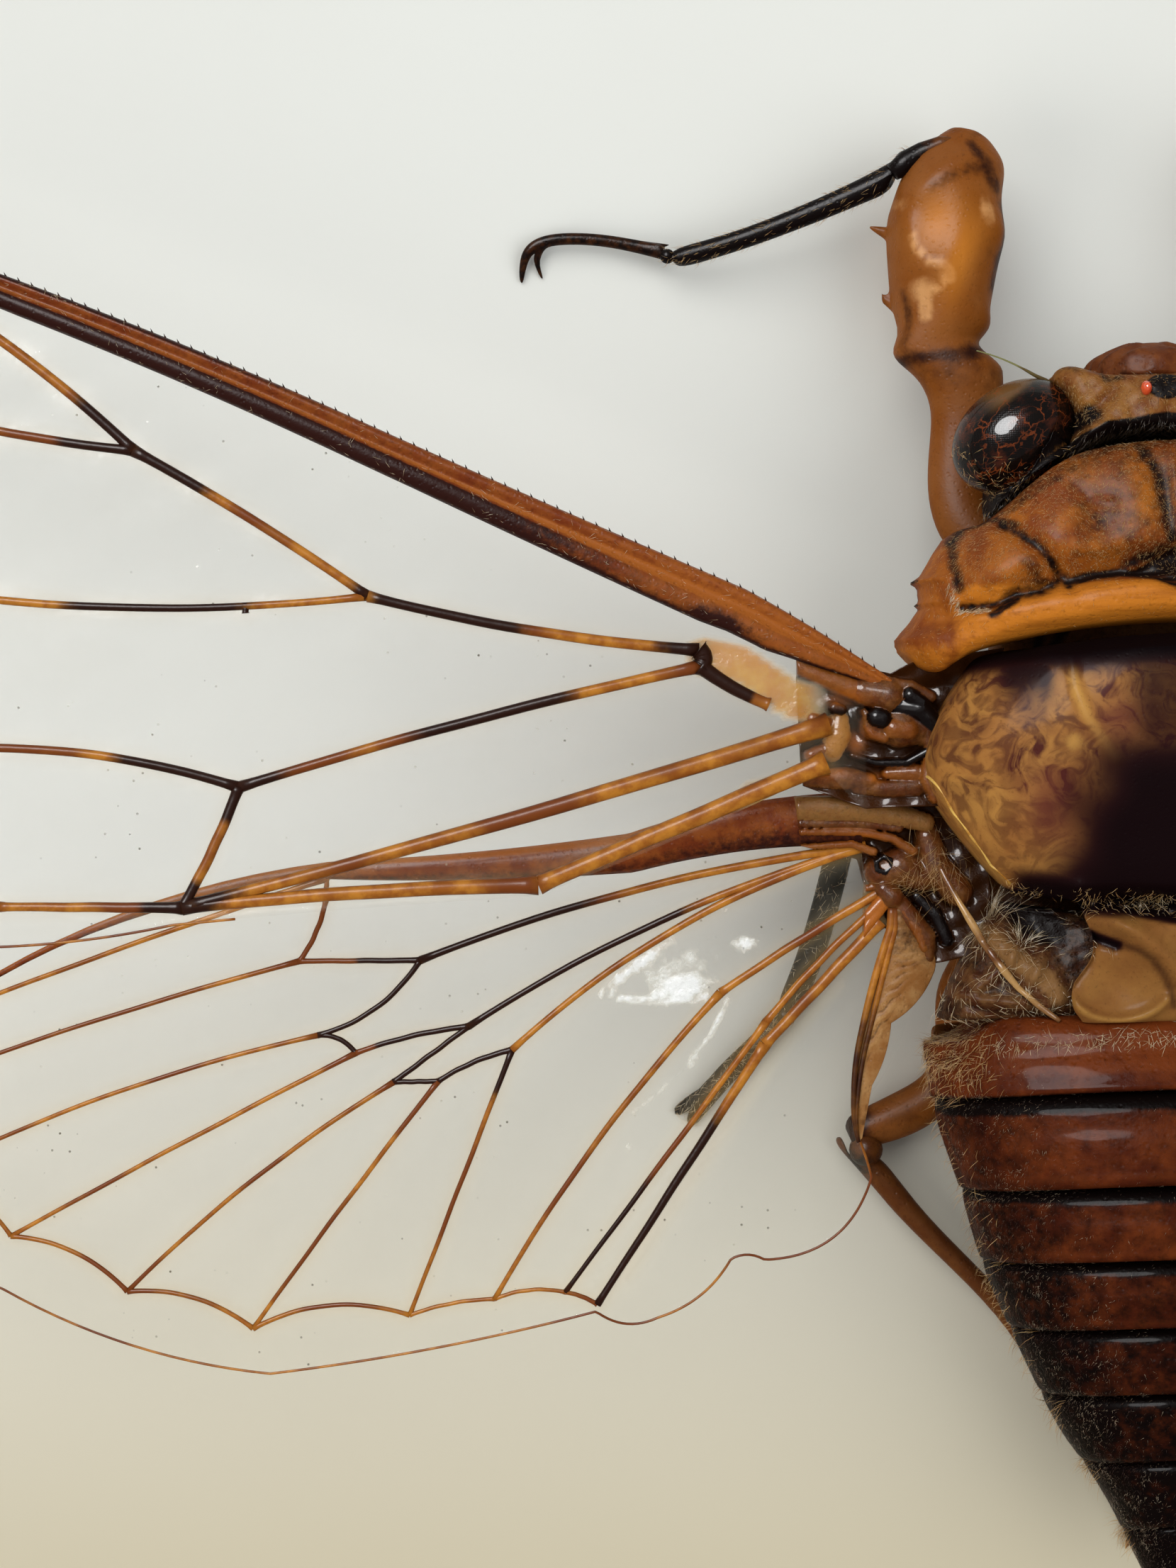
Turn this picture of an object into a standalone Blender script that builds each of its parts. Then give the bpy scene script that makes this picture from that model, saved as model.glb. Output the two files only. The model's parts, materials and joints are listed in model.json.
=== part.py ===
"""A large spread cicada, head towards +Y, its back up, resting on the plane z = 0.

Every length below is in millimetres. x is measured outward from the midline and y forward,
so one table serves both sides; SIDES turns x into the animal's left (-X) and right (+X).
"""
import math

import bmesh
import bpy
from mathutils import Vector
from mathutils.geometry import delaunay_2d_cdt

MM = 0.001
GAP = 0.3
SIDES = {"left": -1, "right": 1}
CENTRE_Y = -2.8

SEAM_Z = 8.0
HEAD_FRONT = 21.6
HEAD_REAR = 18.3
HEAD_REAR_DROP = 4.3
HEAD_REAR_REACH = 9.0
COLLAR_FRONT = 11.4
COLLAR_REAR = 8.2
LOBE_START = 10.5
LOBE_WIDTH = 3.8
LOBE_LENGTH = 1.05
MESONOTUM_REAR = -6.5
METANOTUM_REAR = -12.5
ABDOMEN_RINGS = (-12.5, -15.9, -20.8, -24.6, -28.2, -31.8, -35.6, -39.5, -44.0)
RING_BOW = 0.7
RING_STEP = 0.035

BREAST_FLAT = 0.35

EYE_CENTRE = (7.7, 18.45, 11.0)
EYE_RADII = (3.15, 3.15, 3.0)

FOREWING_Z = 12.7
HINDWING_Z = 10.3
MEMBRANE = 0.5
MERGE = 0.12
WING_ROOT_X = 15.9

HEAD_WIDTH = ((22.0, 4.6), (20.6, 6.6), (19.0, 8.0), (16.0, 8.7), (13.5, 8.9))
PRONOTUM_WIDTH = ((18.5, 10.0), (14.0, 10.5), (12.2, 12.0), (11.1, 13.0), (8.0, 13.9), (5.9, 13.3))
MESONOTUM_WIDTH = (
    (8.2, 9.4), (6.0, 10.5), (4.2, 11.9), (1.1, 12.95), (-1.3, 11.8), (-3.9, 9.8), (-5.8, 8.1), (-6.6, 7.6),
)
METANOTUM_WIDTH = ((-5.6, 8.6), (-8.0, 10.2), (-10.0, 11.5), (-12.6, 12.6))
UNDERSIDE_WIDTH = ((18.3, 7.6), (14.0, 7.9), (9.0, 8.0), (4.0, 9.0), (0.0, 9.4), (-8.0, 9.4), (-12.6, 9.0))
ABDOMEN_WIDTH = (
    (-12.5, 12.8), (-16.4, 12.6), (-21.5, 11.1), (-25.5, 10.0), (-29.2, 8.5), (-33.4, 6.6),
    (-37.0, 4.7), (-40.6, 2.9), (-44.0, 1.0),
)
THORAX_CREST = (
    (23.0, 13.2), (21.0, 14.2), (18.3, 15.2), (14.0, 16.9), (11.0, 17.8), (8.0, 18.5), (3.0, 19.0),
    (-3.0, 18.0), (-6.5, 17.0),
)
ABDOMEN_CREST = (
    (-12.5, 15.6), (-16.0, 17.2), (-21.0, 17.5), (-25.0, 17.0), (-28.0, 16.3), (-32.0, 15.1),
    (-35.6, 13.6), (-39.5, 11.7), (-44.0, 8.9),
)
ABDOMEN_WAIST = ((-12.5, 9.5), (-30.0, 8.9), (-39.0, 8.1), (-44.0, 7.7))
ABDOMEN_KEEL = ((-12.5, 3.7), (-25.0, 3.6), (-32.0, 3.8), (-36.0, 4.3), (-40.0, 5.2), (-44.0, 6.7))

# A wing's outline is a chain of arcs: (start, end, bow), bow being the height to the left of travel.
FOREWING_EDGE = (
    ((15.9, 7.2), (22.0, 10.8), 0.1), ((22.0, 10.8), (41.1, 19.7), -0.05),
    ((41.1, 19.7), (62.7, 29.1), 0.25), ((62.7, 29.1), (98.5, 38.4), 1.6),
    ((98.5, 38.4), (105.0, 32.0), 1.7), ((105.0, 32.0), (88.0, 3.0), 2.4),
    ((88.0, 3.0), (61.5, -6.9), 2.6), ((61.5, -6.9), (52.4, -6.0), 0.2),
    ((52.4, -6.0), (33.4, -5.0), -0.1), ((33.4, -5.0), (18.0, 1.2), 0.2),
    ((18.0, 1.2), (15.9, -1.2), 0.0), ((15.9, -1.2), (15.9, 7.2), 0.0),
)
FOREWING_JOINTS = {
    "arculus": (24.5, 8.4), "cubitus root": (24.6, 6.6), "cell corner": (21.5, 4.6),
    "stem root": (15.9, 4.9), "rear root": (16.0, 2.0), "m fork": (41.7, 10.9),
    "m12 fork": (53.7, 18.8), "node": (63.1, 26.6), "m2 fork": (66.6, 21.6), "m34 fork": (65.7, 11.9),
    "cu fork": (48.7, 1.1), "cu1 bend": (66.0, 3.4), "hub": (51.8, -5.1), "anal bend": (33.2, -4.4),
    "claval root": (17.8, 4.2), "anal root": (17.8, 2.0), "rim 1": (61.3, -4.8), "rim 2": (72.5, -3.4),
    "rim 3": (82.6, 1.9), "rim 4": (91.4, 10.6), "rim 5": (98.2, 20.8), "rim 6": (102.6, 30.4),
    "rim 7": (101.4, 35.8), "r bar": (76.0, 31.0), "r bar foot": (77.0, 25.6), "m bar": (80.5, 20.9),
    "m bar foot": (79.0, 12.4), "mcu bar": (71.0, 9.0), "mcu bar foot": (69.8, 0.6),
}
# Veins: (from, to, bow, half width, height of the ridge); names stand for places in the table above.
FOREWING_VEINS = (
    ("stem root", "arculus", 0.0, 0.75, 0.5), ("rear root", "claval root", 0.0, 1.5, 0.55),
    ("claval root", "anal root", 0.0, 1.1, 0.5), ("arculus", "cubitus root", 0.0, 0.45, 0.3),
    ("cubitus root", "cell corner", 0.15, 0.4, 0.25), ("cell corner", "claval root", 0.0, 0.7, 0.4),
    ("cubitus root", "m fork", -0.5, 0.45, 0.3), ("m fork", "m12 fork", 0.2, 0.45, 0.3),
    ("m12 fork", "node", 0.3, 0.45, 0.3), ("m12 fork", "m2 fork", -0.3, 0.45, 0.3),
    ("m fork", "m34 fork", -0.8, 0.45, 0.3), ("cubitus root", "cu fork", 0.3, 0.45, 0.3),
    ("cu fork", "cu1 bend", 0.9, 0.45, 0.3), ("cu fork", "hub", -0.15, 0.45, 0.3),
    ("claval root", "hub", -0.25, 0.5, 0.3), ("anal root", "anal bend", 0.0, 0.55, 0.35),
    ("anal bend", "hub", 0.15, 0.5, 0.3), ("hub", "rim 1", 0.0, 0.45, 0.25),
    ("rim 1", "rim 2", -0.3, 0.45, 0.25), ("rim 2", "rim 3", -0.4, 0.45, 0.25),
    ("rim 3", "rim 4", -0.5, 0.45, 0.25), ("rim 4", "rim 5", -0.5, 0.45, 0.25),
    ("rim 5", "rim 6", -0.4, 0.45, 0.25), ("rim 6", "rim 7", -0.6, 0.45, 0.25),
    ("node", "rim 7", 0.7, 0.45, 0.3), ("m2 fork", "rim 6", 1.1, 0.45, 0.3),
    ("m2 fork", "rim 5", 1.0, 0.45, 0.3), ("m34 fork", "rim 4", 1.0, 0.45, 0.3),
    ("m34 fork", "rim 3", 0.6, 0.45, 0.3), ("cu1 bend", "rim 2", 0.3, 0.45, 0.3),
    ("r bar", "r bar foot", 0.2, 0.4, 0.25), ("m bar", "m bar foot", 0.2, 0.4, 0.25),
    ("mcu bar", "mcu bar foot", 0.2, 0.4, 0.25),
)
# Thickened borders: (number of the outline arc, width at its start, at its end, height).
FOREWING_BORDER = (
    (0, 2.6, 2.5, 0.6), (1, 2.5, 2.05, 0.6), (2, 2.05, 1.6, 0.55), (3, 1.6, 0.8, 0.5),
    (4, 0.8, 0.5, 0.35),
)

HINDWING_EDGE = (
    ((16.0, 0.0), (28.4, -1.9), 0.5), ((28.4, -1.9), (44.4, -3.0), -0.2),
    ((44.4, -3.0), (69.5, -12.9), 1.9), ((69.5, -12.9), (63.0, -25.8), 3.4),
    ((63.0, -25.8), (48.5, -30.6), 0.8), ((48.5, -30.6), (30.8, -27.5), 0.3),
    ((30.8, -27.5), (27.5, -27.9), 0.5), ((27.5, -27.9), (23.5, -24.8), 0.5),
    ((23.5, -24.8), (21.7, -24.9), -0.25), ((21.7, -24.9), (15.9, -20.6), 1.3),
    ((15.9, -20.6), (17.0, -17.4), 0.1), ((17.0, -17.4), (13.4, -9.4), 0.9),
    ((13.4, -9.4), (16.0, -7.6), 0.0), ((16.0, -7.6), (16.0, 0.0), 0.0),
)
HINDWING_JOINTS = {
    "root": (16.4, -2.8), "rear root": (16.3, -6.6), "front 1": (44.6, -3.9), "tip": (66.8, -11.2),
    "bar": (44.7, -5.1), "j1": (46.2, -8.3), "f1": (39.7, -8.4), "j2": (45.3, -12.3),
    "j3": (43.3, -13.3), "f2": (37.2, -12.0), "j4": (41.3, -14.9), "j5": (38.9, -14.9),
    "f3": (34.9, -13.3), "rim 1": (69.2, -14.9), "rim 2": (67.4, -19.4), "rim 3": (62.6, -23.0),
    "rim 4": (56.2, -26.2), "rim 5": (49.3, -28.3), "rim 6": (40.8, -27.7), "rim 7": (36.2, -26.9),
    "rim 8": (32.4, -26.6), "rim 9": (30.7, -27.2), "cu bend": (23.7, -10.5), "anal 1": (21.0, -12.0),
    "anal 2": (26.6, -20.1), "inner foot": (16.9, -18.6),
}
HINDWING_VEINS = (
    ("root", "f1", 0.8, 0.45, 0.3), ("root", "f2", 0.9, 0.42, 0.28), ("root", "f3", 1.25, 0.42, 0.28),
    ("front 1", "bar", 0.0, 0.35, 0.25), ("front 1", "tip", 0.2, 0.35, 0.25),
    ("bar", "j1", -0.2, 0.35, 0.25), ("j1", "f1", 0.0, 0.35, 0.25), ("j1", "rim 1", 0.3, 0.35, 0.25),
    ("f1", "j2", -0.65, 0.35, 0.25), ("j2", "rim 2", 0.7, 0.35, 0.25), ("j2", "j3", -0.3, 0.35, 0.25),
    ("j3", "f2", -0.2, 0.35, 0.25), ("j3", "rim 3", 0.1, 0.35, 0.25), ("f2", "j4", 0.0, 0.35, 0.25),
    ("j4", "rim 4", 0.55, 0.35, 0.25), ("j4", "j5", 0.0, 0.35, 0.25), ("j5", "f3", -0.2, 0.35, 0.25),
    ("j5", "rim 5", 0.1, 0.35, 0.25), ("f3", "rim 6", 0.0, 0.35, 0.25),
    ("rear root", "cu bend", 0.2, 0.45, 0.3), ("cu bend", "rim 7", 0.6, 0.38, 0.28),
    ("rear root", "anal 1", 0.6, 0.45, 0.3), ("anal 1", "rim 8", 0.0, 0.38, 0.28),
    ("anal 1", "anal 2", -0.5, 0.4, 0.28), ("anal 2", "rim 9", 0.3, 0.4, 0.28),
    ("rear root", "inner foot", 0.3, 0.5, 0.35),
)
HINDWING_BORDER = ((0, 2.7, 1.5, 0.3), (1, 1.5, 0.5, 0.28), (2, 0.5, 0.4, 0.2))
VEIN_SLOPE = 0.45
EDGE_SAG = 0.07
VEIN_SAG = 0.2
LONGEST_SPAN = 17.0

# Limbs are runs of (x, y, z, radius).
FORE_COXA = (
    (7.2, 11.6, 5.6, 1.2), (9.4, 13.2, 5.7, 1.35), (10.2, 16.5, 5.3, 1.35), (9.8, 20.5, 5.3, 1.4),
    (10.0, 22.8, 5.3, 1.75), (10.4, 24.3, 5.0, 1.9), (10.3, 26.5, 4.9, 2.8), (10.0, 30.5, 4.8, 3.25),
    (9.7, 33.3, 4.8, 2.9), (8.9, 35.4, 4.9, 1.6), (8.6, 36.1, 4.9, 0.9),
)
FORE_SPINES = ((12.4, 26.6, 13.9, 27.5), (12.6, 30.6, 14.1, 31.2))
FORE_TIBIA = (
    (8.3, 36.0, 4.9, 0.85), (10.5, 35.1, 4.8, 0.85), (14.2, 33.3, 4.1, 0.72), (20.6, 31.1, 2.7, 0.6),
    (25.0, 30.2, 1.3, 0.65),
)
FORE_TARSUS = (
    (24.6, 30.4, 1.3, 0.55), (26.3, 30.9, 1.0, 0.45), (29.0, 31.5, 0.9, 0.4), (31.8, 31.6, 0.8, 0.4),
    (33.2, 30.9, 0.6, 0.35), (33.5, 29.3, 0.05, 0.12),
)
FORE_CLAW = ((32.2, 31.4, 0.75, 0.24), (32.7, 30.5, 0.4, 0.18), (32.3, 29.5, 0.05, 0.1))
MID_COXA = ((8.2, 4.8, 4.6, 1.1), (12.0, 3.6, 4.6, 1.3), (14.4, 1.6, 4.2, 1.15), (16.0, 0.1, 3.6, 0.85))
MID_TIBIA = (
    (15.9, 0.2, 3.6, 0.7), (16.6, -3.5, 2.8, 0.6), (18.1, -8.9, 1.8, 0.6), (19.6, -12.4, 1.1, 0.55),
)
MID_TARSUS = (
    (19.4, -12.0, 1.1, 0.5), (20.9, -13.8, 0.9, 0.45), (22.8, -15.5, 0.8, 0.45),
    (24.3, -17.2, 0.6, 0.4), (25.1, -18.5, 0.05, 0.12),
)
MID_CLAW = ((23.9, -16.8, 0.6, 0.28), (24.9, -17.2, 0.4, 0.2), (25.9, -17.9, 0.05, 0.1))
HIND_COXA = (
    (8.4, -8.4, 3.6, 1.1), (10.2, -11.2, 2.8, 1.3), (10.2, -14.6, 1.7, 1.15), (11.2, -17.0, 1.35, 1.3),
    (13.6, -18.4, 1.35, 1.35), (16.4, -19.3, 1.35, 1.0),
)
HIND_TIBIA = (
    (16.6, -19.2, 1.4, 0.85), (14.3, -22.1, 1.3, 0.75), (9.6, -28.4, 1.2, 0.68),
    (5.4, -35.2, 1.1, 0.65),
)
HIND_TARSUS = (
    (5.7, -34.7, 1.1, 0.5), (3.7, -38.0, 0.9, 0.45), (2.3, -40.4, 0.8, 0.42), (1.7, -42.2, 0.6, 0.35),
    (1.4, -43.7, 0.05, 0.12),
)
HIND_CLAW = ((2.0, -41.4, 0.6, 0.28), (2.2, -42.6, 0.4, 0.2), (2.4, -43.4, 0.05, 0.1))

ORANGE = (0.42, 0.17, 0.04)
OCHRE = (0.28, 0.14, 0.06)
BROWN = (0.20, 0.08, 0.03)
DARK = (0.05, 0.02, 0.015)
MAHOGANY = (0.15, 0.045, 0.02)
AMBER = (0.45, 0.26, 0.08)


def clear_scene():
    for old in list(bpy.data.objects):
        bpy.data.objects.remove(old, do_unlink=True)


def new_collection(name):
    group = bpy.data.collections.new(name)
    bpy.context.scene.collection.children.link(group)
    return group


def finish(name, colour, roughness, alpha=1.0):
    material = bpy.data.materials.new(name)
    material.use_nodes = True
    shader = material.node_tree.nodes["Principled BSDF"]
    shader.inputs["Base Color"].default_value = (*colour, 1.0)
    shader.inputs["Roughness"].default_value = roughness
    shader.inputs["Metallic"].default_value = 0.0
    shader.inputs["Alpha"].default_value = alpha
    return material


def add_object(name, mesh, group, material=None):
    part = bpy.data.objects.new(name, mesh)
    group.objects.link(part)
    if material:
        mesh.materials.append(material)
    return part


def mesh_from(bm, name):
    """A mesh in metres, on the shared origin, from a bmesh in millimetres."""
    bmesh.ops.recalc_face_normals(bm, faces=bm.faces)
    bmesh.ops.translate(bm, verts=bm.verts, vec=(0, -CENTRE_Y, 0))
    bmesh.ops.scale(bm, verts=bm.verts, vec=(MM, MM, MM))
    mesh = bpy.data.meshes.new(name)
    bm.to_mesh(mesh)
    bm.free()
    mesh.shade_smooth()
    mesh.set_sharp_from_angle(angle=math.radians(35))
    return mesh


def profile(stations):
    """A smooth value along y through (y, value) stations, held flat past both ends."""
    knots = sorted(stations)

    def value(y):
        if y <= knots[0][0]:
            return knots[0][1]
        if y >= knots[-1][0]:
            return knots[-1][1]
        k = max(i for i in range(len(knots) - 1) if knots[i][0] <= y)
        (y0, v0), (y1, v1) = knots[k], knots[k + 1]
        before = knots[max(k - 1, 0)]
        after = knots[min(k + 2, len(knots) - 1)]
        slope0 = (v1 - before[1]) / (y1 - before[0])
        slope1 = (after[1] - v0) / (after[0] - y0)
        span = y1 - y0
        t = (y - y0) / span
        return (
            v0 * (1 + 2 * t) * (1 - t) ** 2 + slope0 * span * t * (1 - t) ** 2
            + v1 * t * t * (3 - 2 * t) + slope1 * span * t * t * (t - 1)
        )

    return value


head_width = profile(HEAD_WIDTH)
pronotum_width = profile(PRONOTUM_WIDTH)
mesonotum_width = profile(MESONOTUM_WIDTH)
metanotum_width = profile(METANOTUM_WIDTH)
underside_width = profile(UNDERSIDE_WIDTH)
abdomen_width = profile(ABDOMEN_WIDTH)
thorax_crest = profile(THORAX_CREST)
abdomen_crest = profile(ABDOMEN_CREST)
abdomen_waist = profile(ABDOMEN_WAIST)
abdomen_keel = profile(ABDOMEN_KEEL)


def dome(s, power=2.0):
    return max(0.0, 1 - abs(s) ** power) ** (1 / power)


def ease(t):
    t = min(1.0, max(0.0, t))
    return t * t * (3 - 2 * t)


def grid_body(plan, top, bottom, columns, rows):
    """A closed body over a plan grid: plan(u, v) is (x, y), and top and bottom are heights."""
    bm = bmesh.new()
    layers = []
    for height in (top, bottom):
        layer = []
        for j in range(rows + 1):
            line = []
            for i in range(columns + 1):
                u, v = i / columns, j / rows
                x, y = plan(u, v)
                line.append(bm.verts.new((x, y, height(u, v, x, y))))
            layer.append(line)
        layers.append(layer)
    upper, lower = layers
    for j in range(rows):
        for i in range(columns):
            for layer in layers:
                bm.faces.new((layer[j][i], layer[j][i + 1], layer[j + 1][i + 1], layer[j + 1][i]))
    for j in range(rows):
        for i in (0, columns):
            bm.faces.new((upper[j][i], upper[j + 1][i], lower[j + 1][i], lower[j][i]))
    for i in range(columns):
        for j in (0, rows):
            bm.faces.new((upper[j][i], upper[j][i + 1], lower[j][i + 1], lower[j][i]))
    return bm


def plate(width, front, rear, top, bottom, columns=16, rows=4):
    """A body plate across the midline, between two cross lines that are functions of x."""

    def plan(u, v):
        s = math.sin(math.pi * (u - 0.5))
        y = front(0) * (1 - v) + rear(0) * v
        for _ in range(8):
            x = s * width(y)
            y = front(x) * (1 - v) + rear(x) * v
        return s * width(y), y

    def upper(u, v, x, y):
        return top(math.sin(math.pi * (u - 0.5)), v, x, y)

    def lower(u, v, x, y):
        return bottom(math.sin(math.pi * (u - 0.5)), v, x, y)

    return grid_body(plan, upper, lower, columns, rows)


def head_rear(x):
    return HEAD_REAR - HEAD_REAR_DROP * min(1.0, abs(x) / HEAD_REAR_REACH) ** 2.5


def collar_front(x):
    return COLLAR_FRONT - 0.017 * x * x


def collar_rear(x):
    if abs(x) <= LOBE_START:
        return COLLAR_REAR - 0.011 * x * x
    base = COLLAR_REAR - 0.011 * LOBE_START**2
    return base - LOBE_LENGTH * math.sin(math.pi * min(1.0, (abs(x) - LOBE_START) / LOBE_WIDTH))


def mesonotum_rear(x):
    return MESONOTUM_REAR + 0.011 * x * x


def ring_line(index):
    """The cross line behind abdominal ring number index, bowed back at the sides."""
    middle = ABDOMEN_RINGS[index]
    if index == 0:
        return lambda x: middle
    return lambda x: middle - RING_BOW * min(1.0, abs(x) / abdomen_width(middle)) ** 2


def ahead(line):
    return lambda x: line(x) + GAP / 2


def behind(line):
    return lambda x: line(x) - GAP / 2


def rising_base(x, width, edge):
    """Underside of a back plate: level over the breast block, then up to its side edge."""
    inner = 9.7
    return SEAM_Z + GAP / 2 + (edge - SEAM_Z - GAP / 2) * ease((abs(x) - inner) / max(0.5, width - inner))


def eye_ball(side, grow=0.0, segments=20, rings=12):
    bm = bmesh.new()
    bmesh.ops.create_uvsphere(bm, u_segments=segments, v_segments=rings, radius=1.0)
    bmesh.ops.scale(bm, verts=bm.verts, vec=[r + grow for r in EYE_RADII])
    bmesh.ops.translate(bm, verts=bm.verts, vec=(side * EYE_CENTRE[0], EYE_CENTRE[1], EYE_CENTRE[2]))
    return bm


def keep_largest(part):
    """Leaves only the largest closed surface of a mesh object."""
    bm = bmesh.new()
    bm.from_mesh(part.data)
    bm.faces.ensure_lookup_table()
    unseen = set(bm.faces)
    shells = []
    while unseen:
        stack = [unseen.pop()]
        shell = []
        while stack:
            face = stack.pop()
            shell.append(face)
            for edge in face.edges:
                for other in edge.link_faces:
                    if other in unseen:
                        unseen.remove(other)
                        stack.append(other)
        shells.append(shell)
    shells.sort(key=lambda shell: sum(face.calc_area() for face in shell), reverse=True)
    for shell in shells[1:]:
        bmesh.ops.delete(bm, geom=shell, context="FACES")
    bm.to_mesh(part.data)
    bm.free()


def apply_boolean(part, other, operation, collection=False):
    """Applies one Boolean and removes what it used."""
    modifier = part.modifiers.new(operation.lower(), "BOOLEAN")
    modifier.operation = operation
    modifier.solver = "EXACT"
    if collection:
        modifier.operand_type = "COLLECTION"
        modifier.collection = other
    else:
        modifier.object = other
    depsgraph = bpy.context.evaluated_depsgraph_get()
    mesh = bpy.data.meshes.new_from_object(part.evaluated_get(depsgraph))
    part.modifiers.clear()
    part.data = mesh
    used = list(other.objects) if collection else [other]
    for piece in used:
        bpy.data.objects.remove(piece, do_unlink=True)
    keep_largest(part)


def cut_sockets(part, cutters):
    """Clears the two eyes' room out of a plate, with the gap all round."""
    for side in SIDES.values():
        socket = add_object("socket", mesh_from(eye_ball(side, GAP), "socket"), cutters)
        apply_boolean(part, socket, "DIFFERENCE")


def smooth_path(knots, steps):
    """Points with a radius along a smooth curve through the knots (x, y, z, radius)."""
    points = []
    for k in range(len(knots) - 1):
        p0 = Vector(knots[max(k - 1, 0)])
        p1, p2 = Vector(knots[k]), Vector(knots[k + 1])
        p3 = Vector(knots[min(k + 2, len(knots) - 1)])
        for i in range(steps):
            t = i / steps
            points.append(
                0.5 * (2 * p1 + (p2 - p0) * t + (2 * p0 - 5 * p1 + 4 * p2 - p3) * t * t
                       + (3 * p1 - p0 - 3 * p2 + p3) * t**3)
            )
    points.append(Vector(knots[-1]))
    return points


def tube(knots, side, steps=3, grow=0.0, resolution=2):
    """A tapering limb: a bevelled curve through the knots, made a welded mesh in a bmesh.

    grow makes it that much wider and longer at both ends, for the room it needs in another part.
    """
    points = smooth_path([Vector(k) for k in knots], steps)
    for end, inner in ((0, 1), (-1, -2)):
        outward = points[end].xyz - points[inner].xyz
        points[end] = Vector((*(points[end].xyz + outward.normalized() * grow), points[end][3]))
    curve = bpy.data.curves.new("limb", "CURVE")
    curve.dimensions = "3D"
    curve.bevel_depth = 1.0
    curve.bevel_resolution = resolution
    curve.use_fill_caps = True
    spline = curve.splines.new("POLY")
    spline.points.add(len(points) - 1)
    for target, point in zip(spline.points, points):
        target.co = (side * point[0], point[1], point[2], 1.0)
        target.radius = point[3] + grow
    holder = bpy.data.objects.new("limb", curve)
    bpy.context.scene.collection.objects.link(holder)
    depsgraph = bpy.context.evaluated_depsgraph_get()
    mesh = bpy.data.meshes.new_from_object(holder.evaluated_get(depsgraph))
    bm = bmesh.new()
    bm.from_mesh(mesh)
    bmesh.ops.remove_doubles(bm, verts=bm.verts, dist=0.001)
    bpy.data.objects.remove(holder, do_unlink=True)
    bpy.data.curves.remove(curve)
    bpy.data.meshes.remove(mesh)
    return bm


def rest_on_floor(bm):
    """Presses what hangs under the plane z = 0 into a small flat."""
    for vert in bm.verts:
        vert.co.z = max(vert.co.z, 0.0)
    return bm


def spine(x, y, tip_x, tip_y, side):
    """A short spine on the fore femur, its root sunk in the limb."""
    level = FORE_COXA[7][2] - 0.6
    middle = ((x + tip_x) / 2, (y + tip_y) / 2, level, 0.32)
    return tube(((x, y, level, 0.5), middle, (tip_x, tip_y, level, 0.08)), side, 1)


def fuse(part, pieces):
    """Joins closed pieces to a part by one union."""
    group = new_collection("to fuse")
    for bm in pieces:
        add_object("piece", mesh_from(bm, "piece"), group)
    apply_boolean(part, group, "UNION", collection=True)
    bpy.data.collections.remove(group)


def arc(start, end, bow, sag):
    """Points along a shallow arc, no chord more than sag off it; bow is its height to the left."""
    (x0, y0), (x1, y1) = start, end
    length = math.hypot(x1 - x0, y1 - y0)
    count = math.ceil(max(1, length / LONGEST_SPAN, math.sqrt(abs(bow) / sag)))
    points = []
    for i in range(count + 1):
        t = i / count
        lift = 4 * bow * t * (1 - t)
        points.append((
            x0 + (x1 - x0) * t - (y1 - y0) / length * lift,
            y0 + (y1 - y0) * t + (x1 - x0) / length * lift,
        ))
    return points


def inside(point, outline):
    x, y = point
    hit = False
    for (x0, y0), (x1, y1) in zip(outline, outline[1:] + outline[:1]):
        if (y0 > y) != (y1 > y) and x < x0 + (y - y0) * (x1 - x0) / (y1 - y0):
            hit = not hit
    return hit


def beside(path, distance):
    """The path moved sideways, to its left for a positive distance."""
    moved = []
    for i, (x, y) in enumerate(path):
        (x0, y0), (x1, y1) = path[max(i - 1, 0)], path[min(i + 1, len(path) - 1)]
        length = math.hypot(x1 - x0, y1 - y0)
        moved.append((x - (y1 - y0) / length * distance, y + (x1 - x0) / length * distance))
    return moved


def rise(point, ridge):
    """How far one ridge lifts the membrane at a point."""
    path, start, end, crest = ridge
    x, y = point
    best = 0.0
    last = len(path) - 1
    for i in range(last):
        (x0, y0), (x1, y1) = path[i], path[i + 1]
        dx, dy = x1 - x0, y1 - y0
        t = min(1.0, max(0.0, ((x - x0) * dx + (y - y0) * dy) / (dx * dx + dy * dy)))
        gap = math.hypot(x - x0 - dx * t, y - y0 - dy * t)
        width = start + (end - start) * (i + t) / last
        slope = min(width, VEIN_SLOPE)
        best = max(best, crest * min(1.0, (width - gap) / slope))
    return best


def wing_ridges(edge, joints, veins, border):
    """Every raised line of a wing as (path, width at start, width at end, crest), with its guide lines."""
    ridges = []
    guides = []
    for start, end, bow, width, crest in veins:
        path = arc(joints[start], joints[end], bow, VEIN_SAG)
        ridges.append((path, width, width, crest))
        guides += [path, beside(path, width), beside(path, -width)]
    for index, start, end, crest in border:
        path = arc(*edge[index], EDGE_SAG)
        ridges.append((path, start, end, crest))
        for inset in (0.0, VEIN_SLOPE):
            line = []
            for i, point in enumerate(path):
                width = start + (end - start) * i / (len(path) - 1)
                line.append(beside(path, inset * min(1.0, width) - width)[i])
            guides.append(line)
    return ridges, guides


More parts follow.
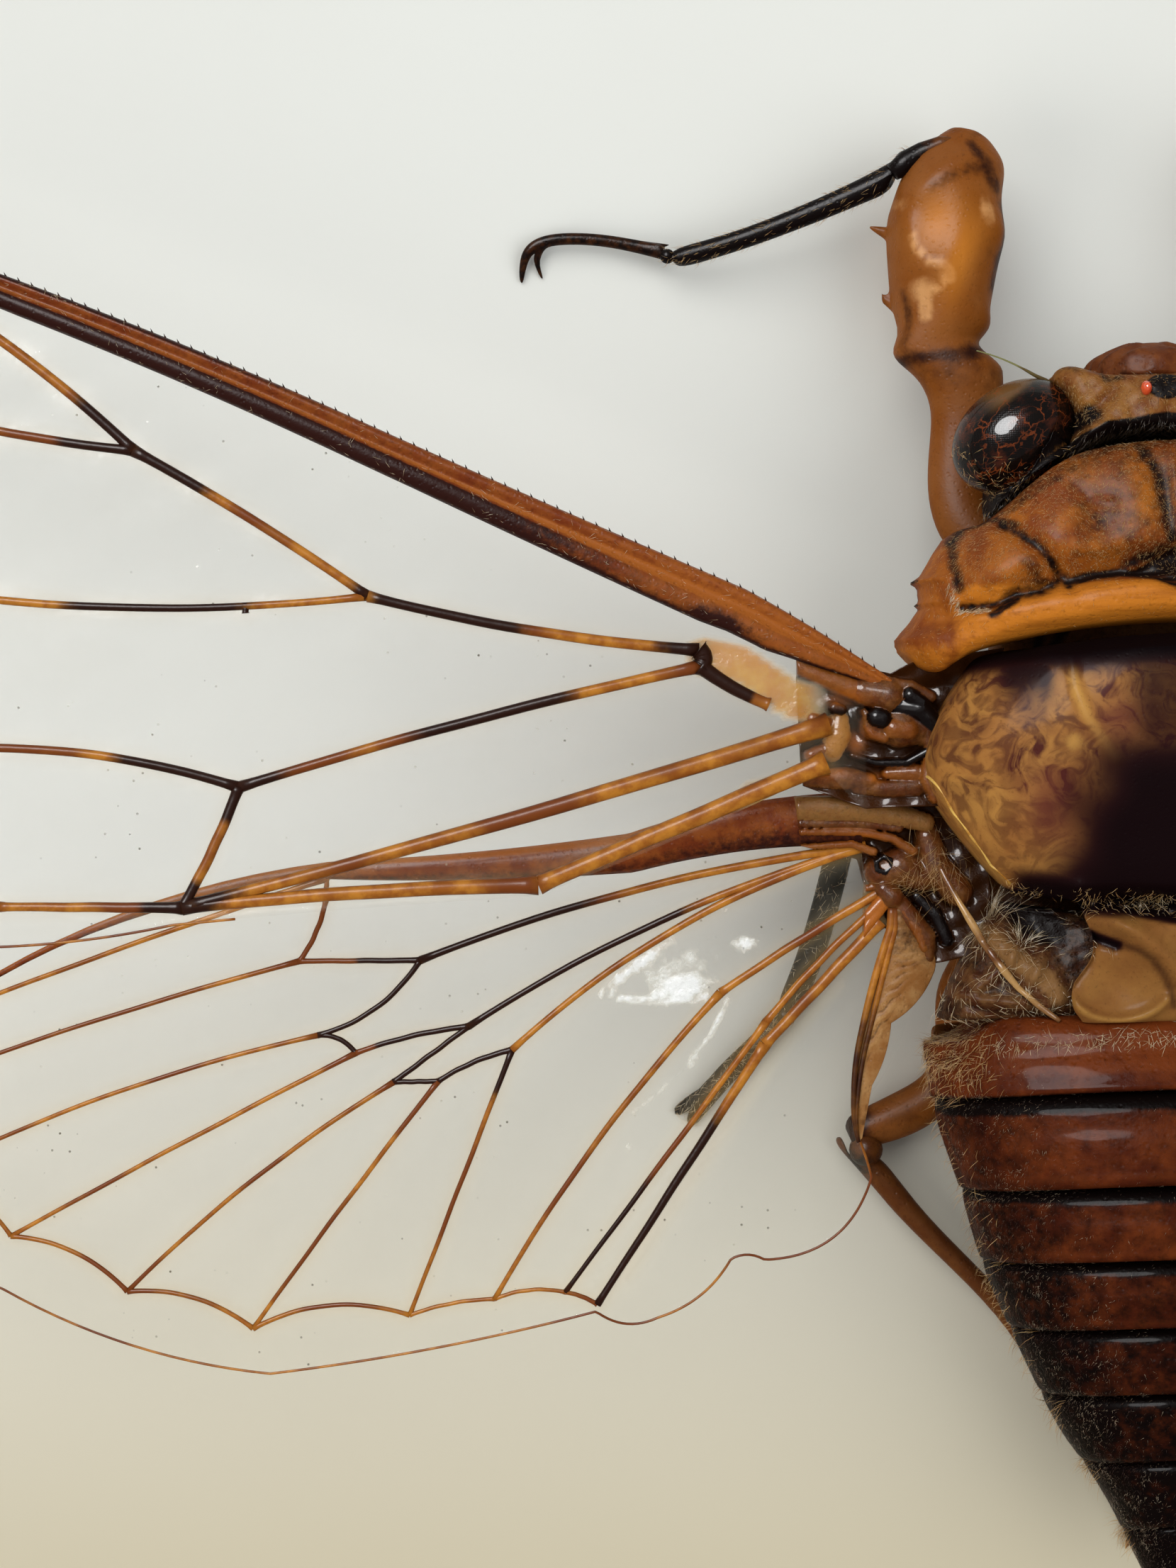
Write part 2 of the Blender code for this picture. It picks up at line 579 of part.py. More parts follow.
def wing_body(edge, joints, veins, border, level, side):
    """A wing: the membrane with its veins raised in it, split into triangles alike on both faces."""
    outline = []
    for start, end, bow in edge:
        outline += arc(start, end, bow, EDGE_SAG)[:-1]
    ridges, guides = wing_ridges(edge, joints, veins, border)
    points = [Vector(p) for p in outline]
    count = len(points)
    lines = [(i, (i + 1) % count) for i in range(count)]
    for guide in guides:
        first = len(points)
        points += [Vector(p) for p in guide]
        lines += [(i, i + 1) for i in range(first, len(points) - 1)]
    found = delaunay_2d_cdt(points, lines, [], 0, MERGE)
    flat, triangles = found[0], found[2]
    bm = bmesh.new()
    layers = ([], [])
    for p in flat:
        half = MEMBRANE / 2 + max(rise(p, ridge) for ridge in ridges)
        for layer, sign in zip(layers, (1, -1)):
            layer.append(bm.verts.new((side * p.x, p.y, level(p.x, p.y) + sign * half)))
    borders = {}
    for triangle in triangles:
        centre = sum((flat[i] for i in triangle), Vector((0, 0))) / 3
        if not inside(centre, outline):
            continue
        for layer in layers:
            bm.faces.new([layer[i] for i in triangle])
        for a, b in zip(triangle, list(triangle[1:]) + [triangle[0]]):
            borders[frozenset((a, b))] = borders.get(frozenset((a, b)), 0) + 1
    for border_edge, uses in borders.items():
        if uses == 1:
            a, b = border_edge
            bm.faces.new((layers[0][a], layers[0][b], layers[1][b], layers[1][a]))
    bmesh.ops.delete(bm, geom=[v for v in bm.verts if not v.link_faces], context="VERTS")
    return bm


def forewing_level(x, y):
    return FOREWING_Z + 0.6 * math.sin(math.pi * (x - WING_ROOT_X) / 89.0)


def hindwing_level(x, y):
    reach = math.hypot(x - WING_ROOT_X, y + 4.0) / 55.0
    return HINDWING_Z - 3.5 * reach**1.6


def build_head(parts, cutters):
    skin = finish("vertex skin", OCHRE, 0.5)

    def top(s, v, x, y):
        return 10.0 + (thorax_crest(y) - 10.0) * dome(s, 2.4)

    def bottom(s, v, x, y):
        return 7.4 - 4.4 * dome(s, 2.0)

    bm = plate(head_width, lambda x: HEAD_FRONT, ahead(head_rear), top, bottom, 18, 6)
    head = add_object("head", mesh_from(bm, "head"), parts, skin)
    cut_sockets(head, cutters)
    horn = finish("eye horn", DARK, 0.15)
    for label, side in SIDES.items():
        add_object(f"eye_{label}", mesh_from(eye_ball(side), "eye"), parts, horn)


def build_face(parts):
    shell = finish("face shell", BROWN, 0.45)
    face_width = profile(((HEAD_FRONT, 4.0), (22.4, 3.7), (23.2, 2.7), (23.7, 1.2)))

    def depth(y):
        return math.sqrt(max(0.05, 1 - ((y - HEAD_FRONT) / 2.4) ** 2))

    def top(s, v, x, y):
        return 8.6 + 4.4 * depth(y) * dome(s)

    def bottom(s, v, x, y):
        return 8.0 - 4.4 * depth(y) * dome(s)

    bm = plate(face_width, lambda x: 23.7, lambda x: HEAD_FRONT + GAP, top, bottom, 12, 5)
    add_object("postclypeus", mesh_from(bm, "postclypeus"), parts, shell)
    beak = tube(((0, 20.6, 1.5, 0.9), (0, 18.0, 1.5, 1.15), (0, 13.0, 1.3, 0.95), (0, 5.2, 0.9, 0.5)), 1)
    add_object("rostrum", mesh_from(rest_on_floor(beak), "rostrum"), parts, shell)
    bead = finish("ocellus", (0.8, 0.12, 0.04), 0.2)
    for label, x, y in (("middle", 0.0, 20.9), ("left", -1.3, 20.1), ("right", 1.3, 20.1)):
        bm = bmesh.new()
        bmesh.ops.create_uvsphere(bm, u_segments=12, v_segments=8, radius=0.42)
        seat = thorax_crest(y) + GAP
        bmesh.ops.translate(bm, verts=bm.verts, vec=(x, y, seat))
        for vert in bm.verts:
            vert.co.z = max(vert.co.z, seat)
        bmesh.ops.remove_doubles(bm, verts=bm.verts, dist=0.01)
        bmesh.ops.dissolve_degenerate(bm, edges=bm.edges, dist=0.01)
        add_object(f"ocellus_{label}", mesh_from(bm, "ocellus"), parts, bead)
    bristle = finish("antenna", DARK, 0.4)
    for label, side in SIDES.items():
        bm = tube(((5.95, 21.95, 11.6, 0.42), (6.8, 22.4, 11.8, 0.36), (7.8, 22.75, 11.7, 0.22),
                   (9.4, 23.05, 11.2, 0.12)), side, 2)
        add_object(f"antenna_{label}", mesh_from(bm, "antenna"), parts, bristle)


def breast_block(grow=0.0):
    """The lower half of the thorax, level on top, with the legs set in its flanks."""

    def base(s, v, x, y):
        keel = 2.9 * ease((y - 2.0) / 2.5)
        rise = (5.0 - keel) * (1 - dome(s, 3.0)) - BREAST_FLAT
        return keel + max(0.0, rise) - grow

    return plate(
        lambda y: underside_width(y) + grow,
        lambda x: head_rear(x) - GAP / 2 + grow,
        lambda x: METANOTUM_REAR + GAP / 2 - grow,
        lambda s, v, x, y: SEAM_Z - GAP / 2 + grow, base, 12, 9,
    )


def build_thorax(parts, cutters):
    ochre = finish("pronotum shell", BROWN, 0.5)
    orange = finish("collar shell", ORANGE, 0.4)
    velvet = finish("mesonotum shell", OCHRE, 0.35)
    breast = finish("breast", BROWN, 0.6)

    def shield_top(edge, power):
        return lambda s, v, x, y: edge + (thorax_crest(y) - edge) * dome(s, power)

    def pronotum_base(s, v, x, y):
        return rising_base(x, pronotum_width(y), 9.8)

    bm = plate(pronotum_width, behind(head_rear), ahead(collar_front), shield_top(10.5, 2.2),
               pronotum_base, 20, 4)
    pronotum = add_object("pronotum", mesh_from(bm, "pronotum"), parts, ochre)
    cut_sockets(pronotum, cutters)
    bm = plate(pronotum_width, behind(collar_front), ahead(collar_rear), shield_top(10.8, 2.2),
               pronotum_base, 24, 2)
    add_object("pronotal_collar", mesh_from(bm, "pronotal_collar"), parts, orange)

    def mesonotum_base(s, v, x, y):
        return rising_base(x, mesonotum_width(y), 9.6)

    bm = plate(mesonotum_width, behind(collar_rear), ahead(mesonotum_rear), shield_top(13.8, 2.0),
               mesonotum_base, 18, 7)
    add_object("mesonotum", mesh_from(bm, "mesonotum"), parts, velvet)

    def metanotum_top(s, v, x, y):
        return 11.6 + 2.5 * dome(s, 4.0)

    def metanotum_base(s, v, x, y):
        return rising_base(x, metanotum_width(y), 9.0)

    bm = plate(metanotum_width, behind(mesonotum_rear), ahead(ring_line(0)), metanotum_top,
               metanotum_base, 16, 3)
    add_object("metanotum", mesh_from(bm, "metanotum"), parts, ochre)
    cross_width = profile(((-6.6, 5.3), (-8.6, 4.4), (-10.4, 6.2), (-12.3, 5.4)))

    def cross_top(s, v, x, y):
        return 15.2 + (1.9 - 0.15 * (v * 5) ** 1.5) * dome(s, 2.2)

    bm = plate(cross_width, behind(mesonotum_rear), ahead(ring_line(0)), cross_top,
               lambda s, v, x, y: 14.1 + GAP, 12, 5)
    add_object("cruciform_elevation", mesh_from(bm, "cruciform_elevation"), parts, ochre)

    add_object("thorax_underside", mesh_from(breast_block(), "thorax_underside"), parts, breast)


def abdomen_floor(x, y):
    """Height of the abdomen's underside at a place in plan."""
    waist = abdomen_waist(y) - 0.25
    s = min(1.0, abs(x) / abdomen_width(y))
    return waist - (waist - abdomen_keel(y)) * dome(s, 2.3)


def build_abdomen(parts):
    shell = finish("abdomen shell", MAHOGANY, 0.35)
    for index in range(1, len(ABDOMEN_RINGS)):
        def top(s, v, x, y):
            waist = abdomen_waist(y) + 0.25
            step = 1 - RING_STEP * (1 - ease(v * 2.5)) * (index > 1)
            return waist + (abdomen_crest(y) - waist) * dome(s, 2.1) * step

        def bottom(s, v, x, y):
            return abdomen_floor(s * abdomen_width(y), y)

        last = index == len(ABDOMEN_RINGS) - 1
        rear = (lambda x: ABDOMEN_RINGS[-1]) if last else ahead(ring_line(index))
        bm = plate(abdomen_width, behind(ring_line(index - 1)), rear, top, bottom, 14, 4 if last else 3)
        name = "abdomen_tip" if last else f"abdomen_{index}"
        add_object(name, mesh_from(bm, name), parts, shell)


def build_opercula(parts):
    shell = finish("operculum", BROWN, 0.4)
    for label, side in SIDES.items():
        def plan(u, v):
            x = 1.2 + (abdomen_width(-14) - 0.6 - 1.2) * u
            length = 5.4 * math.sqrt(max(0.04, 1 - (u * 1.5 - 0.6) ** 2))
            return side * x, METANOTUM_REAR - GAP - length * v

        bm = grid_body(plan, lambda u, v, x, y: abdomen_floor(x, y) - GAP,
                       lambda u, v, x, y: abdomen_floor(x, y) - GAP - 0.7, 8, 4)
        add_object(f"operculum_{label}", mesh_from(bm, "operculum"), parts, shell)


def build_wing_bases(parts):
    gloss = finish("wing base", DARK, 0.2)
    for label, side in SIDES.items():
        for name, y_front, y_rear, low, high in (
            ("forewing_base", 5.4, -1.7, 10.7, 13.7),
            ("hindwing_base", -2.1, -7.2, 9.1, 11.3),
        ):
            def plan(u, v):
                y = y_front + (y_rear - y_front) * u
                inner = max(mesonotum_width(y), metanotum_width(y) if y < -5.5 else 0) + GAP
                return side * (inner + (WING_ROOT_X - GAP - inner) * v), y

            def top(u, v, x, y):
                return high + 0.5 * math.sin(math.pi * u) * (1 - 0.6 * v)

            def bottom(u, v, x, y):
                return low - 0.3 * math.sin(math.pi * u)

            bm = grid_body(plan, top, bottom, 6, 3)
            add_object(f"{name}_{label}", mesh_from(bm, name), parts, gloss)


def build_wings(parts):
    clear = finish("wing membrane", AMBER, 0.15, 0.4)
    for label, side in SIDES.items():
        for name, edge, joints, veins, border, level in (
            ("forewing", FOREWING_EDGE, FOREWING_JOINTS, FOREWING_VEINS, FOREWING_BORDER, forewing_level),
            ("hindwing", HINDWING_EDGE, HINDWING_JOINTS, HINDWING_VEINS, HINDWING_BORDER, hindwing_level),
        ):
            bm = wing_body(edge, joints, veins, border, level, side)
            add_object(f"{name}_{label}", mesh_from(bm, name), parts, clear)


def build_legs(parts, cutters):
    femur_shell = finish("femur", ORANGE, 0.4)
    shin_shell = finish("tibia", DARK, 0.35)
    for leg, bones, claw in (
        ("fore", (FORE_COXA, FORE_TIBIA, FORE_TARSUS), FORE_CLAW),
        ("mid", (MID_COXA, MID_TIBIA, MID_TARSUS), MID_CLAW),
        ("hind", (HIND_COXA, HIND_TIBIA, HIND_TARSUS), HIND_CLAW),
    ):
        for label, side in SIDES.items():
            room = breast_block(GAP)
            for bone, knots in zip(("femur", "tibia", "tarsus"), bones):
                name = f"{leg}leg_{bone}_{label}"
                material = femur_shell if bone == "femur" else shin_shell
                steps, resolution = {"femur": (2, 3), "tibia": (2, 2), "tarsus": (2, 1)}[bone]
                bm = rest_on_floor(tube(knots, side, steps, 0.0, resolution))
                part = add_object(name, mesh_from(bm, name), parts, material)
                if bone == "tarsus":
                    fuse(part, [rest_on_floor(tube(claw, side, 1, 0.0, 1))])
                elif knots is FORE_COXA:
                    fuse(part, [spine(*place, side) for place in FORE_SPINES])
                cutter = add_object("joint room", mesh_from(room, "joint room"), cutters)
                apply_boolean(part, cutter, "DIFFERENCE")
                room = tube(knots, side, steps, GAP, resolution)


def main():
    clear_scene()
    parts = new_collection("cicada")
    cutters = new_collection("cutters")
    build_head(parts, cutters)
    build_face(parts)
    build_thorax(parts, cutters)
    build_abdomen(parts)
    build_opercula(parts)
    build_wing_bases(parts)
    build_wings(parts)
    build_legs(parts, cutters)
    for part in parts.objects:
        print(part.name, len(part.data.polygons))


main()
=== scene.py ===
# %% [markdown]
# # A large cicada with spread wings
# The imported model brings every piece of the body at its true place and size, in metres. This file gives
# that body its looks: it loads the model as a fixed frame, then builds a finer piece over each solid.
# Sizes below are in millimetres, x outward from the midline and y forward, as an entomologist would
# measure half a pinned insect. One helper turns such a place into metres on either side.

import json
import math

import bpy
import numpy as np
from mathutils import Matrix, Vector
from mathutils.bvhtree import BVHTree

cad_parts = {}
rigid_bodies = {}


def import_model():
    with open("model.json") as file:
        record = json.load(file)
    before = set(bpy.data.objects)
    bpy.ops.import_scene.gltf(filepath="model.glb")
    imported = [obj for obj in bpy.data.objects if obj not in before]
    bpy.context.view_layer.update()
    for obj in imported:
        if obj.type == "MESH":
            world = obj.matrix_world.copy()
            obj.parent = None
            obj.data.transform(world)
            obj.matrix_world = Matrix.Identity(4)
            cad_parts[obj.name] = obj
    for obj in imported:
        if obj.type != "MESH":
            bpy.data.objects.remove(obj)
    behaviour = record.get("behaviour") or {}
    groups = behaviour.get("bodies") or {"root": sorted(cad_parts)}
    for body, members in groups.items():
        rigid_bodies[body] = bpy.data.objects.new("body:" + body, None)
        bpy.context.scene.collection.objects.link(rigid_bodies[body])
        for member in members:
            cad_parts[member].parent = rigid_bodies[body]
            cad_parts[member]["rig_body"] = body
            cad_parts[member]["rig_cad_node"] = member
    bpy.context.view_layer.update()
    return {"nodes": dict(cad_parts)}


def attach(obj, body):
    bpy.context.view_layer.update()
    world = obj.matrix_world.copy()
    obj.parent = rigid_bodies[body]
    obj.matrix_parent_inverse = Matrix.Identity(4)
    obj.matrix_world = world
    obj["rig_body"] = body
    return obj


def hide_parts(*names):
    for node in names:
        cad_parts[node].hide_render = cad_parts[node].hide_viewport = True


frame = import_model()

MM = 0.001
AHEAD = 2.8
SIDES = {"left": -1, "right": 1}


def place(x, y, z, side=1):
    """A point given outward, forward and up in millimetres, as metres in the frame."""
    return Vector((side * x, y + AHEAD, z)) * MM


# %% [markdown]
# ## Camera
# The photograph looks straight down on the animal's left half, from about sixteen centimetres. A camera
# with no tilt looks down its own -Z axis already, so it only needs its height and a small turn.

# %% Set the camera
CAMERA_AT = (-30.47, 0.8, 163.0)
CAMERA_TURN = -1.5
FRAME_HEIGHT = 36.0
FOCAL_LENGTH = 65.9

lens = bpy.data.cameras.new("view from above")
lens.sensor_fit = "VERTICAL"
lens.sensor_height = FRAME_HEIGHT
lens.lens = FOCAL_LENGTH
camera = bpy.data.objects.new("view from above", lens)
camera.location = place(*CAMERA_AT)
camera.rotation_euler = (0, 0, math.radians(CAMERA_TURN))
bpy.context.scene.collection.objects.link(camera)
bpy.context.scene.camera = camera

# %% [markdown]
# ## Helpers for modelling
# An operator works on whatever is selected. These few functions make sure that this is one piece, read
# and move its points, and apply its modifiers.


# %% Define the modelling helpers
def only(piece):
    """Makes one piece the active and only selected object."""
    bpy.ops.object.select_all(action="DESELECT")
    piece.hide_set(False)
    piece.select_set(True)
    bpy.context.view_layer.objects.active = piece
    return piece


def started(name):
    """Names the primitive that was just added."""
    piece = bpy.context.active_object
    piece.name = name
    piece.data.name = name
    return piece


def edit(piece, *steps):
    """Runs mesh operators, given as (operator, settings), on the whole piece in edit mode."""
    only(piece)
    bpy.ops.object.mode_set(mode="EDIT")
    bpy.ops.mesh.select_all(action="SELECT")
    for step, settings in steps:
        step(**settings)
    bpy.ops.object.mode_set(mode="OBJECT")
    return piece


def weld(reach):
    """A step for edit: merges points closer than this, in millimetres."""
    return bpy.ops.mesh.remove_doubles, {"threshold": reach * MM}


FACE_OUT = (bpy.ops.mesh.normals_make_consistent, {"inside": False})


def modify(piece, kind, **settings):
    """Adds a modifier and applies it."""
    only(piece)
    modifier = piece.modifiers.new(kind.lower(), kind)
    for key, value in settings.items():
        setattr(modifier, key, value)
    bpy.ops.object.modifier_apply(modifier=modifier.name)
    return piece


def join(name, pieces):
    """One object from several."""
    bpy.ops.object.select_all(action="DESELECT")
    for piece in pieces:
        piece.select_set(True)
    bpy.context.view_layer.objects.active = pieces[0]
    bpy.ops.object.join()
    return started(name)


def points_of(piece):
    """The piece's points as rows of x, y, z in the table's millimetres."""
    flat = np.empty(len(piece.data.vertices) * 3)
    piece.data.vertices.foreach_get("co", flat)
    return flat.reshape(-1, 3) / MM - (0, AHEAD, 0)


def move_points(piece, points):
    """Puts the piece's points where the rows say, in the table's millimetres."""
    piece.data.vertices.foreach_set("co", ((points + (0, AHEAD, 0)) * MM).ravel())
    piece.data.update()
    return piece


def paint(piece, layer, values):
    """Writes a number, or one for each point, which a material can read by the layer's name."""
    held = piece.data.attributes.get(layer) or piece.data.attributes.new(layer, "FLOAT", "POINT")
    values = np.broadcast_to(np.clip(values, 0, 1), len(piece.data.vertices))
    held.data.foreach_set("value", values.astype(np.float32))
    return piece


def painted(piece, layer):
    """The numbers of a painted layer."""
    held = np.empty(len(piece.data.vertices))
    piece.data.attributes[layer].data.foreach_get("value", held)
    return held


def facing_of(piece):
    """How far each point faces up: 1 is straight up and -1 straight down."""
    flat = np.empty(len(piece.data.vertices) * 3)
    piece.data.vertices.foreach_get("normal", flat)
    return flat.reshape(-1, 3)[:, 2]


def from_solid(node, name=None, levels=2, keep_corners=0):
    """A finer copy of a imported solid; keep_corners splits it flat first, so that its corners stay crisp."""
    solid = frame["nodes"][node]
    piece = solid.copy()
    piece.data = solid.data.copy()
    piece.parent = None
    piece.name = name or "fine_" + node
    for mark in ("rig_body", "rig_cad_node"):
        if mark in piece:
            del piece[mark]
    bpy.context.scene.collection.objects.link(piece)
    piece.data.materials.clear()
    edit(piece, weld(0.004), (bpy.ops.mesh.tris_convert_to_quads, {}))
    if keep_corners:
        modify(piece, "SUBSURF", subdivision_type="SIMPLE", levels=keep_corners, render_levels=keep_corners)
    if levels:
        modify(piece, "SUBSURF", levels=levels, render_levels=levels)
    piece.data.shade_smooth()
    return piece


ABOVE_ALL = 60


def drop_on(piece, line, lift=0.0):
    """Adds to each (x, y) of a line the height of the piece's top below it, in the table's millimetres."""
    tree = BVHTree.FromObject(piece, bpy.context.evaluated_depsgraph_get())
    dropped = []
    for x, y in line:
        hit = tree.ray_cast(place(x, y, ABOVE_ALL), Vector((0, 0, -1)))[0]
        below = hit.z / MM if hit else dropped[-1][2] - lift if dropped else 0.0
        dropped.append((x, y, below + lift))
    return dropped


def dress(piece, material, slot, *nodes):
    """Finishes a piece: its material and the body it moves with; it hides the solids it stands for. The slot
    is not used.
    """
    piece.data.materials.clear()
    piece.data.materials.append(material)
    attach(piece, "root")
    if nodes:
        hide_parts(*nodes)
    return piece


# %% [markdown]
# Markings and relief on an insect follow lines: seams, ridges, veins. So the detail is described by
# distance, from a line or from a point, worked out for all the points of a piece at once.


# %% Define distance, ridge and spot
def distance_to(x, y, line):
    """How far each place is from a line of points, seen from above."""
    best = np.full(np.shape(x), np.inf)
    for (x0, y0), (x1, y1) in zip(line, line[1:]):
        dx, dy = x1 - x0, y1 - y0
        along = np.clip(((x - x0) * dx + (y - y0) * dy) / (dx * dx + dy * dy), 0, 1)
        best = np.minimum(best, np.hypot(x - x0 - dx * along, y - y0 - dy * along))
    return best


def ridge(x, y, line, width):
    """1 on the line, fading to nothing over the width on both sides."""
    return np.exp(-((distance_to(x, y, line) / width) ** 2))


def spot(x, y, centre, width, length=None, turn=0.0):
    """1 at the centre of a soft oval patch, turned by some degrees."""
    length = length or width
    angle = math.radians(turn)
    u = (x - centre[0]) * math.cos(angle) + (y - centre[1]) * math.sin(angle)
    v = (y - centre[1]) * math.cos(angle) - (x - centre[0]) * math.sin(angle)
    return np.exp(-((u / width) ** 2) - (v / length) ** 2)


def ease(value, low, high):
    """Rises smoothly from 0 at low to 1 at high."""
    t = np.clip((value - low) / (high - low), 0, 1)
    return t * t * (3 - 2 * t)


def arc(start, end, bow, count):
    """Points along a shallow arc; bow is its height to the left of travel."""
    (x0, y0), (x1, y1) = start, end
    length = math.hypot(x1 - x0, y1 - y0)
    line = []
    for i in range(count + 1):
        t = i / count
        lift = 4 * bow * t * (1 - t) / length
        line.append((x0 + (x1 - x0) * t - (y1 - y0) * lift, y0 + (y1 - y0) * t + (x1 - x0) * lift))
    return line

# %% [markdown]
# ## Helpers for materials
# A material is a small graph. These helpers add a node with its settings and join sockets by name, so
# that the graphs further down read as a list of what feeds what.


# %% Define the material helpers
def node(tree, kind, inputs=None, **settings):
    """Adds a shader node, sets its properties, and fills or links its inputs."""
    made = tree.nodes.new(kind)
    for key, value in settings.items():
        setattr(made, key, value)
    for key, value in (inputs or {}).items():
        if isinstance(value, bpy.types.NodeSocket):
            tree.links.new(value, made.inputs[key])
        else:
            made.inputs[key].default_value = value
    return made


def colour(red, green, blue):
    """A colour read off a screen, 0 to 255, as the linear values that a shader takes."""
    linear = []
    for part in (red, green, blue):
        part /= 255
        linear.append(part / 12.92 if part <= 0.04045 else ((part + 0.055) / 1.055) ** 2.4)
    return (*linear, 1.0)


def maths(tree, operation, first, second=0.5, third=0.0, clamp=False):
    made = node(tree, "ShaderNodeMath", {0: first, 1: second, 2: third}, operation=operation)
    made.use_clamp = clamp
    return made.outputs[0]


def blend_colour(tree, share, first, second):
    made = node(tree, "ShaderNodeMix", {0: share, 6: first, 7: second}, data_type="RGBA")
    return made.outputs[2]


def smooth_step(tree, value, low, high):
    made = node(
        tree, "ShaderNodeMapRange", {"Value": value, "From Min": low, "From Max": high},
        interpolation_type="SMOOTHSTEP",
    )
    return made.outputs["Result"]


def layer(tree, name):
    return node(tree, "ShaderNodeAttribute", attribute_name=name).outputs["Fac"]


def noise(tree, scale, detail=3.0, roughness=0.55, where=None):
    inputs = {"Scale": scale, "Detail": detail, "Roughness": roughness}
    if where is not None:
        inputs["Vector"] = where
    return node(tree, "ShaderNodeTexNoise", inputs).outputs["Fac"]


def new_group(name, inputs, outputs):
    """An empty shader group with its sockets, and its two end nodes."""
    group = bpy.data.node_groups.new(name, "ShaderNodeTree")
    for socket, kind, value in inputs:
        made = group.interface.new_socket(socket, in_out="INPUT", socket_type=kind)
        made.default_value = value
    for socket, kind in outputs:
        group.interface.new_socket(socket, in_out="OUTPUT", socket_type=kind)
    return group, group.nodes.new("NodeGroupInput").outputs, group.nodes.new("NodeGroupOutput").inputs


def use_group(tree, group, inputs):
    return node(tree, "ShaderNodeGroup", inputs, node_tree=group).outputs


def object_place(tree):
    """Where each point lies in the object's own coordinates."""
    return node(tree, "ShaderNodeTexCoord").outputs["Object"]


def set_all(shader, settings):
    """Gives a shader's inputs their plain values."""
    for key, value in settings.items():
        shader.inputs[key].default_value = value


def new_material(name):
    material = bpy.data.materials.new(name)
    material.use_nodes = True
    tree = material.node_tree
    return material, tree, tree.nodes["Principled BSDF"]


def bump(tree, height, distance, strength=1.0, under=None):
    inputs = {"Height": height, "Distance": distance, "Strength": strength}
    if under is not None:
        inputs["Normal"] = under
    return node(tree, "ShaderNodeBump", inputs).outputs["Normal"]


FLOAT = "NodeSocketFloat"
COLOUR = "NodeSocketColor"

# %% [markdown]
# ## The shell of an insect
# Dried cuticle is a stained, translucent lacquer over fine grain: the colour drifts in clouds, darkens
# in patches with ragged edges, and tiny pits break up the gloss. Every plate has this, so it is one
# shader group. The dark and pale patches come from numbers painted on the mesh, and noise frays them.
# On some pieces these numbers also carry painted shade and painted highlights.

# %% Build the cuticle group
cuticle, given, result = new_group(
    "cuticle",
    (
        ("Base", COLOUR, (0.3, 0.1, 0.03, 1)), ("Light", COLOUR, (0.5, 0.25, 0.1, 1)),
        ("Dark", COLOUR, (0.02, 0.01, 0.01, 1)), ("Dark patch", FLOAT, 0.0), ("Light patch", FLOAT, 0.0),
        ("Cloud scale", FLOAT, 420.0), ("Cloud share", FLOAT, 0.5), ("Grain scale", FLOAT, 5200.0),
    ),
    (("Color", COLOUR), ("Height", FLOAT), ("Roughness", FLOAT)),
)
where = object_place(cuticle)
clouds = noise(cuticle, given["Cloud scale"], 5.0, 0.6, where)
fray_scale = maths(cuticle, "MULTIPLY", given["Cloud scale"], 3.1)
fray = maths(cuticle, "SUBTRACT", noise(cuticle, fray_scale, 6.0, 0.65, where), 0.5)
grain = noise(cuticle, given["Grain scale"], 3.0, 0.6, where)
pit_cells = node(
    cuticle, "ShaderNodeTexVoronoi",
    {"Vector": where, "Scale": maths(cuticle, "MULTIPLY", given["Grain scale"], 0.55)},
)
pits = smooth_step(cuticle, pit_cells.outputs["Distance"], 0.05, 0.34)
cloud_share = maths(cuticle, "MULTIPLY", smooth_step(cuticle, clouds, 0.36, 0.66), given["Cloud share"])
shell_colour = blend_colour(cuticle, cloud_share, given["Base"], given["Light"])
# Light patch is pale cuticle, and on some pieces a painted highlight; Dark patch below is stain, and on some
# pieces painted shade.
pale = maths(cuticle, "MULTIPLY_ADD", fray, 0.55, given["Light patch"])
shell_colour = blend_colour(cuticle, smooth_step(cuticle, pale, 0.25, 0.7), shell_colour, given["Light"])
stain_and_shade = maths(cuticle, "MULTIPLY_ADD", fray, 0.8, given["Dark patch"])
shell_colour = blend_colour(cuticle, smooth_step(cuticle, stain_and_shade, 0.22, 0.78), shell_colour, given["Dark"])
speck = maths(cuticle, "MULTIPLY", smooth_step(cuticle, grain, 0.58, 0.72), 0.3)
shell_colour = blend_colour(cuticle, speck, shell_colour, given["Dark"])
cuticle.links.new(shell_colour, result["Color"])
cuticle.links.new(maths(cuticle, "MULTIPLY_ADD", pits, 0.6, maths(cuticle, "MULTIPLY", grain, 0.6)),
    result["Height"])
cuticle.links.new(maths(cuticle, "MULTIPLY_ADD", clouds, 0.25, -0.12), result["Roughness"])


def shell_finish(name, base, light, dark, gloss=0.35, cloud=420.0, share=0.5, relief=0.05,
    grain_scale=5200.0,
                 coat=0.06, coat_blur=0.24):
    """A cuticle material; relief is the depth of its grain in millimetres."""
    material, tree, shader = new_material(name)
    out = use_group(tree, cuticle, {
        "Base": colour(*base), "Light": colour(*light), "Dark": colour(*dark),
        "Dark patch": layer(tree, "dark"),
        "Light patch": layer(tree, "pale"), "Cloud scale": cloud, "Cloud share": share,
        "Grain scale": grain_scale,
    })
    tree.links.new(out["Color"], shader.inputs["Base Color"])
    tree.links.new(maths(tree, "ADD", out["Roughness"], gloss), shader.inputs["Roughness"])
    tree.links.new(bump(tree, out["Height"], relief * MM), shader.inputs["Normal"])
    set_all(shader, {"Coat Weight": coat, "Coat Roughness": coat_blur, "Specular IOR Level": 0.035})
    return material


# %% [markdown]
# ## Floor and light
# The specimen lies on something pale, in broad daylight from the upper left. Large soft lamps give that
# light, but their reflections would lay a grey veil on dark cuticle. So they don't show in reflections,
# and one smaller lamp, which shows in reflections only, draws the gleams.

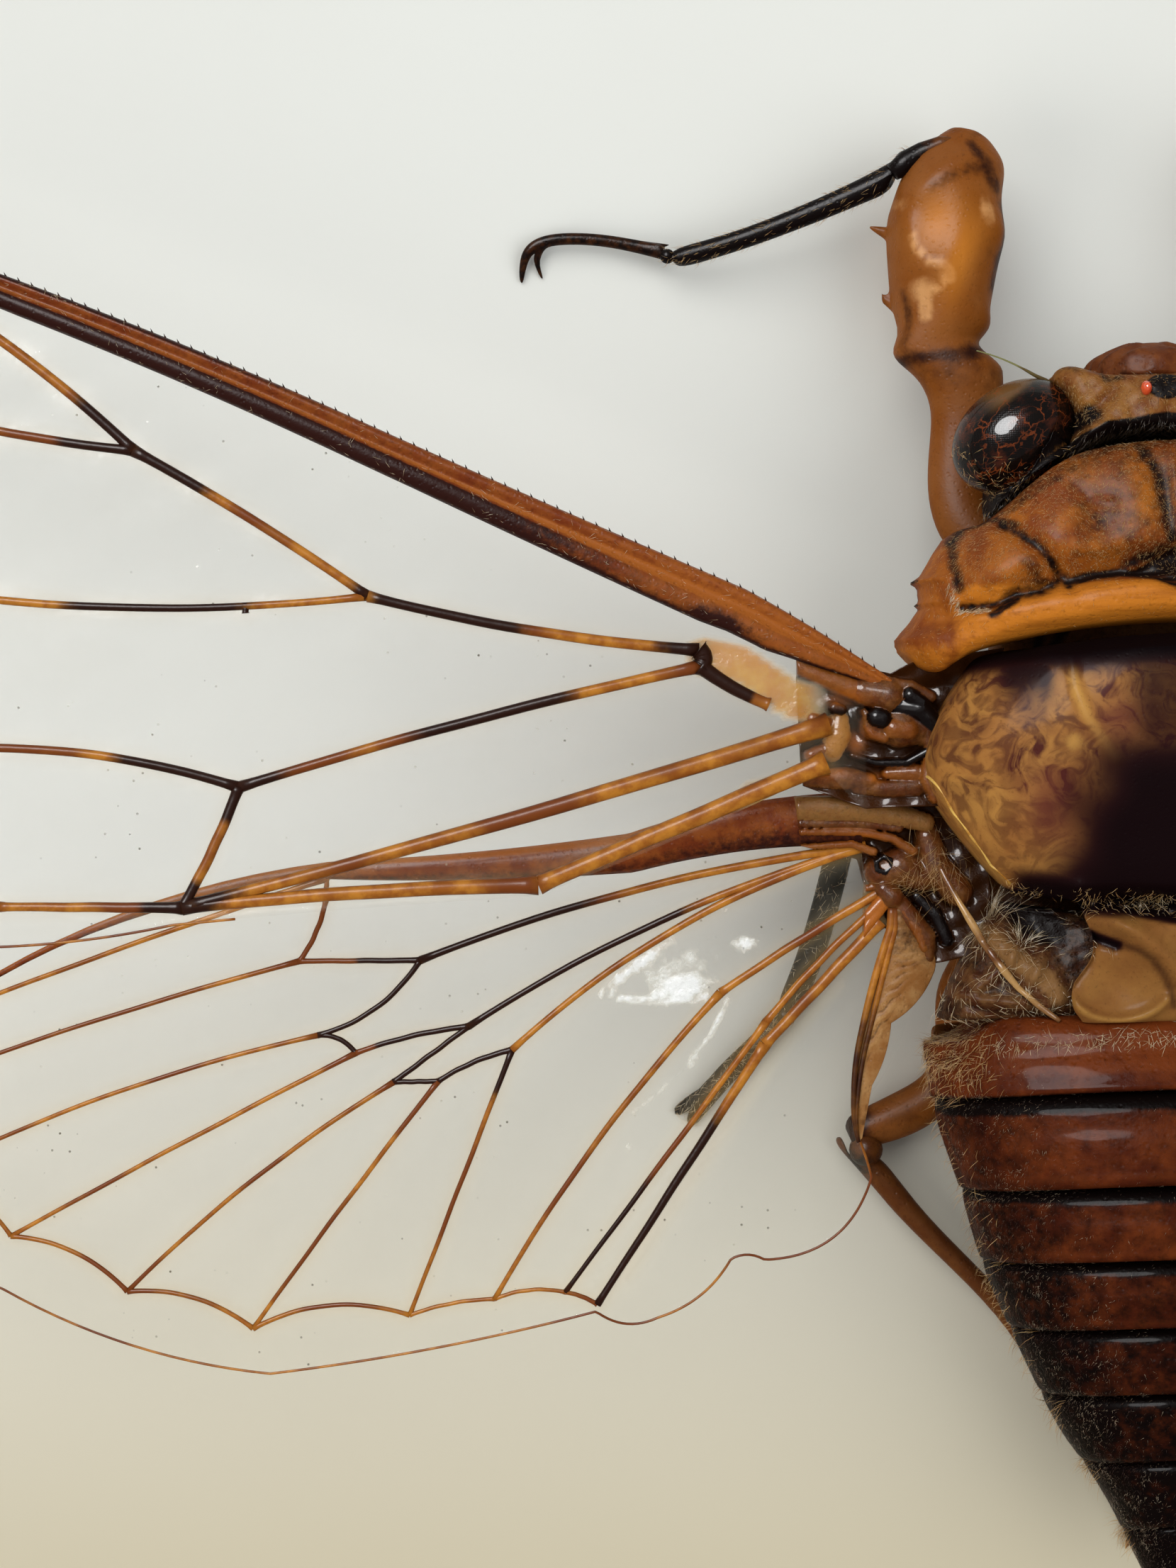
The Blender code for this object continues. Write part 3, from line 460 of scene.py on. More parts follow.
# %% Make the floor and the lamps
FLOOR_SIZE = 900.0
bpy.ops.mesh.primitive_plane_add(size=FLOOR_SIZE * MM, location=(0, 0, -0.05 * MM))
floor = started("pale_floor")
floor_paint, tree, shader = new_material("pale floor")
paint_noise = noise(tree, 30.0, 3.0, 0.5, object_place(tree))
from_top = node(tree, "ShaderNodeSeparateXYZ", {"Vector": object_place(tree)}).outputs["Y"]
from_top = node(tree, "ShaderNodeMapRange",
    {"Value": from_top, "From Min": 0.0, "From Max": -0.045}).outputs["Result"]
pale = blend_colour(tree, paint_noise, colour(232, 234, 228), colour(226, 226, 219))
tree.links.new(blend_colour(tree, from_top, pale, colour(202, 191, 162)), shader.inputs["Base Color"])
set_all(shader, {"Roughness": 0.7, "Specular IOR Level": 0.0})
floor.data.materials.append(floor_paint)

world = bpy.data.worlds.new("soft daylight")
world.use_nodes = True
world.node_tree.nodes["Background"].inputs["Color"].default_value = (0.95, 0.97, 1.0, 1)
world.node_tree.nodes["Background"].inputs["Strength"].default_value = 0.34
bpy.context.scene.world = world

for name, spot_at, size, power, tint in (
    ("window", (-190, 300, 430), 520, 1.5, (1.0, 0.99, 0.97)),
    ("sky", (330, -60, 420), 500, 1.2, (0.94, 0.97, 1.0)),
    ("fill", (-420, -220, 300), 400, 1.0, (1.0, 0.98, 0.95)),
    ("gleam", (-215, 240, 430), 330, 13.0, (1.0, 1.0, 1.0)),
):
    lamp_data = bpy.data.lights.new(name, "AREA")
    lamp_data.shape = "DISK"
    lamp_data.size = size * MM
    lamp_data.energy = power
    lamp_data.color = tint
    lamp = bpy.data.objects.new(name, lamp_data)
    lamp.visible_glossy = name == "gleam"
    lamp.visible_diffuse = name != "gleam"
    lamp.location = place(*spot_at)
    lamp.rotation_euler = (place(0, 0, 10) - lamp.location).to_track_quat("-Z", "Y").to_euler()
    bpy.context.scene.collection.objects.link(lamp)
bpy.context.scene.view_settings.view_transform = "Standard"
print("floor and", len(bpy.data.lights), "lamps")

# %% [markdown]
# ## The wing's plan
# A cicada's wing is a clear sheet held by a strong front edge and a tree of veins. The tree is written
# as named forks and the veins between them. Each vein gives where it starts and ends, its bow, its two
# radii, and the stretches along it, as shares of its length, that are near black instead of amber.

# %% Name the forks and veins of the forewing
FORE_FRONT = (
    ((15.9, 7.2), (22.0, 10.8), 0.1), ((22.0, 10.8), (41.1, 19.7), -0.05),
    ((41.1, 19.7), (62.7, 29.1), 0.25),
    ((62.7, 29.1), (98.5, 38.4), 1.6), ((98.5, 38.4), (105.0, 32.0), 1.7),
)
FORE_REAR = (
    ((15.9, -1.2), (18.0, 1.2), 0.0), ((18.0, 1.2), (33.4, -5.0), -0.2), ((33.4, -5.0), (52.4, -6.0), 0.1),
    ((52.4, -6.0), (61.5, -6.9), -0.2), ((61.5, -6.9), (88.0, 3.0), -2.6),
    ((88.0, 3.0), (105.0, 32.0), -2.4),
)
FORE_FORKS = {
    "arculus": (24.5, 7.65), "cubitus root": (24.4, 6.8), "cell corner": (20.9, 4.7),
    "stem root": (15.6, 4.9),
    "block": (17.8, 3.6), "anal root": (18.0, 1.6), "m fork": (41.7, 10.9), "m12 fork": (53.7, 18.8),
    "kink": (63.1, 26.6), "m2 fork": (66.6, 21.6), "m34 fork": (65.7, 11.9), "cu fork": (48.7, 1.1),
    "cu1 bend": (66.0, 3.4), "hub": (51.8, -5.1), "anal bend": (33.2, -4.4), "rim 1": (61.3, -4.8),
    "rim 2": (72.5, -3.4), "rim 3": (82.6, 1.9), "rim 4": (91.4, 10.6), "rim 5": (98.2, 20.8),
    "rim 6": (102.3, 30.4), "rim 7": (100.6, 35.4), "r bar": (75.5, 31.2), "r bar foot": (76.6, 25.4),
    "m bar": (80.5, 20.9), "m bar foot": (79.0, 12.4), "mcu bar": (71.0, 9.3), "mcu bar foot": (69.8, 0.6),
    "knot near": (48.1, 10.72), "knot far": (48.1, 10.18),
}
FORE_VEINS = (
    ("arculus", "m fork", -0.4, 0.30, 0.25, ((0.0, 0.1), (0.55, 0.97))),
    ("cubitus root", "cu fork", 0.3, 0.30, 0.25, ((0.3, 0.6), (0.92, 1.0))),
    ("arculus", "cubitus root", -0.2, 0.50, 0.45, ((0.0, 1.0),)),
    ("cubitus root", "cell corner", 0.15, 0.42, 0.30, ((0.0, 0.75),)),
    ("m fork", "m12 fork", 0.2, 0.24, 0.27, ((0.0, 0.04), (0.72, 1.0))),
    ("m12 fork", "kink", 0.3, 0.27, 0.26, ((0.0, 0.3), (0.9, 1.0))),
    ("m12 fork", "m2 fork", -0.3, 0.25, 0.22, ((0.0, 0.28), (0.8, 1.0))),
    ("m fork", "m34 fork", -0.8, 0.19, 0.22, ((0.28, 0.64),)),
    ("knot near", "knot far", 0.0, 0.17, 0.17, ((0.0, 1.0),)),
    ("cu fork", "cu1 bend", 0.9, 0.25, 0.22, ((0.0, 0.35), (0.85, 1.0))),
    ("cu fork", "hub", -0.15, 0.28, 0.27, ((0.0, 0.25), (0.8, 1.0))),
    ("block", "hub", -0.25, 0.50, 0.30, ((0.94, 1.0),)),
    ("anal root", "anal bend", 0.0, 0.52, 0.42, ()),
    ("anal bend", "hub", 0.2, 0.42, 0.32, ((0.92, 1.0),)),
    ("hub", "rim 1", 0.0, 0.30, 0.22, ((0.0, 0.2),)),
    ("rim 1", "rim 2", -0.3, 0.20, 0.20, ()), ("rim 2", "rim 3", -0.4, 0.20, 0.19, ()),
    ("rim 3", "rim 4", -0.5, 0.19, 0.18, ()), ("rim 4", "rim 5", -0.5, 0.18, 0.18, ()),
    ("rim 5", "rim 6", -0.4, 0.18, 0.18, ()), ("rim 6", "rim 7", -0.6, 0.18, 0.20, ()),
    ("kink", "rim 7", 0.7, 0.25, 0.17, ((0.0, 0.12), (0.5, 1.0))),
    ("m2 fork", "rim 6", 1.1, 0.22, 0.15, ((0.0, 0.15), (0.6, 1.0))),
    ("m2 fork", "rim 5", 1.0, 0.22, 0.15, ((0.0, 0.1), (0.5, 1.0))),
    ("m34 fork", "rim 4", 1.0, 0.22, 0.15, ((0.0, 0.15), (0.6, 1.0))),
    ("m34 fork", "rim 3", 0.6, 0.22, 0.15, ((0.0, 0.2), (0.7, 1.0))),
    ("cu1 bend", "rim 2", 0.3, 0.22, 0.16, ((0.0, 0.3), (0.8, 1.0))),
    ("r bar", "r bar foot", 0.2, 0.18, 0.18, ((0.0, 1.0),)),
    ("m bar", "m bar foot", 0.2, 0.17, 0.17, ((0.0, 1.0),)),
    ("mcu bar", "mcu bar foot", 0.2, 0.17, 0.17, ((0.0, 1.0),)),
)

# %% Name the forks and veins of the hindwing
HIND_FRONT = (
    ((16.0, 0.0), (28.4, -1.9), 0.5), ((28.4, -1.9), (44.4, -3.0), -0.2),
    ((44.4, -3.0), (69.5, -12.9), 1.9),
)
HIND_REAR = (
    ((16.0, -7.6), (13.4, -9.4), 0.0), ((13.4, -9.4), (17.0, -17.4), -0.9),
    ((17.0, -17.4), (15.9, -20.6), -0.1),
    ((15.9, -20.6), (21.7, -24.9), -1.3), ((21.7, -24.9), (23.5, -24.8), 0.25),
    ((23.5, -24.8), (27.5, -27.9), -0.5),
    ((27.5, -27.9), (30.8, -27.5), -0.5), ((30.8, -27.5), (48.5, -30.6), -0.3),
    ((48.5, -30.6), (63.0, -25.8), -0.8),
    ((63.0, -25.8), (69.5, -12.9), -3.4),
)
HIND_FORKS = {
    "root": (15.8, -2.9), "rear root": (15.0, -5.3), "front 1": (44.6, -3.9), "tip": (66.8, -11.2),
    "bar": (44.7, -5.1), "j1": (46.2, -8.3), "f1": (39.7, -8.4), "j2": (45.3, -12.3), "j3": (43.3, -13.3),
    "f2": (37.2, -12.0), "j4": (41.3, -14.9), "j5": (38.9, -14.9), "f3": (34.9, -13.3),
    "rim 1": (68.6, -14.9), "rim 2": (67.0, -19.4), "rim 3": (62.4, -22.9), "rim 4": (56.1, -26.0),
    "rim 5": (49.3, -28.1), "rim 6": (40.8, -27.5), "rim 7": (36.2, -26.7), "rim 8": (32.4, -26.4),
    "rim 9": (30.7, -27.1), "cu bend": (23.7, -10.5), "anal top": (15.1, -6.0), "anal 1": (21.3, -12.1),
    "anal low": (15.1, -6.9), "anal 2": (21.4, -13.3),
}
HIND_VEINS = (
    ("root", "f1", 0.8, 0.24, 0.18, ((0.62, 1.0),)), ("root", "f2", 0.9, 0.22, 0.16, ((0.45, 1.0),)),
    ("root", "f3", 1.25, 0.24, 0.16, ()), ("front 1", "tip", 0.2, 0.16, 0.12, ()),
    ("front 1", "bar", 0.0, 0.14, 0.13, ()), ("bar", "j1", -0.2, 0.14, 0.14, ()),
    ("j1", "f1", 0.0, 0.14, 0.16, ((0.5, 1.0),)), ("j1", "rim 1", 0.3, 0.14, 0.11, ()),
    ("f1", "j2", -0.65, 0.15, 0.14, ((0.0, 1.0),)), ("j2", "rim 2", 0.7, 0.13, 0.11, ()),
    ("j2", "j3", -0.3, 0.14, 0.14, ((0.0, 1.0),)), ("j3", "f2", -0.2, 0.14, 0.16, ((0.2, 1.0),)),
    ("j3", "rim 3", 0.1, 0.14, 0.11, ()), ("f2", "j4", 0.0, 0.15, 0.15, ((0.0, 1.0),)),
    ("j4", "rim 4", 0.55, 0.14, 0.11, ()), ("j4", "j5", 0.0, 0.14, 0.14, ((0.0, 1.0),)),
    ("j5", "f3", -0.2, 0.14, 0.16, ((0.0, 1.0),)), ("j5", "rim 5", 0.1, 0.14, 0.11, ()),
    ("f3", "rim 6", 0.0, 0.15, 0.11, ((0.0, 0.15),)), ("rear root", "cu bend", 0.1, 0.26, 0.2, ()),
    ("cu bend", "rim 7", 0.6, 0.2, 0.12, ()), ("anal top", "anal 1", 0.2, 0.22, 0.19, ()),
    ("anal 1", "rim 8", 0.0, 0.19, 0.12, ((0.6, 1.0),)), ("anal low", "anal 2", 0.0, 0.34, 0.28, ()),
    ("anal 2", "rim 9", 0.0, 0.28, 0.17, ((0.3, 1.0),)),
    ("tip", "rim 1", -0.5, 0.11, 0.11, ()), ("rim 1", "rim 2", -0.3, 0.11, 0.11, ()),
    ("rim 2", "rim 3", -0.5, 0.12, 0.12, ()), ("rim 3", "rim 4", -0.7, 0.13, 0.13, ()),
    ("rim 4", "rim 5", -0.7, 0.13, 0.13, ()), ("rim 5", "rim 6", -0.9, 0.13, 0.12, ()),
    ("rim 6", "rim 7", -0.2, 0.11, 0.11, ()), ("rim 7", "rim 8", -0.3, 0.11, 0.11, ()),
    ("rim 8", "rim 9", -0.1, 0.12, 0.13, ()),
)
print("veins:", len(FORE_VEINS), "and", len(HIND_VEINS))

# %% [markdown]
# ## The clear sheet
# A plane grid is laid between two rails, the front edge and the rear edge, so that its lines fan out as
# the wing does. Solidify gives the sheet its thickness. The grid is fine enough to carry painted
# numbers: how near a vein is, where the sheet is stained amber, and where it is crumpled.

# %% Lay a grid between two rails
FORE_LEVEL = 12.7
HIND_LEVEL = 10.3
HIND_DROOP = 3.5
ROOT_X = 15.9
FORE_LENGTH = 89.0
HIND_LENGTH = 55.0
SHEET_THICKNESS = 0.06
ARC_STEPS = 14


def fore_level(x, y):
    """Height of the forewing's middle surface."""
    return FORE_LEVEL + 0.6 * np.sin(np.pi * (x - ROOT_X) / FORE_LENGTH)


def hind_level(x, y):
    """Height of the hindwing's middle surface, which droops outward."""
    return HIND_LEVEL - HIND_DROOP * (np.hypot(x - ROOT_X, y + 4.0) / HIND_LENGTH) ** 1.6


def rail(pieces):
    """A function from 0..1 to the place at that share of a chain of arcs."""
    line = [pieces[0][0]]
    for start, end, bow in pieces:
        line += arc(start, end, bow, ARC_STEPS)[1:]
    line = np.array(line)
    length = np.concatenate(([0], np.cumsum(np.hypot(*np.diff(line, axis=0).T))))
    length /= length[-1]
    return lambda t: np.stack((np.interp(t, length, line[:, 0]), np.interp(t, length, line[:, 1])), axis=-1)


def places_along(line, count):
    """Evenly spaced places along a line of straight stretches."""
    return rail([(start, end, 0.0) for start, end in zip(line, line[1:])])(np.linspace(0, 1, count))


def grid_between(name, first, second, columns, rows):
    """A plane grid whose two long edges follow two rails, and the share along and across of each point."""
    bpy.ops.mesh.primitive_grid_add(x_subdivisions=columns, y_subdivisions=rows, size=1)
    piece = started(name)
    flat = np.empty(len(piece.data.vertices) * 3)
    piece.data.vertices.foreach_get("co", flat)
    along, across = flat.reshape(-1, 3)[:, 0] + 0.5, flat.reshape(-1, 3)[:, 1] + 0.5
    return piece, along, across, first(along) * (1 - across[:, None]) + second(along) * across[:, None]


def closed_shell(piece, upper, under, marks, reach):
    """Doubles a grid into an upper and a lower face, paints both the same and welds their edges."""
    move_points(piece, upper)
    lower = piece.copy()
    lower.data = piece.data.copy()
    bpy.context.scene.collection.objects.link(lower)
    move_points(lower, under)
    for half in (piece, lower):
        for mark, values in marks.items():
            paint(half, mark, values)
    return edit(join(piece.name, [piece, lower]), weld(reach), FACE_OUT)


def vein_line(forks, vein, count):
    return arc(forks[vein[0]], forks[vein[1]], vein[2], count)


def wing_sheet(name, front, rear, forks, veins, level, columns, rows):
    """The clear membrane of the left wing."""
    piece, along, across, plan = grid_between(name, rail(front), rail(rear), columns, rows)
    x, y = plan.T
    sag = 0.05 * np.sin(x * 1.1 + y * 0.7) * np.sin(y * 0.9 - x * 0.3)
    move_points(piece, np.stack((-x, y, level(x, y) + sag), axis=1))
    modify(piece, "SOLIDIFY", thickness=SHEET_THICKNESS * MM, offset=0)
    edit(piece, FACE_OUT)
    piece.data.shade_smooth()
    x, y, z = points_of(piece).T
    near = np.full(len(x), np.inf)
    for vein in veins:
        near = np.minimum(near, distance_to(-x, y, vein_line(forks, vein, 6)))
    paint(piece, "haze", np.exp(-(near / 0.55) ** 1.5))
    return piece, -x, y


fore_sheet, x, y = wing_sheet(
    "forewing_sheet_left", FORE_FRONT, FORE_REAR, FORE_FORKS, FORE_VEINS, fore_level, 170, 60,
)
BASE_CELL = ((24.2, 7.3), (22.4, 6.9), (20.6, 5.6), (19.6, 4.9), (18.0, 4.6), (16.2, 4.6))
in_cell = 1 - ease(distance_to(x, y, BASE_CELL), 0.75, 1.2)
in_heel = 1 - ease(distance_to(x, y, ((18.4, 0.7), (22.0, 0.0))), 0.3, 0.9)
at_root = ease(x, 17.6, 19.2)
paint(fore_sheet, "amber", np.maximum(in_cell, in_heel) * at_root)
paint(fore_sheet, "brown", (0.3 * in_heel + 0.25 * in_cell * (1 - ease(x, 18.5, 21.5))) * at_root)
paint(fore_sheet, "crumple", 0)

hind_sheet, x, y = wing_sheet(
    "hindwing_sheet_left", HIND_FRONT, HIND_REAR, HIND_FORKS, HIND_VEINS, hind_level, 150, 72,
)
CREASE = ((23.3, -10.9), (24.3, -12.7), (25.4, -14.3), (26.9, -15.5), (28.6, -16.7), (28.9, -19.6))
creased = np.maximum.reduce((
    spot(x, y, (25.8, -10.1), 2.1, 0.85), 0.55 * spot(x, y, (26.2, -9.2), 3.2, 1.6, -25),
    0.85 * ridge(x, y, ((30.2, -10.5), (28.4, -10.8), (24.4, -10.8)), 0.32),
    0.8 * ridge(x, y, ((26.2, -7.6), (27.8, -8.7), (29.6, -10.0)), 0.4),
    0.9 * spot(x, y, (22.4, -7.9), 0.75, 0.45),
    0.6 * spot(x, y, (23.4, -6.2), 0.7, 0.4), 0.4 * spot(x, y, (26.0, -8.9), 1.6, 0.9),
    0.75 * ridge(x, y, CREASE[:3], 0.28), 0.55 * ridge(x, y, CREASE[2:], 0.2),
))
paint(hind_sheet, "crumple", creased)
lobe = ease(26.5 - x, -1.5, 3.0) * ease(-y, 11.0, 15.0)
rear_haze = ridge(x, y, ((17.4, -10.2), (20.6, -13.6), (24.0, -18.4), (29.0, -25.6)), 0.5)
paint(hind_sheet, "amber", 0.04 * lobe + 0.16 * rear_haze)
paint(hind_sheet, "brown", 0)
print("sheet points:", len(fore_sheet.data.vertices), len(hind_sheet.data.vertices))

# %% [markdown]
# ## What a membrane looks like
# The sheet is almost invisible: what shows is a faint straw tint, a warmer haze beside the veins, dust,
# and fine wrinkles. So it is mostly see-through, and the painted numbers raise its cover. A transparent
# shader mixed in by Alpha is chosen over glass, because glass would need the light to find its way
# through two close walls and would turn grey and grainy.

# %% Make the membrane material
membrane, tree, shader = new_material("wing membrane")
where = object_place(tree)
haze, amber, brown, crumple = (layer(tree, name) for name in ("haze", "amber", "brown", "crumple"))
patches = noise(tree, 260.0, 4.0, 0.6, where)
dust_cells = node(tree, "ShaderNodeTexVoronoi", {"Vector": where, "Scale": 1100.0})
dust = maths(tree, "SUBTRACT", 1.0, smooth_step(tree, dust_cells.outputs["Distance"], 0.05, 0.1))
dust = maths(tree, "MULTIPLY", dust, smooth_step(tree, noise(tree, 330.0, 2.0, 0.5, where), 0.5, 0.62))
tint = blend_colour(tree, haze, colour(222, 216, 192), colour(222, 176, 88))
amber_tone = blend_colour(tree, smooth_step(tree, patches, 0.4, 0.62), colour(228, 182, 84),
    colour(206, 142, 56))
tint = blend_colour(tree, amber, tint, amber_tone)
tint = blend_colour(tree, brown, tint, colour(96, 42, 16))
wrinkles = noise(tree, 700.0, 6.0, 0.65, where)
creases = noise(tree, 1500.0, 6.0, 0.75, where)
white = maths(tree, "MULTIPLY_ADD", maths(tree, "SUBTRACT", wrinkles, 0.5), 1.3, crumple)
white = maths(tree, "MULTIPLY_ADD", maths(tree, "SUBTRACT", creases, 0.5), 0.9, white)
white = maths(tree, "MULTIPLY", smooth_step(tree, white, 0.32, 0.9), smooth_step(tree, crumple, 0.05, 0.3))
tint = blend_colour(tree, white, tint, colour(250, 252, 250))
tint = blend_colour(tree, dust, tint, colour(70, 60, 45))
tree.links.new(tint, shader.inputs["Base Color"])
cover = maths(tree, "MULTIPLY_ADD", haze, 0.1, 0.008)
cover = maths(tree, "MULTIPLY_ADD", smooth_step(tree, patches, 0.45, 0.75), 0.014, cover)
cover = maths(tree, "MAXIMUM", cover, maths(tree, "MULTIPLY", amber, 0.62))
cover = maths(tree, "MAXIMUM", cover, maths(tree, "MULTIPLY", brown, 0.95))
cover = maths(tree, "MAXIMUM", cover, maths(tree, "MULTIPLY", white, 0.55))
cover = maths(tree, "MAXIMUM", cover, maths(tree, "MULTIPLY", dust, 0.6))
tree.links.new(cover, shader.inputs["Alpha"])
folded = maths(tree, "MULTIPLY_ADD", creases, maths(tree, "MULTIPLY", crumple, 1.2), wrinkles)
tree.links.new(bump(tree, folded, 0.1 * MM), shader.inputs["Normal"])
set_all(shader, {"Roughness": 0.18, "Coat Weight": 0.15})

# %% [markdown]
# ## The veins
# A vein is a hollow tube with the sheet grown round it. A curve with a round bevel and a radius at each
# point gives exactly that, and is then turned into a mesh, so that the near-black stretches can be
# painted on it. All the tubes of a wing are joined into one piece.


# %% Draw one vein
def tube_mesh(name, line, radii, sides=3):
    """A round tube through points in the table's millimetres, as a mesh; sides sets its smoothness."""
    curve = bpy.data.curves.new(name, "CURVE")
    curve.dimensions = "3D"
    curve.bevel_depth = 1.0
    curve.bevel_resolution = sides
    curve.use_fill_caps = True
    spline = curve.splines.new("POLY")
    spline.points.add(len(line) - 1)
    for point, (px, py, pz), radius in zip(spline.points, line, radii):
        point.co = (*(place(px, py, pz)), 1.0)
        point.radius = radius * MM
    piece = bpy.data.objects.new(name, curve)
    bpy.context.scene.collection.objects.link(piece)
    only(piece)
    bpy.ops.object.convert(target="MESH")
    edit(piece, weld(0.003), FACE_OUT)
    piece.data.shade_smooth()
    return piece


def draw_vein(forks, vein, level):
    """The tube of one vein of the left wing, with its dark stretches painted and painted shade on its flanks.
    """
    start, end, bow, first, last, darks = vein
    flat = np.array(vein_line(forks, vein, 26))
    share = np.linspace(0, 1, len(flat))
    waver = 0.012 * np.sin(share * 19 + len(start) * 1.7) * np.sin(np.pi * share)
    x, y = flat[:, 0] + waver, flat[:, 1] + waver
    swell = 1 + 0.3 * np.exp(-share / 0.03) + 0.3 * np.exp(-(1 - share) / 0.03)
    radii = (first + (last - first) * share) * swell
    piece = tube_mesh("vein", list(zip(-x, y, level(x, y))), radii)
    px, py, pz = points_of(piece).T
    nearest = np.argmin(np.hypot(px[:, None] + x, py[:, None] - y), axis=1) / (len(flat) - 1)
    dark = np.zeros(len(px))
    for low, high in darks:
        dark = np.maximum(dark,
            ease(nearest, low - 0.09, low + 0.03) * (1 - ease(nearest, high - 0.03, high + 0.09)))
    # Painted shade: the flanks of the tube, which face sideways, are darkened.
    flank = 1 - ease(np.abs(facing_of(piece)), 0.3, 0.8)
    return paint(piece, "dark", np.maximum(dark, 0.5 * flank))


HEM_POINTS = 260
HEM_RADIUS = 0.07
HEM_INSET = 0.9993


def draw_margin(rear, level, first, last):
    """The thin brown hem of the left sheet's rear edge, between two shares of its length."""
    plan = rail(rear)(np.linspace(first, last, HEM_POINTS)) * HEM_INSET
    line = [(-px, py, float(level(px, py))) for px, py in plan]
    hem = tube_mesh("hem", line, np.full(HEM_POINTS, HEM_RADIUS), 2)
    return paint(hem, "dark", 0.3)


fore_veins = join(
    "forewing_veins_left",
    [draw_vein(FORE_FORKS, vein, fore_level) for vein in FORE_VEINS]
    + [draw_margin(FORE_REAR, fore_level, 0.32, 1.0)],
)
hind_veins = join(
    "hindwing_veins_left",
    [draw_vein(HIND_FORKS, vein, hind_level) for vein in HIND_VEINS]
    + [draw_margin(HIND_REAR, hind_level, 0.16, 1.0)],
)
print("vein points:", len(fore_veins.data.vertices), len(hind_veins.data.vertices))

vein_finish, tree, shader = new_material("vein cuticle")
where = object_place(tree)
streak = noise(tree, 900.0, 4.0, 0.6, where)
drift = noise(tree, 160.0, 2.0, 0.5, where)
amber_tone = blend_colour(tree, smooth_step(tree, streak, 0.35, 0.65), colour(188, 122, 42),
    colour(148, 84, 28))
amber_tone = blend_colour(tree, smooth_step(tree, drift, 0.45, 0.6), amber_tone, colour(118, 60, 24))
dark_share = maths(tree, "MULTIPLY_ADD", maths(tree, "SUBTRACT", streak, 0.5), 0.5, layer(tree, "dark"))
tone = blend_colour(tree, smooth_step(tree, dark_share, 0.1, 0.95), amber_tone, colour(42, 20, 12))
tree.links.new(tone, shader.inputs["Base Color"])
tree.links.new(bump(tree, streak, 0.05 * MM), shader.inputs["Normal"])
set_all(shader, {"Roughness": 0.4, "Specular IOR Level": 0.06, "Coat Weight": 0.06, "Coat Roughness": 0.15})

# %% [markdown]
# ## The front edge
# Three thick veins run side by side along the front of the forewing and make one strap: a rounded brown
# rim with a saw of tiny spines, an orange groove, and a purple-brown rear half. It is another grid
# between rails, raised by a profile across it, on both faces.


# %% Raise the front strap
def strap(name, outer, widths, level, profile, columns, rows=16):
    """A raised band along the front edge of the left wing; widths are (share along, width) stations."""
    edge = rail(outer)

    def inner(t):
        here, ahead = edge(t), edge(np.minimum(t + 0.002, 1))
        back = edge(np.maximum(t - 0.002, 0))
        course = ahead - back
        course /= np.linalg.norm(course, axis=1)[:, None]
        wide = np.interp(t, [s for s, w in widths], [w for s, w in widths])[:, None]
        return here + np.stack((course[:, 1], -course[:, 0]), axis=1) * wide

    piece, along, across, plan = grid_between(name, edge, inner, columns, rows)
    x, y = plan.T
    wide = np.interp(along, [s for s, w in widths], [w for s, w in widths])
    lift = profile(along, across) * np.minimum(wide, 1.6)
    upper = np.stack((-x, y, level(x, y) + lift), axis=1)
    under = np.stack((-x, y, level(x, y) - 0.8 * lift), axis=1)
    both = closed_shell(piece, upper, under, {"along": along, "across": across}, 0.02)
    both.data.shade_smooth()
    return both


def two_ridges(along, across):
    """A rounded rim, a groove at four tenths, and a broader rear ridge."""
    rim = 0.30 * np.sqrt(np.clip(1 - ((across - 0.17) / 0.17) ** 2, 0, 1))
    rear = 0.34 * np.sqrt(np.clip(1 - ((across - 0.70) / 0.30) ** 2, 0, 1))
    return np.maximum(np.maximum(rim, rear), 0.16 * np.sqrt(np.clip(4 * across * (1 - across), 0, 1)))


def one_ridge(along, across):
    return 0.34 * np.sqrt(np.clip(4 * across * (1 - across), 0, 1))


FORE_HINGE = (((13.2, 4.7), (15.6, 6.7), 0.1), ((15.6, 6.7), (22.0, 10.8), 0.1))
fore_strap = strap(
    "forewing_edge_left", FORE_HINGE + FORE_FRONT[1:],
    ((0, 0.5), (0.03, 1.0), (0.05, 1.6), (0.08, 2.3), (0.12, 2.5), (0.28, 2.1), (0.50, 1.75), (0.7, 1.1),
        (0.9, 0.75),
     (1, 0.5)),
    fore_level, two_ridges, 440, 20,
)
x, y, z = points_of(fore_strap).T
along, across = painted(fore_strap, "along"), painted(fore_strap, "across")
rear_half = ease(across, 0.47, 0.56) * (0.35 + 0.65 * ease(along, 0.12, 0.3)) + 0.5 * ease(across, 0.85,
    1.0)
arculus_shade = spot(-x, y, (23.6, 8.9), 2.4, 1.0, 25)
paint(fore_strap, "dark", np.maximum.reduce((
    rear_half, 0.75 * (1 - ease(across, 0.1, 0.2)) * ease(along, 0.2, 0.45), arculus_shade,
    0.55 * ease(along, 0.55, 0.75), 0.3 * ease(along, 0.1, 0.3),
    0.8 * spot(-x, y, (30.9, 11.9), 0.35, 0.45),
)))
paint(fore_strap, "pale", 0.75 * np.exp(-((across - 0.42) / 0.07) ** 2) * (1 - 0.5 * ease(along, 0.2, 0.9))
      + 0.5 * (1 - ease(along, 0.1, 0.3)))
hind_strap = strap(
    "hindwing_edge_left", HIND_FRONT,
    ((0, 2.9), (0.15, 2.4), (0.35, 1.6), (0.55, 0.8), (0.8, 0.35), (1, 0.25)),
    hind_level, one_ridge, 220, 10,
)
x, y, z = points_of(hind_strap).T
across = painted(hind_strap, "across")
paint(hind_strap, "dark", 0.5 * ease(across, 0.35, 0.9) + 0.2 * (1 - ease(-x, 18.0, 30.0)))
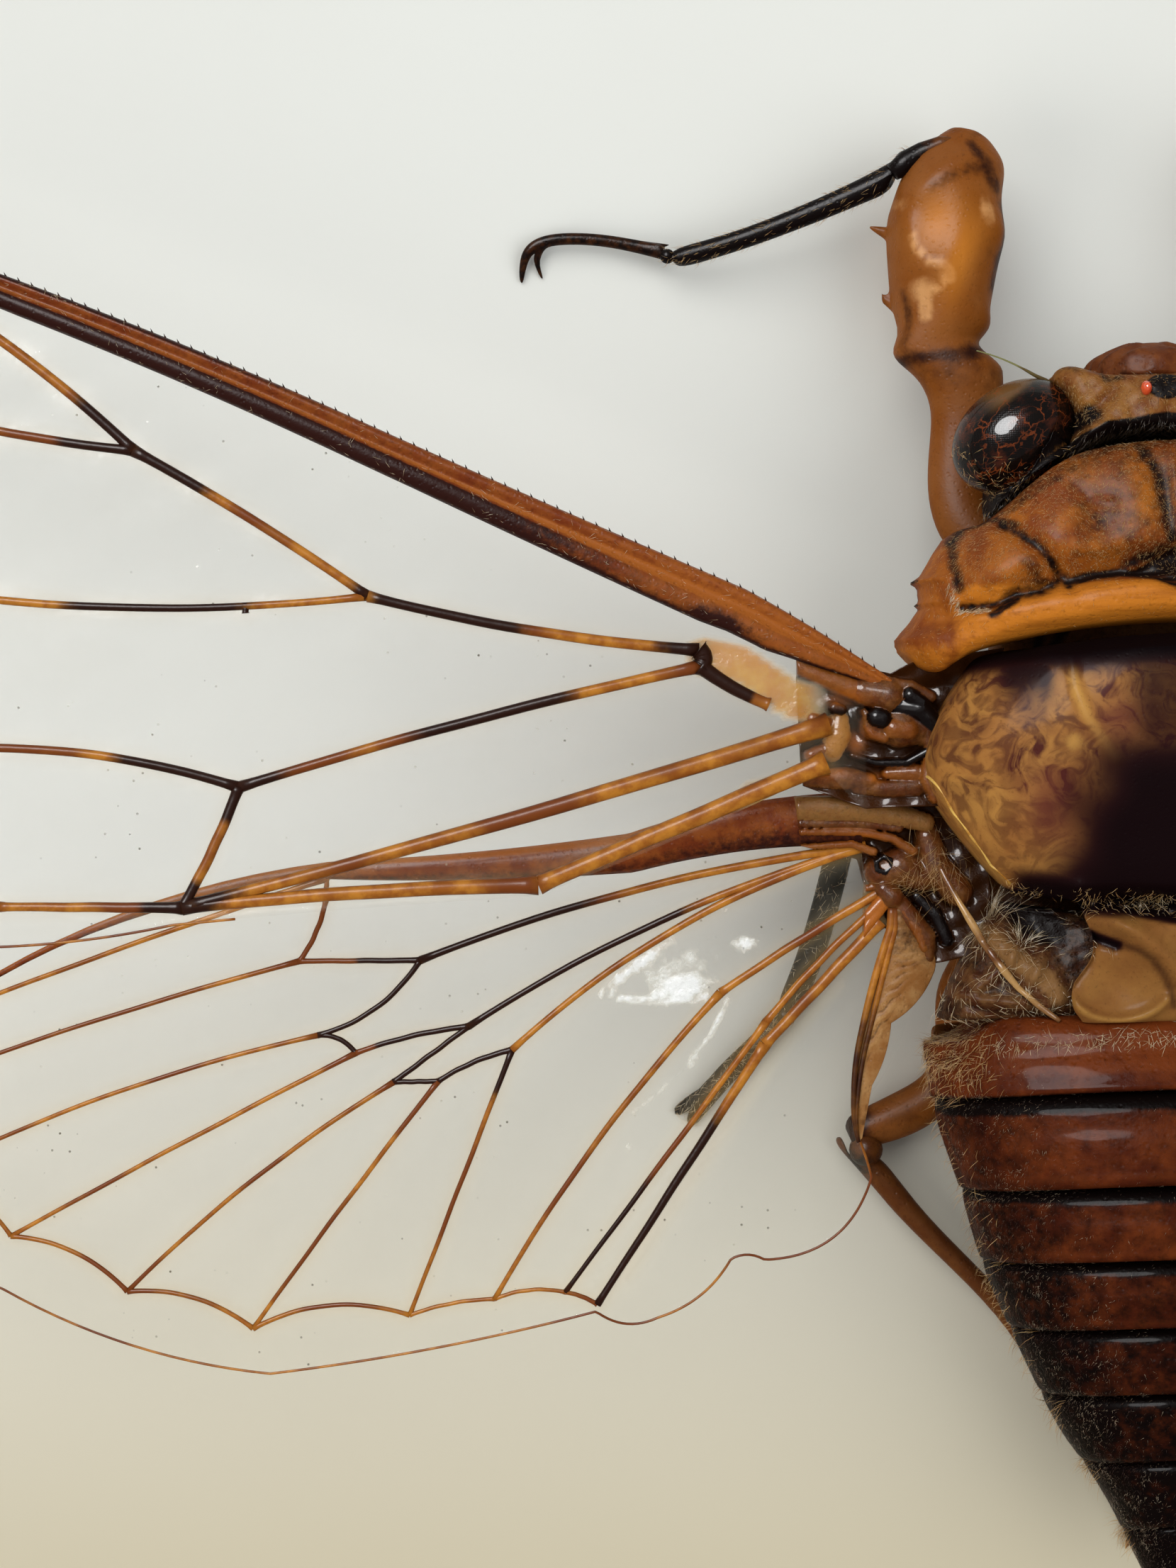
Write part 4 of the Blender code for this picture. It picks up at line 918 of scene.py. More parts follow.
paint(hind_strap, "pale", (1 - ease(across, 0.05, 0.4)) * ease(-x, 20, 26))
edge_finish = shell_finish(
    "strap cuticle", (116, 52, 22), (160, 90, 34), (46, 20, 15), gloss=0.36, cloud=900.0, relief=0.05,
    coat=0.05,
)

# %% [markdown]
# ## The other side
# A cicada is the same on both sides, and each piece of the left wing is mirrored for the right one. A
# mirror turns a mesh inside out, so its faces are turned back.


# %% Mirror and dress the wings
def mirrored(piece, name):
    """A copy of a left piece on the right side."""
    twin = piece.copy()
    twin.data = piece.data.copy()
    twin.name = name
    twin.data.name = name
    bpy.context.scene.collection.objects.link(twin)
    flat = points_of(twin)
    flat[:, 0] *= -1
    move_points(twin, flat)
    twin.data.flip_normals()
    return twin


def dress_pair(piece, material, slot, *nodes):
    """Dresses a left piece and its mirrored twin; node names are given without their side."""
    twin = mirrored(piece, piece.name.replace("_left", "_right"))
    dress(piece, material, slot, *(name + "_left" for name in nodes))
    dress(twin, material, slot, *(name + "_right" for name in nodes))
    return piece, twin


dress_pair(fore_sheet, membrane, "wing", "forewing")
dress_pair(hind_sheet, membrane, "wing", "hindwing")
dress_pair(fore_veins, vein_finish, "wing")
dress_pair(hind_veins, vein_finish, "wing")
fore_straps = dress_pair(fore_strap, edge_finish, "wing")
dress_pair(hind_strap, edge_finish, "wing")

# %% [markdown]
# ## The shield behind the head
# Seen from above, the pronotum is a saddle of swollen lobes parted by grooves, with an orange collar
# round its rear and sides. On the animal they are one plate, so the two solids are swollen a little,
# fused by a voxel remesh, shrunk back, and only then carved: grooves and swellings are moves along z
# that fade with distance from a line.


# %% Fuse solids into one skin
def fused_skin(name, nodes, swell=0.2, voxel=0.36, levels=1, smooth=6, extra=()):
    """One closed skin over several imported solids, and extra meshes, that lie a small gap apart."""
    copies = [from_solid(solid, levels=1) for solid in nodes] + list(extra)
    for copy in copies:
        modify(copy, "DISPLACE", strength=swell * MM, mid_level=0)
    skin = join(name, copies) if len(copies) > 1 else started(name)
    modify(skin, "REMESH", mode="VOXEL", voxel_size=voxel * MM)
    modify(skin, "SMOOTH", factor=0.5, iterations=smooth)
    if levels:
        modify(skin, "SUBSURF", levels=levels, render_levels=levels)
    modify(skin, "DISPLACE", strength=-0.8 * swell * MM, mid_level=0)
    skin.data.shade_smooth()
    return skin


def upper_share(piece):
    """1 on what faces up, fading to 0 on the flanks and underside."""
    return ease(facing_of(piece), 0.05, 0.5)


shield = fused_skin("pronotal_shield", ("pronotum", "pronotal_collar"))
print("shield faces:", len(shield.data.polygons))

# %% Carve the shield's lobes
OUTER_LOBE = (
    (8.2, 13.6), (9.2, 14.1), (10.4, 13.7), (11.1, 13.0), (11.2, 11.8), (11.0, 10.3), (10.8, 9.4),
    (9.3, 9.4),
    (8.3, 9.9), (7.1, 10.0), (5.7, 10.8),
)
LOBE_SIDE = OUTER_LOBE[:6]
LOBE_REAR = OUTER_LOBE[6:]
FISSURE = ((8.7, 13.6), (7.3, 12.5), (6.5, 11.6), (6.0, 10.9), (5.6, 10.3))
COLLAR_GROOVE = ((5.6, 10.5), (4.2, 10.8), (2.9, 10.9), (1.4, 10.7), (0.0, 10.0))
SHIELD_FRONT = ((0.0, 17.9), (3.0, 17.6), (4.8, 16.7), (6.9, 15.5), (8.6, 14.4))
STRIPE = ((1.5, 17.4), (0.85, 16.0), (0.6, 13.9), (0.4, 12.6))
BLOTCH = (3.9, 13.6)
RIM = (
    (14.2, 10.9), (13.7, 11.3), (12.6, 12.0), (12.0, 12.3), (11.35, 12.7), (11.0, 13.2), (10.75, 12.8),
    (10.0, 12.7),
    (9.8, 12.95), (9.6, 12.7), (8.8, 13.3), (8.0, 14.1), (7.3, 13.9), (6.5, 13.2), (6.0, 12.4),
)

points = points_of(shield)
x, y = np.abs(points[:, 0]), points[:, 1]
levels = np.linspace(6.2, 14.0, 80)
reach = np.array([x[np.abs(y - level) < 0.2].max() for level in levels])
rim_y, rim_x = np.array(RIM[::-1]).T
stretch = (np.interp(y, rim_y, rim_x) - 10.6) / (np.interp(y, levels, reach) - 10.6)
outside = np.maximum(x - 10.6, 0) * (y < 13.8)
points[:, 0] += np.sign(points[:, 0]) * outside * (np.clip(stretch, 0.6, 1.5) - 1)
move_points(shield, points)
x, y, z = np.abs(points[:, 0]), points[:, 1], points[:, 2]
up = upper_share(shield)
grooves = np.maximum.reduce((
    0.6 * ridge(x, y, LOBE_SIDE, 0.4), 0.9 * ridge(x, y, LOBE_REAR, 0.3), 1.2 * ridge(x, y, FISSURE, 0.45),
    0.9 * ridge(x, y, COLLAR_GROOVE, 0.4), 0.4 * ridge(x, y, ((2.6, 11.2), (1.2, 11.7), (0.0, 11.8)), 0.6),
))
centre_pit = (
    ease(12.6 - 0.6 * x - y, 0.0, 0.6) * ease(y, 9.9 + 0.25 * x, 10.4 + 0.25 * x) * (1 - ease(x, 2.6, 3.4))
)
carved = -0.5 * grooves - 0.45 * centre_pit
carved += 0.6 * spot(x, y, (9.0, 11.7), 2.0, 2.1) + 0.5 * spot(x, y, (6.2, 13.6), 1.6, 1.8, 30)
carved += 0.35 * spot(x, y, (2.6, 15.4), 1.6, 2.0, 20) + 0.25 * spot(x, y, (4.6, 12.0), 1.6, 0.9)
carved -= (
    0.4 * spot(x, y, BLOTCH, 1.2, 1.9, 25)
    + 0.12 * ridge(x, y, ((5.2, 15.6), (4.4, 14.6), (3.3, 14.4)), 0.35)
)
carved -= 0.3 * ridge(x, y, STRIPE, 0.6) - 0.15 * (1 - ease(x, 0.0, 0.5)) * ease(y, 12.4, 13.2)
carved -= 0.2 * ridge(x, y, ((0.0, 9.3), (5.0, 9.0), (9.0, 8.1), (11.8, 7.6)), 0.9)
collar = (1 - ease(y, 10.2, 10.9)) * (1 - ease(x, 10.4, 12.6)) * ease(y, 4.0, 5.0)
carved += 0.3 * ridge(x, y, ((11.9, 12.6), (12.4, 11.2), (12.4, 9.6), (13.6, 8.0)), 0.4)
carved += 0.12 * ridge(x, y, ((11.6, 10.4), (11.5, 9.4), (10.4, 8.9)), 0.3)
carved -= 0.25 * ridge(x, y, ((11.9, 9.6), (11.4, 8.0), (9.5, 8.4)), 0.7)
points[:, 2] += carved * up
move_points(shield, points)
front_band = 1 - ease(distance_to(x, y, SHIELD_FRONT), 0.25, 0.6)
paint(shield, "dark", np.maximum.reduce((
    0.7 * ridge(x, y, LOBE_SIDE, 0.36), 0.75 * ridge(x, y, LOBE_REAR, 0.34),
    0.75 * ridge(x, y, FISSURE, 0.36),
    0.9 * ridge(x, y, COLLAR_GROOVE, 0.32), 0.5 * front_band, 0.72 * ridge(x, y, STRIPE, 0.7),
    1.1 * centre_pit,
    0.7 * ridge(x, y, ((2.6, 11.3), (1.3, 11.8), (0.5, 12.1)), 0.5),
    0.5 * ridge(x, y, ((0.3, 14.6), (0.5, 12.4)), 0.35),
    0.5 * spot(x, y, BLOTCH, 1.5, 2.3, 25), 0.42 * (1 - ease(x, 5.0, 6.5)) * ease(y, 11.0, 12.0),
    0.6 * ridge(x, y, ((7.8, 11.6), (7.0, 10.6), (8.6, 9.9)), 0.6),
    0.3 * spot(x, y, (9.9, 12.6), 0.9, 1.0),
    0.9 * ridge(x, y, ((8.3, 9.75), (9.0, 9.3), (9.6, 8.9)), 0.26), 1 - ease(z, 9.9, 10.8),
    0.5 * (1 - ease(distance_to(x, y, ((0, 8.2), (5.6, 7.8), (8.4, 7.6), (10.6, 7.0))), 0.0, 0.35)),
    0.8 * ridge(x, y, ((12.95, 11.05), (13.3, 11.0)), 0.16),
    0.8 * ridge(x, y, ((12.8, 9.8), (13.1, 9.8)), 0.12),
)))
paint(shield, "pale", np.maximum.reduce((
    0.7 * collar, 0.55 * ease(x, 10.6, 12.0) * (1 - ease(y, 6.8, 8.8)),
    0.55 * spot(x, y, (1.7, 14.6), 0.8, 1.6, 15),
    0.4 * spot(x, y, (5.9, 13.4), 1.0, 1.2, 30), 0.3 * spot(x, y, (9.0, 11.2), 1.3, 1.4),
)))
shield_finish = shell_finish(
    "pronotum cuticle", (124, 60, 20), (194, 116, 34), (24, 12, 8), gloss=0.5, cloud=520.0, share=0.45,
    relief=0.05, grain_scale=4200.0, coat=0.02,
)
paint(shield, "collar", collar)
tree = shield_finish.node_tree
shader = tree.nodes["Principled BSDF"]
stretched = node(tree, "ShaderNodeMapping", {"Vector": object_place(tree)})
stretched.inputs["Scale"].default_value = (0.08, 1.0, 1.0)
lines = noise(tree, 3000.0, 4.0, 0.65, stretched.outputs["Vector"])
line_share = maths(tree, "MULTIPLY", smooth_step(tree, lines, 0.45, 0.7), layer(tree, "collar"))
plain = shader.inputs["Base Color"].links[0].from_socket
lined = blend_colour(tree, maths(tree, "MULTIPLY", line_share, 0.4), plain, colour(120, 58, 14))
tree.links.new(lined, shader.inputs["Base Color"])
dress(shield, shield_finish, "pronotum", "pronotum", "pronotal_collar")

# %% [markdown]
# ## The great plate between the wings
# The mesonotum is a polished dome. The rear of it sinks into a black pit and rises again as a brown
# cross, whose arms frame an oval dish. Here two solids make one skin. The pattern is swirls, like
# finger prints: noise read at a place that other noise has pushed about.

# %% Carve the dome and the cross
dome = fused_skin("mesonotal_dome", ("mesonotum", "cruciform_elevation"), voxel=0.34)
CROSS_ARM = ((5.6, -5.4), (4.9, -5.9), (4.0, -6.6), (3.0, -7.4), (2.0, -8.2), (1.2, -8.9), (0.6, -9.8))
DISH = (3.6, -10.0)
DISH_RIM = [(3.5 + 2.6 * math.cos(t), -10.2 + 1.9 * math.sin(t)) for t in np.linspace(0.5, -2.7, 16)]
PIT = ((8.6, -5.3), (6.9, -6.2), (5.0, -6.0), (2.6, -6.0), (0.6, -6.2))
GOLD_RIM = ((12.9, 0.9), (12.4, 0.1), (11.7, -1.2), (10.7, -2.6), (9.7, -4.0), (8.7, -5.0))
PALE_LINE = ((5.9, 7.3), (5.8, 5.1), (5.2, 3.4), (3.9, 1.4))

points = points_of(dome)
x, y, z = np.abs(points[:, 0]), points[:, 1], points[:, 2]
up = upper_share(dome)
behind = 1 - ease(y - 0.2 * x, -7.6, -7.0)
ARM_PIT = ((5.7, -7.2), (4.5, -7.8), (3.5, -8.2))
carved = 0.3 * ridge(x, y, GOLD_RIM, 0.2)
carved += 0.14 * ridge(x, y, PALE_LINE, 0.3) - 1.3 * ridge(x, y, PIT, 0.6)
carved += 0.8 * ridge(x, y, CROSS_ARM, 0.55) - 1.1 * spot(x, y, DISH, 2.3, 1.7, 8)
carved += (
    0.5 * ridge(x, y, DISH_RIM, 0.32) - 0.7 * ridge(x, y, ARM_PIT, 0.4)
    - 0.7 * spot(x, y, (6.1, -7.0), 0.7, 0.9)
)
points[:, 2] += carved * up
move_points(dome, points)
wave = 0.5 * np.sin(1.3 * x + 1.1 * y) + 0.5 * np.sin(0.9 * x - 1.6 * y + 1.0)
centre_shade = 0.85 * ease(8.8 - x - 0.3 * y + 0.5 * wave, 0.0, 6.4) * ease(5.2 - y, 0.0, 5.0)
paint(dome, "dark", np.maximum.reduce((
    centre_shade * (1 - behind), 0.55 * ease(4.6 - x, 0.0, 2.6) * (1 - behind),
    # 0.95 * ease(y, 5.0, 7.0) darkens the front of the dome: its own purple-brown, deepened by a painted
    # shadow of the collar.
    0.7 * ease(x, 6.2, 7.2) * ease(y, 3.0, 6.0) * (1 - ease(x, 8.6, 10.4)), 0.95 * ease(y, 5.0, 7.0),
    0.95 * ridge(x, y, PIT, 0.8), 0.95 * ridge(x, y, ARM_PIT, 0.34),
    0.9 * spot(x, y, (6.0, -7.0), 0.5, 0.9),
    0.85 * ease(-y, 3.2, 5.2) * (1 - behind) * ease(10.2 - x, 0.0, 2.0),
    0.2 * ridge(x, y, CROSS_ARM, 0.7) * behind, 1 - ease(z, 9.9, 11.4),
    0.5 * ridge(x, y, ((5.4, -8.4), (4.4, -8.1), (3.5, -8.1), (2.6, -8.4), (1.9, -8.9), (1.3, -9.7),
        (0.9, -10.6), (0.7, -11.4)), 0.36) * behind,
    0.5 * ridge(x, y, ((5.6, -12.3), (3.8, -12.6), (1.6, -12.4)), 0.35),
    0.8 * ridge(x, y, ((13.3, 0.4), (12.2, -1.6), (10.4, -4.0), (9.0, -5.5)), 0.3), 0.3 * behind,
    0.5 * ridge(x, y, ((6.6, -8.4), (6.8, -9.6), (6.7, -10.8), (6.2, -12.0)), 0.4),
)) * (1 - 0.8 * ridge(x, y, GOLD_RIM, 0.4)))
paint(dome, "pale", np.maximum.reduce((
    0.65 * ridge(x, y, PALE_LINE, 0.42), 0.9 * spot(x, y, (5.9, 2.3), 0.55),
    0.5 * ridge(x, y, GOLD_RIM, 0.17),
    0.55 * ridge(x, y, DISH_RIM, 0.3), 0.2 * ease(x, 8.5, 11.5) * (1 - behind),
    0.35 * spot(x, y, DISH, 2.0, 1.5, 8),
)))

paint(dome, "marbled", (1 - 0.75 * behind) * (1 - 0.45 * ease(-y, -1.0, 3.0)))
paint(dome, "wine", 0.55 * spot(x, y, (3.6, 3.2), 1.5, 2.2, 20)
    + 0.6 * spot(x, y, (7.0, -0.8), 1.4, 2.4, -20))

dome_finish, tree, shader = new_material("mesonotum cuticle")
where = object_place(tree)
push = node(tree, "ShaderNodeTexNoise", {"Vector": where, "Scale": 300.0, "Detail": 2.0}).outputs["Color"]
pushed = node(tree, "ShaderNodeVectorMath", {0: push, "Scale": 0.005}, operation="SCALE").outputs[0]
swirl_at = node(tree, "ShaderNodeVectorMath", {0: where, 1: pushed}, operation="ADD").outputs[0]
swirls = node(tree, "ShaderNodeTexNoise",
    {"Vector": swirl_at, "Scale": 620.0, "Detail": 5.0, "Distortion": 1.6})
drops = node(tree, "ShaderNodeTexVoronoi", {"Vector": swirl_at, "Scale": 640.0}, feature="SMOOTH_F1")
out = use_group(tree, cuticle, {
    "Base": colour(156, 104, 52), "Light": colour(190, 140, 70), "Dark": colour(30, 16, 18),
    "Dark patch": 0.0, "Light patch": layer(tree, "pale"), "Cloud scale": 300.0, "Cloud share": 0.45,
})
swirl_share = smooth_step(tree, swirls.outputs["Fac"], 0.42, 0.66)
drop_share = maths(tree, "SUBTRACT", 1.0, smooth_step(tree, drops.outputs["Distance"], 0.25, 0.5))
mottle = maths(tree, "MULTIPLY_ADD", drop_share, 0.4, maths(tree, "MULTIPLY", swirl_share, 0.78),
    clamp=True)
mottle = maths(tree, "MULTIPLY", mottle, layer(tree, "marbled"))
bare = maths(tree, "SUBTRACT", 1.0, layer(tree, "pale"))
tone = blend_colour(tree, maths(tree, "MULTIPLY", mottle, bare), out["Color"], colour(72, 34, 26))
tone = blend_colour(tree, layer(tree, "wine"), tone, colour(98, 42, 42))
deep = layer(tree, "dark")
tone = blend_colour(tree, smooth_step(tree, deep, 0.0, 0.75), tone, colour(46, 20, 20))
tone = blend_colour(tree, smooth_step(tree, deep, 0.35, 1.0), tone, colour(12, 6, 8))
tree.links.new(tone, shader.inputs["Base Color"])
tree.links.new(maths(tree, "ADD", out["Roughness"], 0.44), shader.inputs["Roughness"])
tree.links.new(bump(tree, out["Height"], 0.02 * MM), shader.inputs["Normal"])
set_all(shader, {"Coat Weight": 0.02, "Coat Roughness": 0.16, "Specular IOR Level": 0.01})
dress(dome, dome_finish, "mesonotum", "mesonotum", "cruciform_elevation")
rim_line = drop_on(dome, [(-px + 0.06, py + 0.04) for px, py in places_along(GOLD_RIM, 60)])
gold_rim = tube_mesh("gold_rim_left", rim_line, 0.07 + 0.025 * np.sin(np.linspace(0, 26, 60)), 3)
paint(gold_rim, "dark", 0.1)
paint(gold_rim, "pale", 0.5 + 0.4 * np.sin(3.0 * points_of(gold_rim)[:, 1]))
gold_finish = shell_finish("rim cuticle", (168, 110, 40), (226, 184, 96), (70, 36, 16), gloss=0.3,
    cloud=1600.0)
dress_pair(gold_rim, gold_finish, "mesonotum")
print("dome faces:", len(dome.data.polygons))

# %% [markdown]
# Behind and beside the cross lies the metanotum, a low, dark, folded plate, and over it runs a brown
# tendon-like ridge from the hinge to the first ring, with a painted highlight along its top and painted
# shade on its sides.

# %% Fold the metanotum and lay its ridge
hollow = fused_skin("metanotal_folds", ("metanotum",), swell=0.05, voxel=0.3)
TENDON = (
    (12.1, -4.0), (11.75, -4.8), (11.2, -5.9), (10.6, -7.0), (9.9, -8.3), (9.2, -9.4), (8.4, -10.4),
    (7.4, -11.3),
    (6.4, -12.1),
)
points = points_of(hollow)
x, y = np.abs(points[:, 0]), points[:, 1]
folds = np.maximum.reduce([
    ridge(x, y, line, 0.3) for line in (
        ((12.4, -8.8), (11.4, -9.6), (10.0, -10.0)), ((12.2, -10.4), (10.2, -11.0), (8.2, -11.2)),
        ((11.0, -11.7), (9.4, -12.2), (7.4, -12.3)), ((11.9, -6.6), (12.1, -8.0)),
        ((9.4, -9.4), (10.6, -10.4)),
        ((7.0, -8.4), (7.9, -10.2), (7.0, -11.4)), ((8.6, -8.2), (8.9, -9.2)),
    )
])
wrinkle = 0.5 * np.sin(5.1 * x + 3.3 * y) * np.sin(4.3 * y - 2.2 * x)
MEMBRANE = ((9.9, -7.6), (8.5, -8.9), (7.0, -10.0), (6.4, -10.8))
skin_fold = ridge(x, y, MEMBRANE, 0.7)
lifted = 0.5 * folds + 0.5 * skin_fold - 1.2 * spot(x, y, (7.4, -7.2), 1.5, 1.2, 35) + 0.1 * wrinkle
points[:, 2] += lifted * upper_share(hollow)
move_points(hollow, points)
sunk = 1.2 * spot(x, y, (7.2, -7.0), 2.2, 1.2, 30)
paint(hollow, "dark", np.maximum(0.55 * (1 - folds), sunk) * (1 - skin_fold))
paint(hollow, "pale", np.maximum(0.3 * folds, 0.85 * skin_fold))
hollow_finish = shell_finish(
    "metanotum cuticle", (74, 39, 21), (128, 92, 54), (20, 10, 8), gloss=0.45, cloud=1200.0, relief=0.1,
    coat=0.02,
)
dress(hollow, hollow_finish, "metanotum", "metanotum")

line = drop_on(hollow, [(-px, py) for px, py in places_along(TENDON, 40)], 0.12)
share = np.linspace(0, 1, 40)
height = np.interp(share, (0, 0.25, 0.5, 0.8, 1), (12.0, 12.7, 13.1, 13.9, 14.6))
line = [(px, py, max(pz, float(lift))) for (px, py, pz), lift in zip(line, height)]
tendon = tube_mesh("tendon_left", line, 0.13 + 0.08 * np.sin(np.pi * share) + 0.02 * np.sin(23 * share), 4)
x, y, z = points_of(tendon).T
# Painted light: the ridge's top is painted paler, as a highlight, and its sides darker, as shade.
lit_crest = upper_share(tendon)
paint(tendon, "dark", 0.7 * (1 - lit_crest))
paint(tendon, "pale", lit_crest * (0.5 + 0.4 * np.sin(1.7 * y)))
tendon_finish = shell_finish("tendon cuticle", (98, 55, 27), (176, 136, 84), (38, 20, 12), gloss=0.25,
    coat=0.25)
dress_pair(tendon, tendon_finish, "metanotum")
print("metanotum faces:", len(hollow.data.polygons))

# %% [markdown]
# ## The belly side
# Nothing of the underside shows in the photograph. It is finished from the kind: a matt brown breast,
# two scale-like lids over the sound organs, and a beak laid back between the legs.

# %% Finish the breast, the lids and the beak
breast = from_solid("thorax_underside", "breast", 2)
points = points_of(breast)
x, y = np.abs(points[:, 0]), points[:, 1]
furrow = ridge(x, y, ((0, 16), (0, -11)), 0.6)
for seam in (9.5, 4.5, -1.5, -7.5):
    furrow = np.maximum(furrow, ridge(x, y, ((0.8, seam), (8.5, seam + 1.0)), 0.3))
below = 1 - ease(points[:, 2], 4.0, 6.0)
points[:, 2] += 0.3 * furrow * below * ease(points[:, 2], 0.0, 0.5)
move_points(breast, points)
paint(breast, "dark", 0.9 * furrow + 0.2)
breast_finish = shell_finish("breast cuticle", (96, 54, 26), (142, 92, 44), (34, 20, 14), gloss=0.5,
    relief=0.08)
dress(breast, breast_finish, "breast", "thorax_underside")

for side in SIDES:
    lid = from_solid("operculum_" + side, "sound_lid_" + side, 2)
    points = points_of(lid)
    x, y = np.abs(points[:, 0]), points[:, 1]
    paint(lid, "dark", 0.7 * (1 - ease(x, 1.6, 3.0)) + 0.5 * (1 - ease(y, -17.5, -16.0)))
    dress(lid, breast_finish, "operculum", "operculum_" + side)

beak = from_solid("rostrum", "beak", 2)
points = points_of(beak)
x, y = np.abs(points[:, 0]), points[:, 1]
z = points[:, 2]
points[:, 2] = z + 0.18 * ridge(x, y, ((0, 20), (0, 6)), 0.22) * (z < 1.0) * ease(z, 0.05, 0.3)
move_points(beak, points)
paint(beak, "dark", np.maximum(0.9 * (1 - ease(y, 5.5, 9.0)), 0.5 * (1 - ease(x, 0.1, 0.3))))
dress(beak, breast_finish, "face", "rostrum")

# %% [markdown]
# ## The abdomen
# Eight rings slide into each other like a telescope. Each has a black band where it leaves the ring in
# front, a mahogany middle and a paler rear margin, and the front edge is lower than the rear edge of
# its neighbour. The rear margin's paleness is partly painted light on its raised lip, and painted shade
# darkens each ring towards its flanks. One function finishes them all, from the imported solid of
# each ring.

# %% Finish the rings
RING_NODES = [f"abdomen_{number}" for number in range(1, 8)] + ["abdomen_tip"]
RING_LINES = (-12.5, -15.9, -20.8, -24.6, -28.2, -31.8, -35.6, -39.5, -44.0)
ring_finish = shell_finish(
    "abdomen cuticle", (70, 27, 12), (118, 56, 22), (12, 6, 5), gloss=0.4, cloud=420.0, share=0.55,
    relief=0.07,
    grain_scale=3600.0, coat=0.025, coat_blur=0.09,
)
ring_finish.node_tree.nodes["Principled BSDF"].inputs["Specular IOR Level"].default_value = 0.01


def finish_ring(number, solid):
    """Shapes and paints one ring; number counts from the front."""
    ring = from_solid(solid, "ring_" + solid.replace("abdomen_", ""), 2, keep_corners=1)
    modify(ring, "SMOOTH", factor=0.5, iterations=4)
    points = points_of(ring)
    x, y = np.abs(points[:, 0]), points[:, 1]
    front, rear = RING_LINES[number], RING_LINES[number + 1]
    bow = 0.7 * np.minimum(1, x / 12.8) ** 2
    share = (front - bow - y) / (front - rear)
    up = upper_share(ring)
    hidden = 1 - ease(share, 0.02, 0.2)
    points[:, 1] += 0.7 * (1 - ease(share, 0.0, 0.3)) * (number > 0)
    points[:, 2] -= 0.22 * hidden * up * (number > 0)
    points[:, 0] *= 1 - 0.02 * hidden * (number > 0)
    rolled = 0.1 * np.exp(-((share - 0.9) / 0.1) ** 2) - 0.1 * np.exp(-((share - 0.3) / 0.12) ** 2)
    points[:, 2] += rolled * up
    points[:, 0] *= 1 - 0.14 * ease(-y, 34.0, 40.0)
    if number == 0:
        corner = ease(x, 9.4, 12.4) * (1 - ease(share, 0.0, 0.45))
        points[:, 1] -= 0.9 * corner
        points[:, 2] -= 0.9 * corner
        points[:, 1] += 0.8 * (1 - ease(share, 0.0, 0.35)) * (1 - ease(x, 8.6, 11.0))
        points[:, 2] -= 0.35 * (1 - ease(share, 0.0, 0.2)) * up
    move_points(ring, points)
    band = (1 - ease(share, 0.13, 0.24)) * (number > 0) + 0.6 * ease(share, 0.82, 0.92) * (number == 0)
    # Painted shade: side rises towards the flanks, where the rings are painted darker and the first ring's
    # pale front fades.
    side = ease(x / (12.8 * (1 + 0.024 * (front + 12.5))), 0.45, 0.95)
    paint(ring, "dark", np.maximum.reduce((
        band, ease(share, 0.93, 0.99), 0.24 + 0.085 * number + 0.2 * side * (number > 0),
    )))
    first_ring = (0.5 - 0.2 * side) * (1 - ease(share, 0.55, 0.8))
    # The pale rear margin is partly the ring's own colour and partly painted light on its raised lip.
    paint(ring, "pale", 0.4 * np.exp(-((share - 0.8) / 0.1) ** 2) if number else first_ring)
    return dress(ring, ring_finish, "abdomen", solid)


rings = [finish_ring(number, solid) for number, solid in enumerate(RING_NODES)]
print("ring faces:", [len(ring.data.polygons) for ring in rings])

# %% [markdown]
# ## The head
# The head is short and very wide. Between the eyes lies the olive vertex, with three ruby ocelli on a
# black knob, a bump over each feeler, and the swollen, grooved face below. The head's own solid already
# has the room for the eyes cut out of it.

# %% Carve the head
cheeks = []
for side in SIDES:
    cheek = from_solid("eye_" + side, levels=1)
    points = points_of(cheek)
    middle = (points.max(axis=0) + points.min(axis=0)) / 2
    points = middle + (points - middle) * (0.88, 0.88, 0.8)
    points -= (0.45 * np.sign(middle[0]), 0.7, 0.5)
    move_points(cheek, points)
    cheeks.append(cheek)
head = fused_skin("head_capsule", ("head",), swell=0.08, voxel=0.28, smooth=4, extra=cheeks)
KNOB = (0.0, 20.5)
FEELER_BUMP = (4.6, 21.6)
HEAD_REAR_LINE = ((0.0, 18.6), (3.0, 18.2), (4.8, 17.3), (6.9, 16.0), (8.4, 14.6))
KEEL = ((3.2, 18.7), (4.7, 17.9), (5.8, 17.1), (6.8, 16.4))
points = points_of(head)
x, y, z = np.abs(points[:, 0]), points[:, 1], points[:, 2]
up = upper_share(head)
carved = 0.45 * spot(x, y, KNOB, 1.7, 0.9) + 0.55 * spot(x, y, FEELER_BUMP, 1.4, 0.8, -15)
carved -= 0.4 * ridge(x, y, ((3.0, 21.6), (2.6, 20.6), (3.4, 19.8), (4.6, 19.3)), 0.35)
carved -= 0.5 * spot(x, y, (5.2, 19.5), 0.9, 1.3, -15) + 0.25 * ridge(x, y, ((0, 19.6), (0, 18.4)), 0.3)
carved += 0.35 * ridge(x, y, KEEL, 0.3)
carved += 0.07 * np.sin(4.1 * x + y) * np.sin(3.6 * y - x)
EYE_AT = (7.2, 18.25)
in_long = (x - EYE_AT[0]) * 0.83 - (y - EYE_AT[1]) * 0.555
in_short = (x - EYE_AT[0]) * 0.555 + (y - EYE_AT[1]) * 0.83
carved -= 2.5 * (1 - ease(np.hypot(in_long / 3.5, in_short / 2.6), 0.75, 1.0)) * (y > 16.0)
points[:, 2] += carved * up
front = ease(y, 19.8, 21.3)
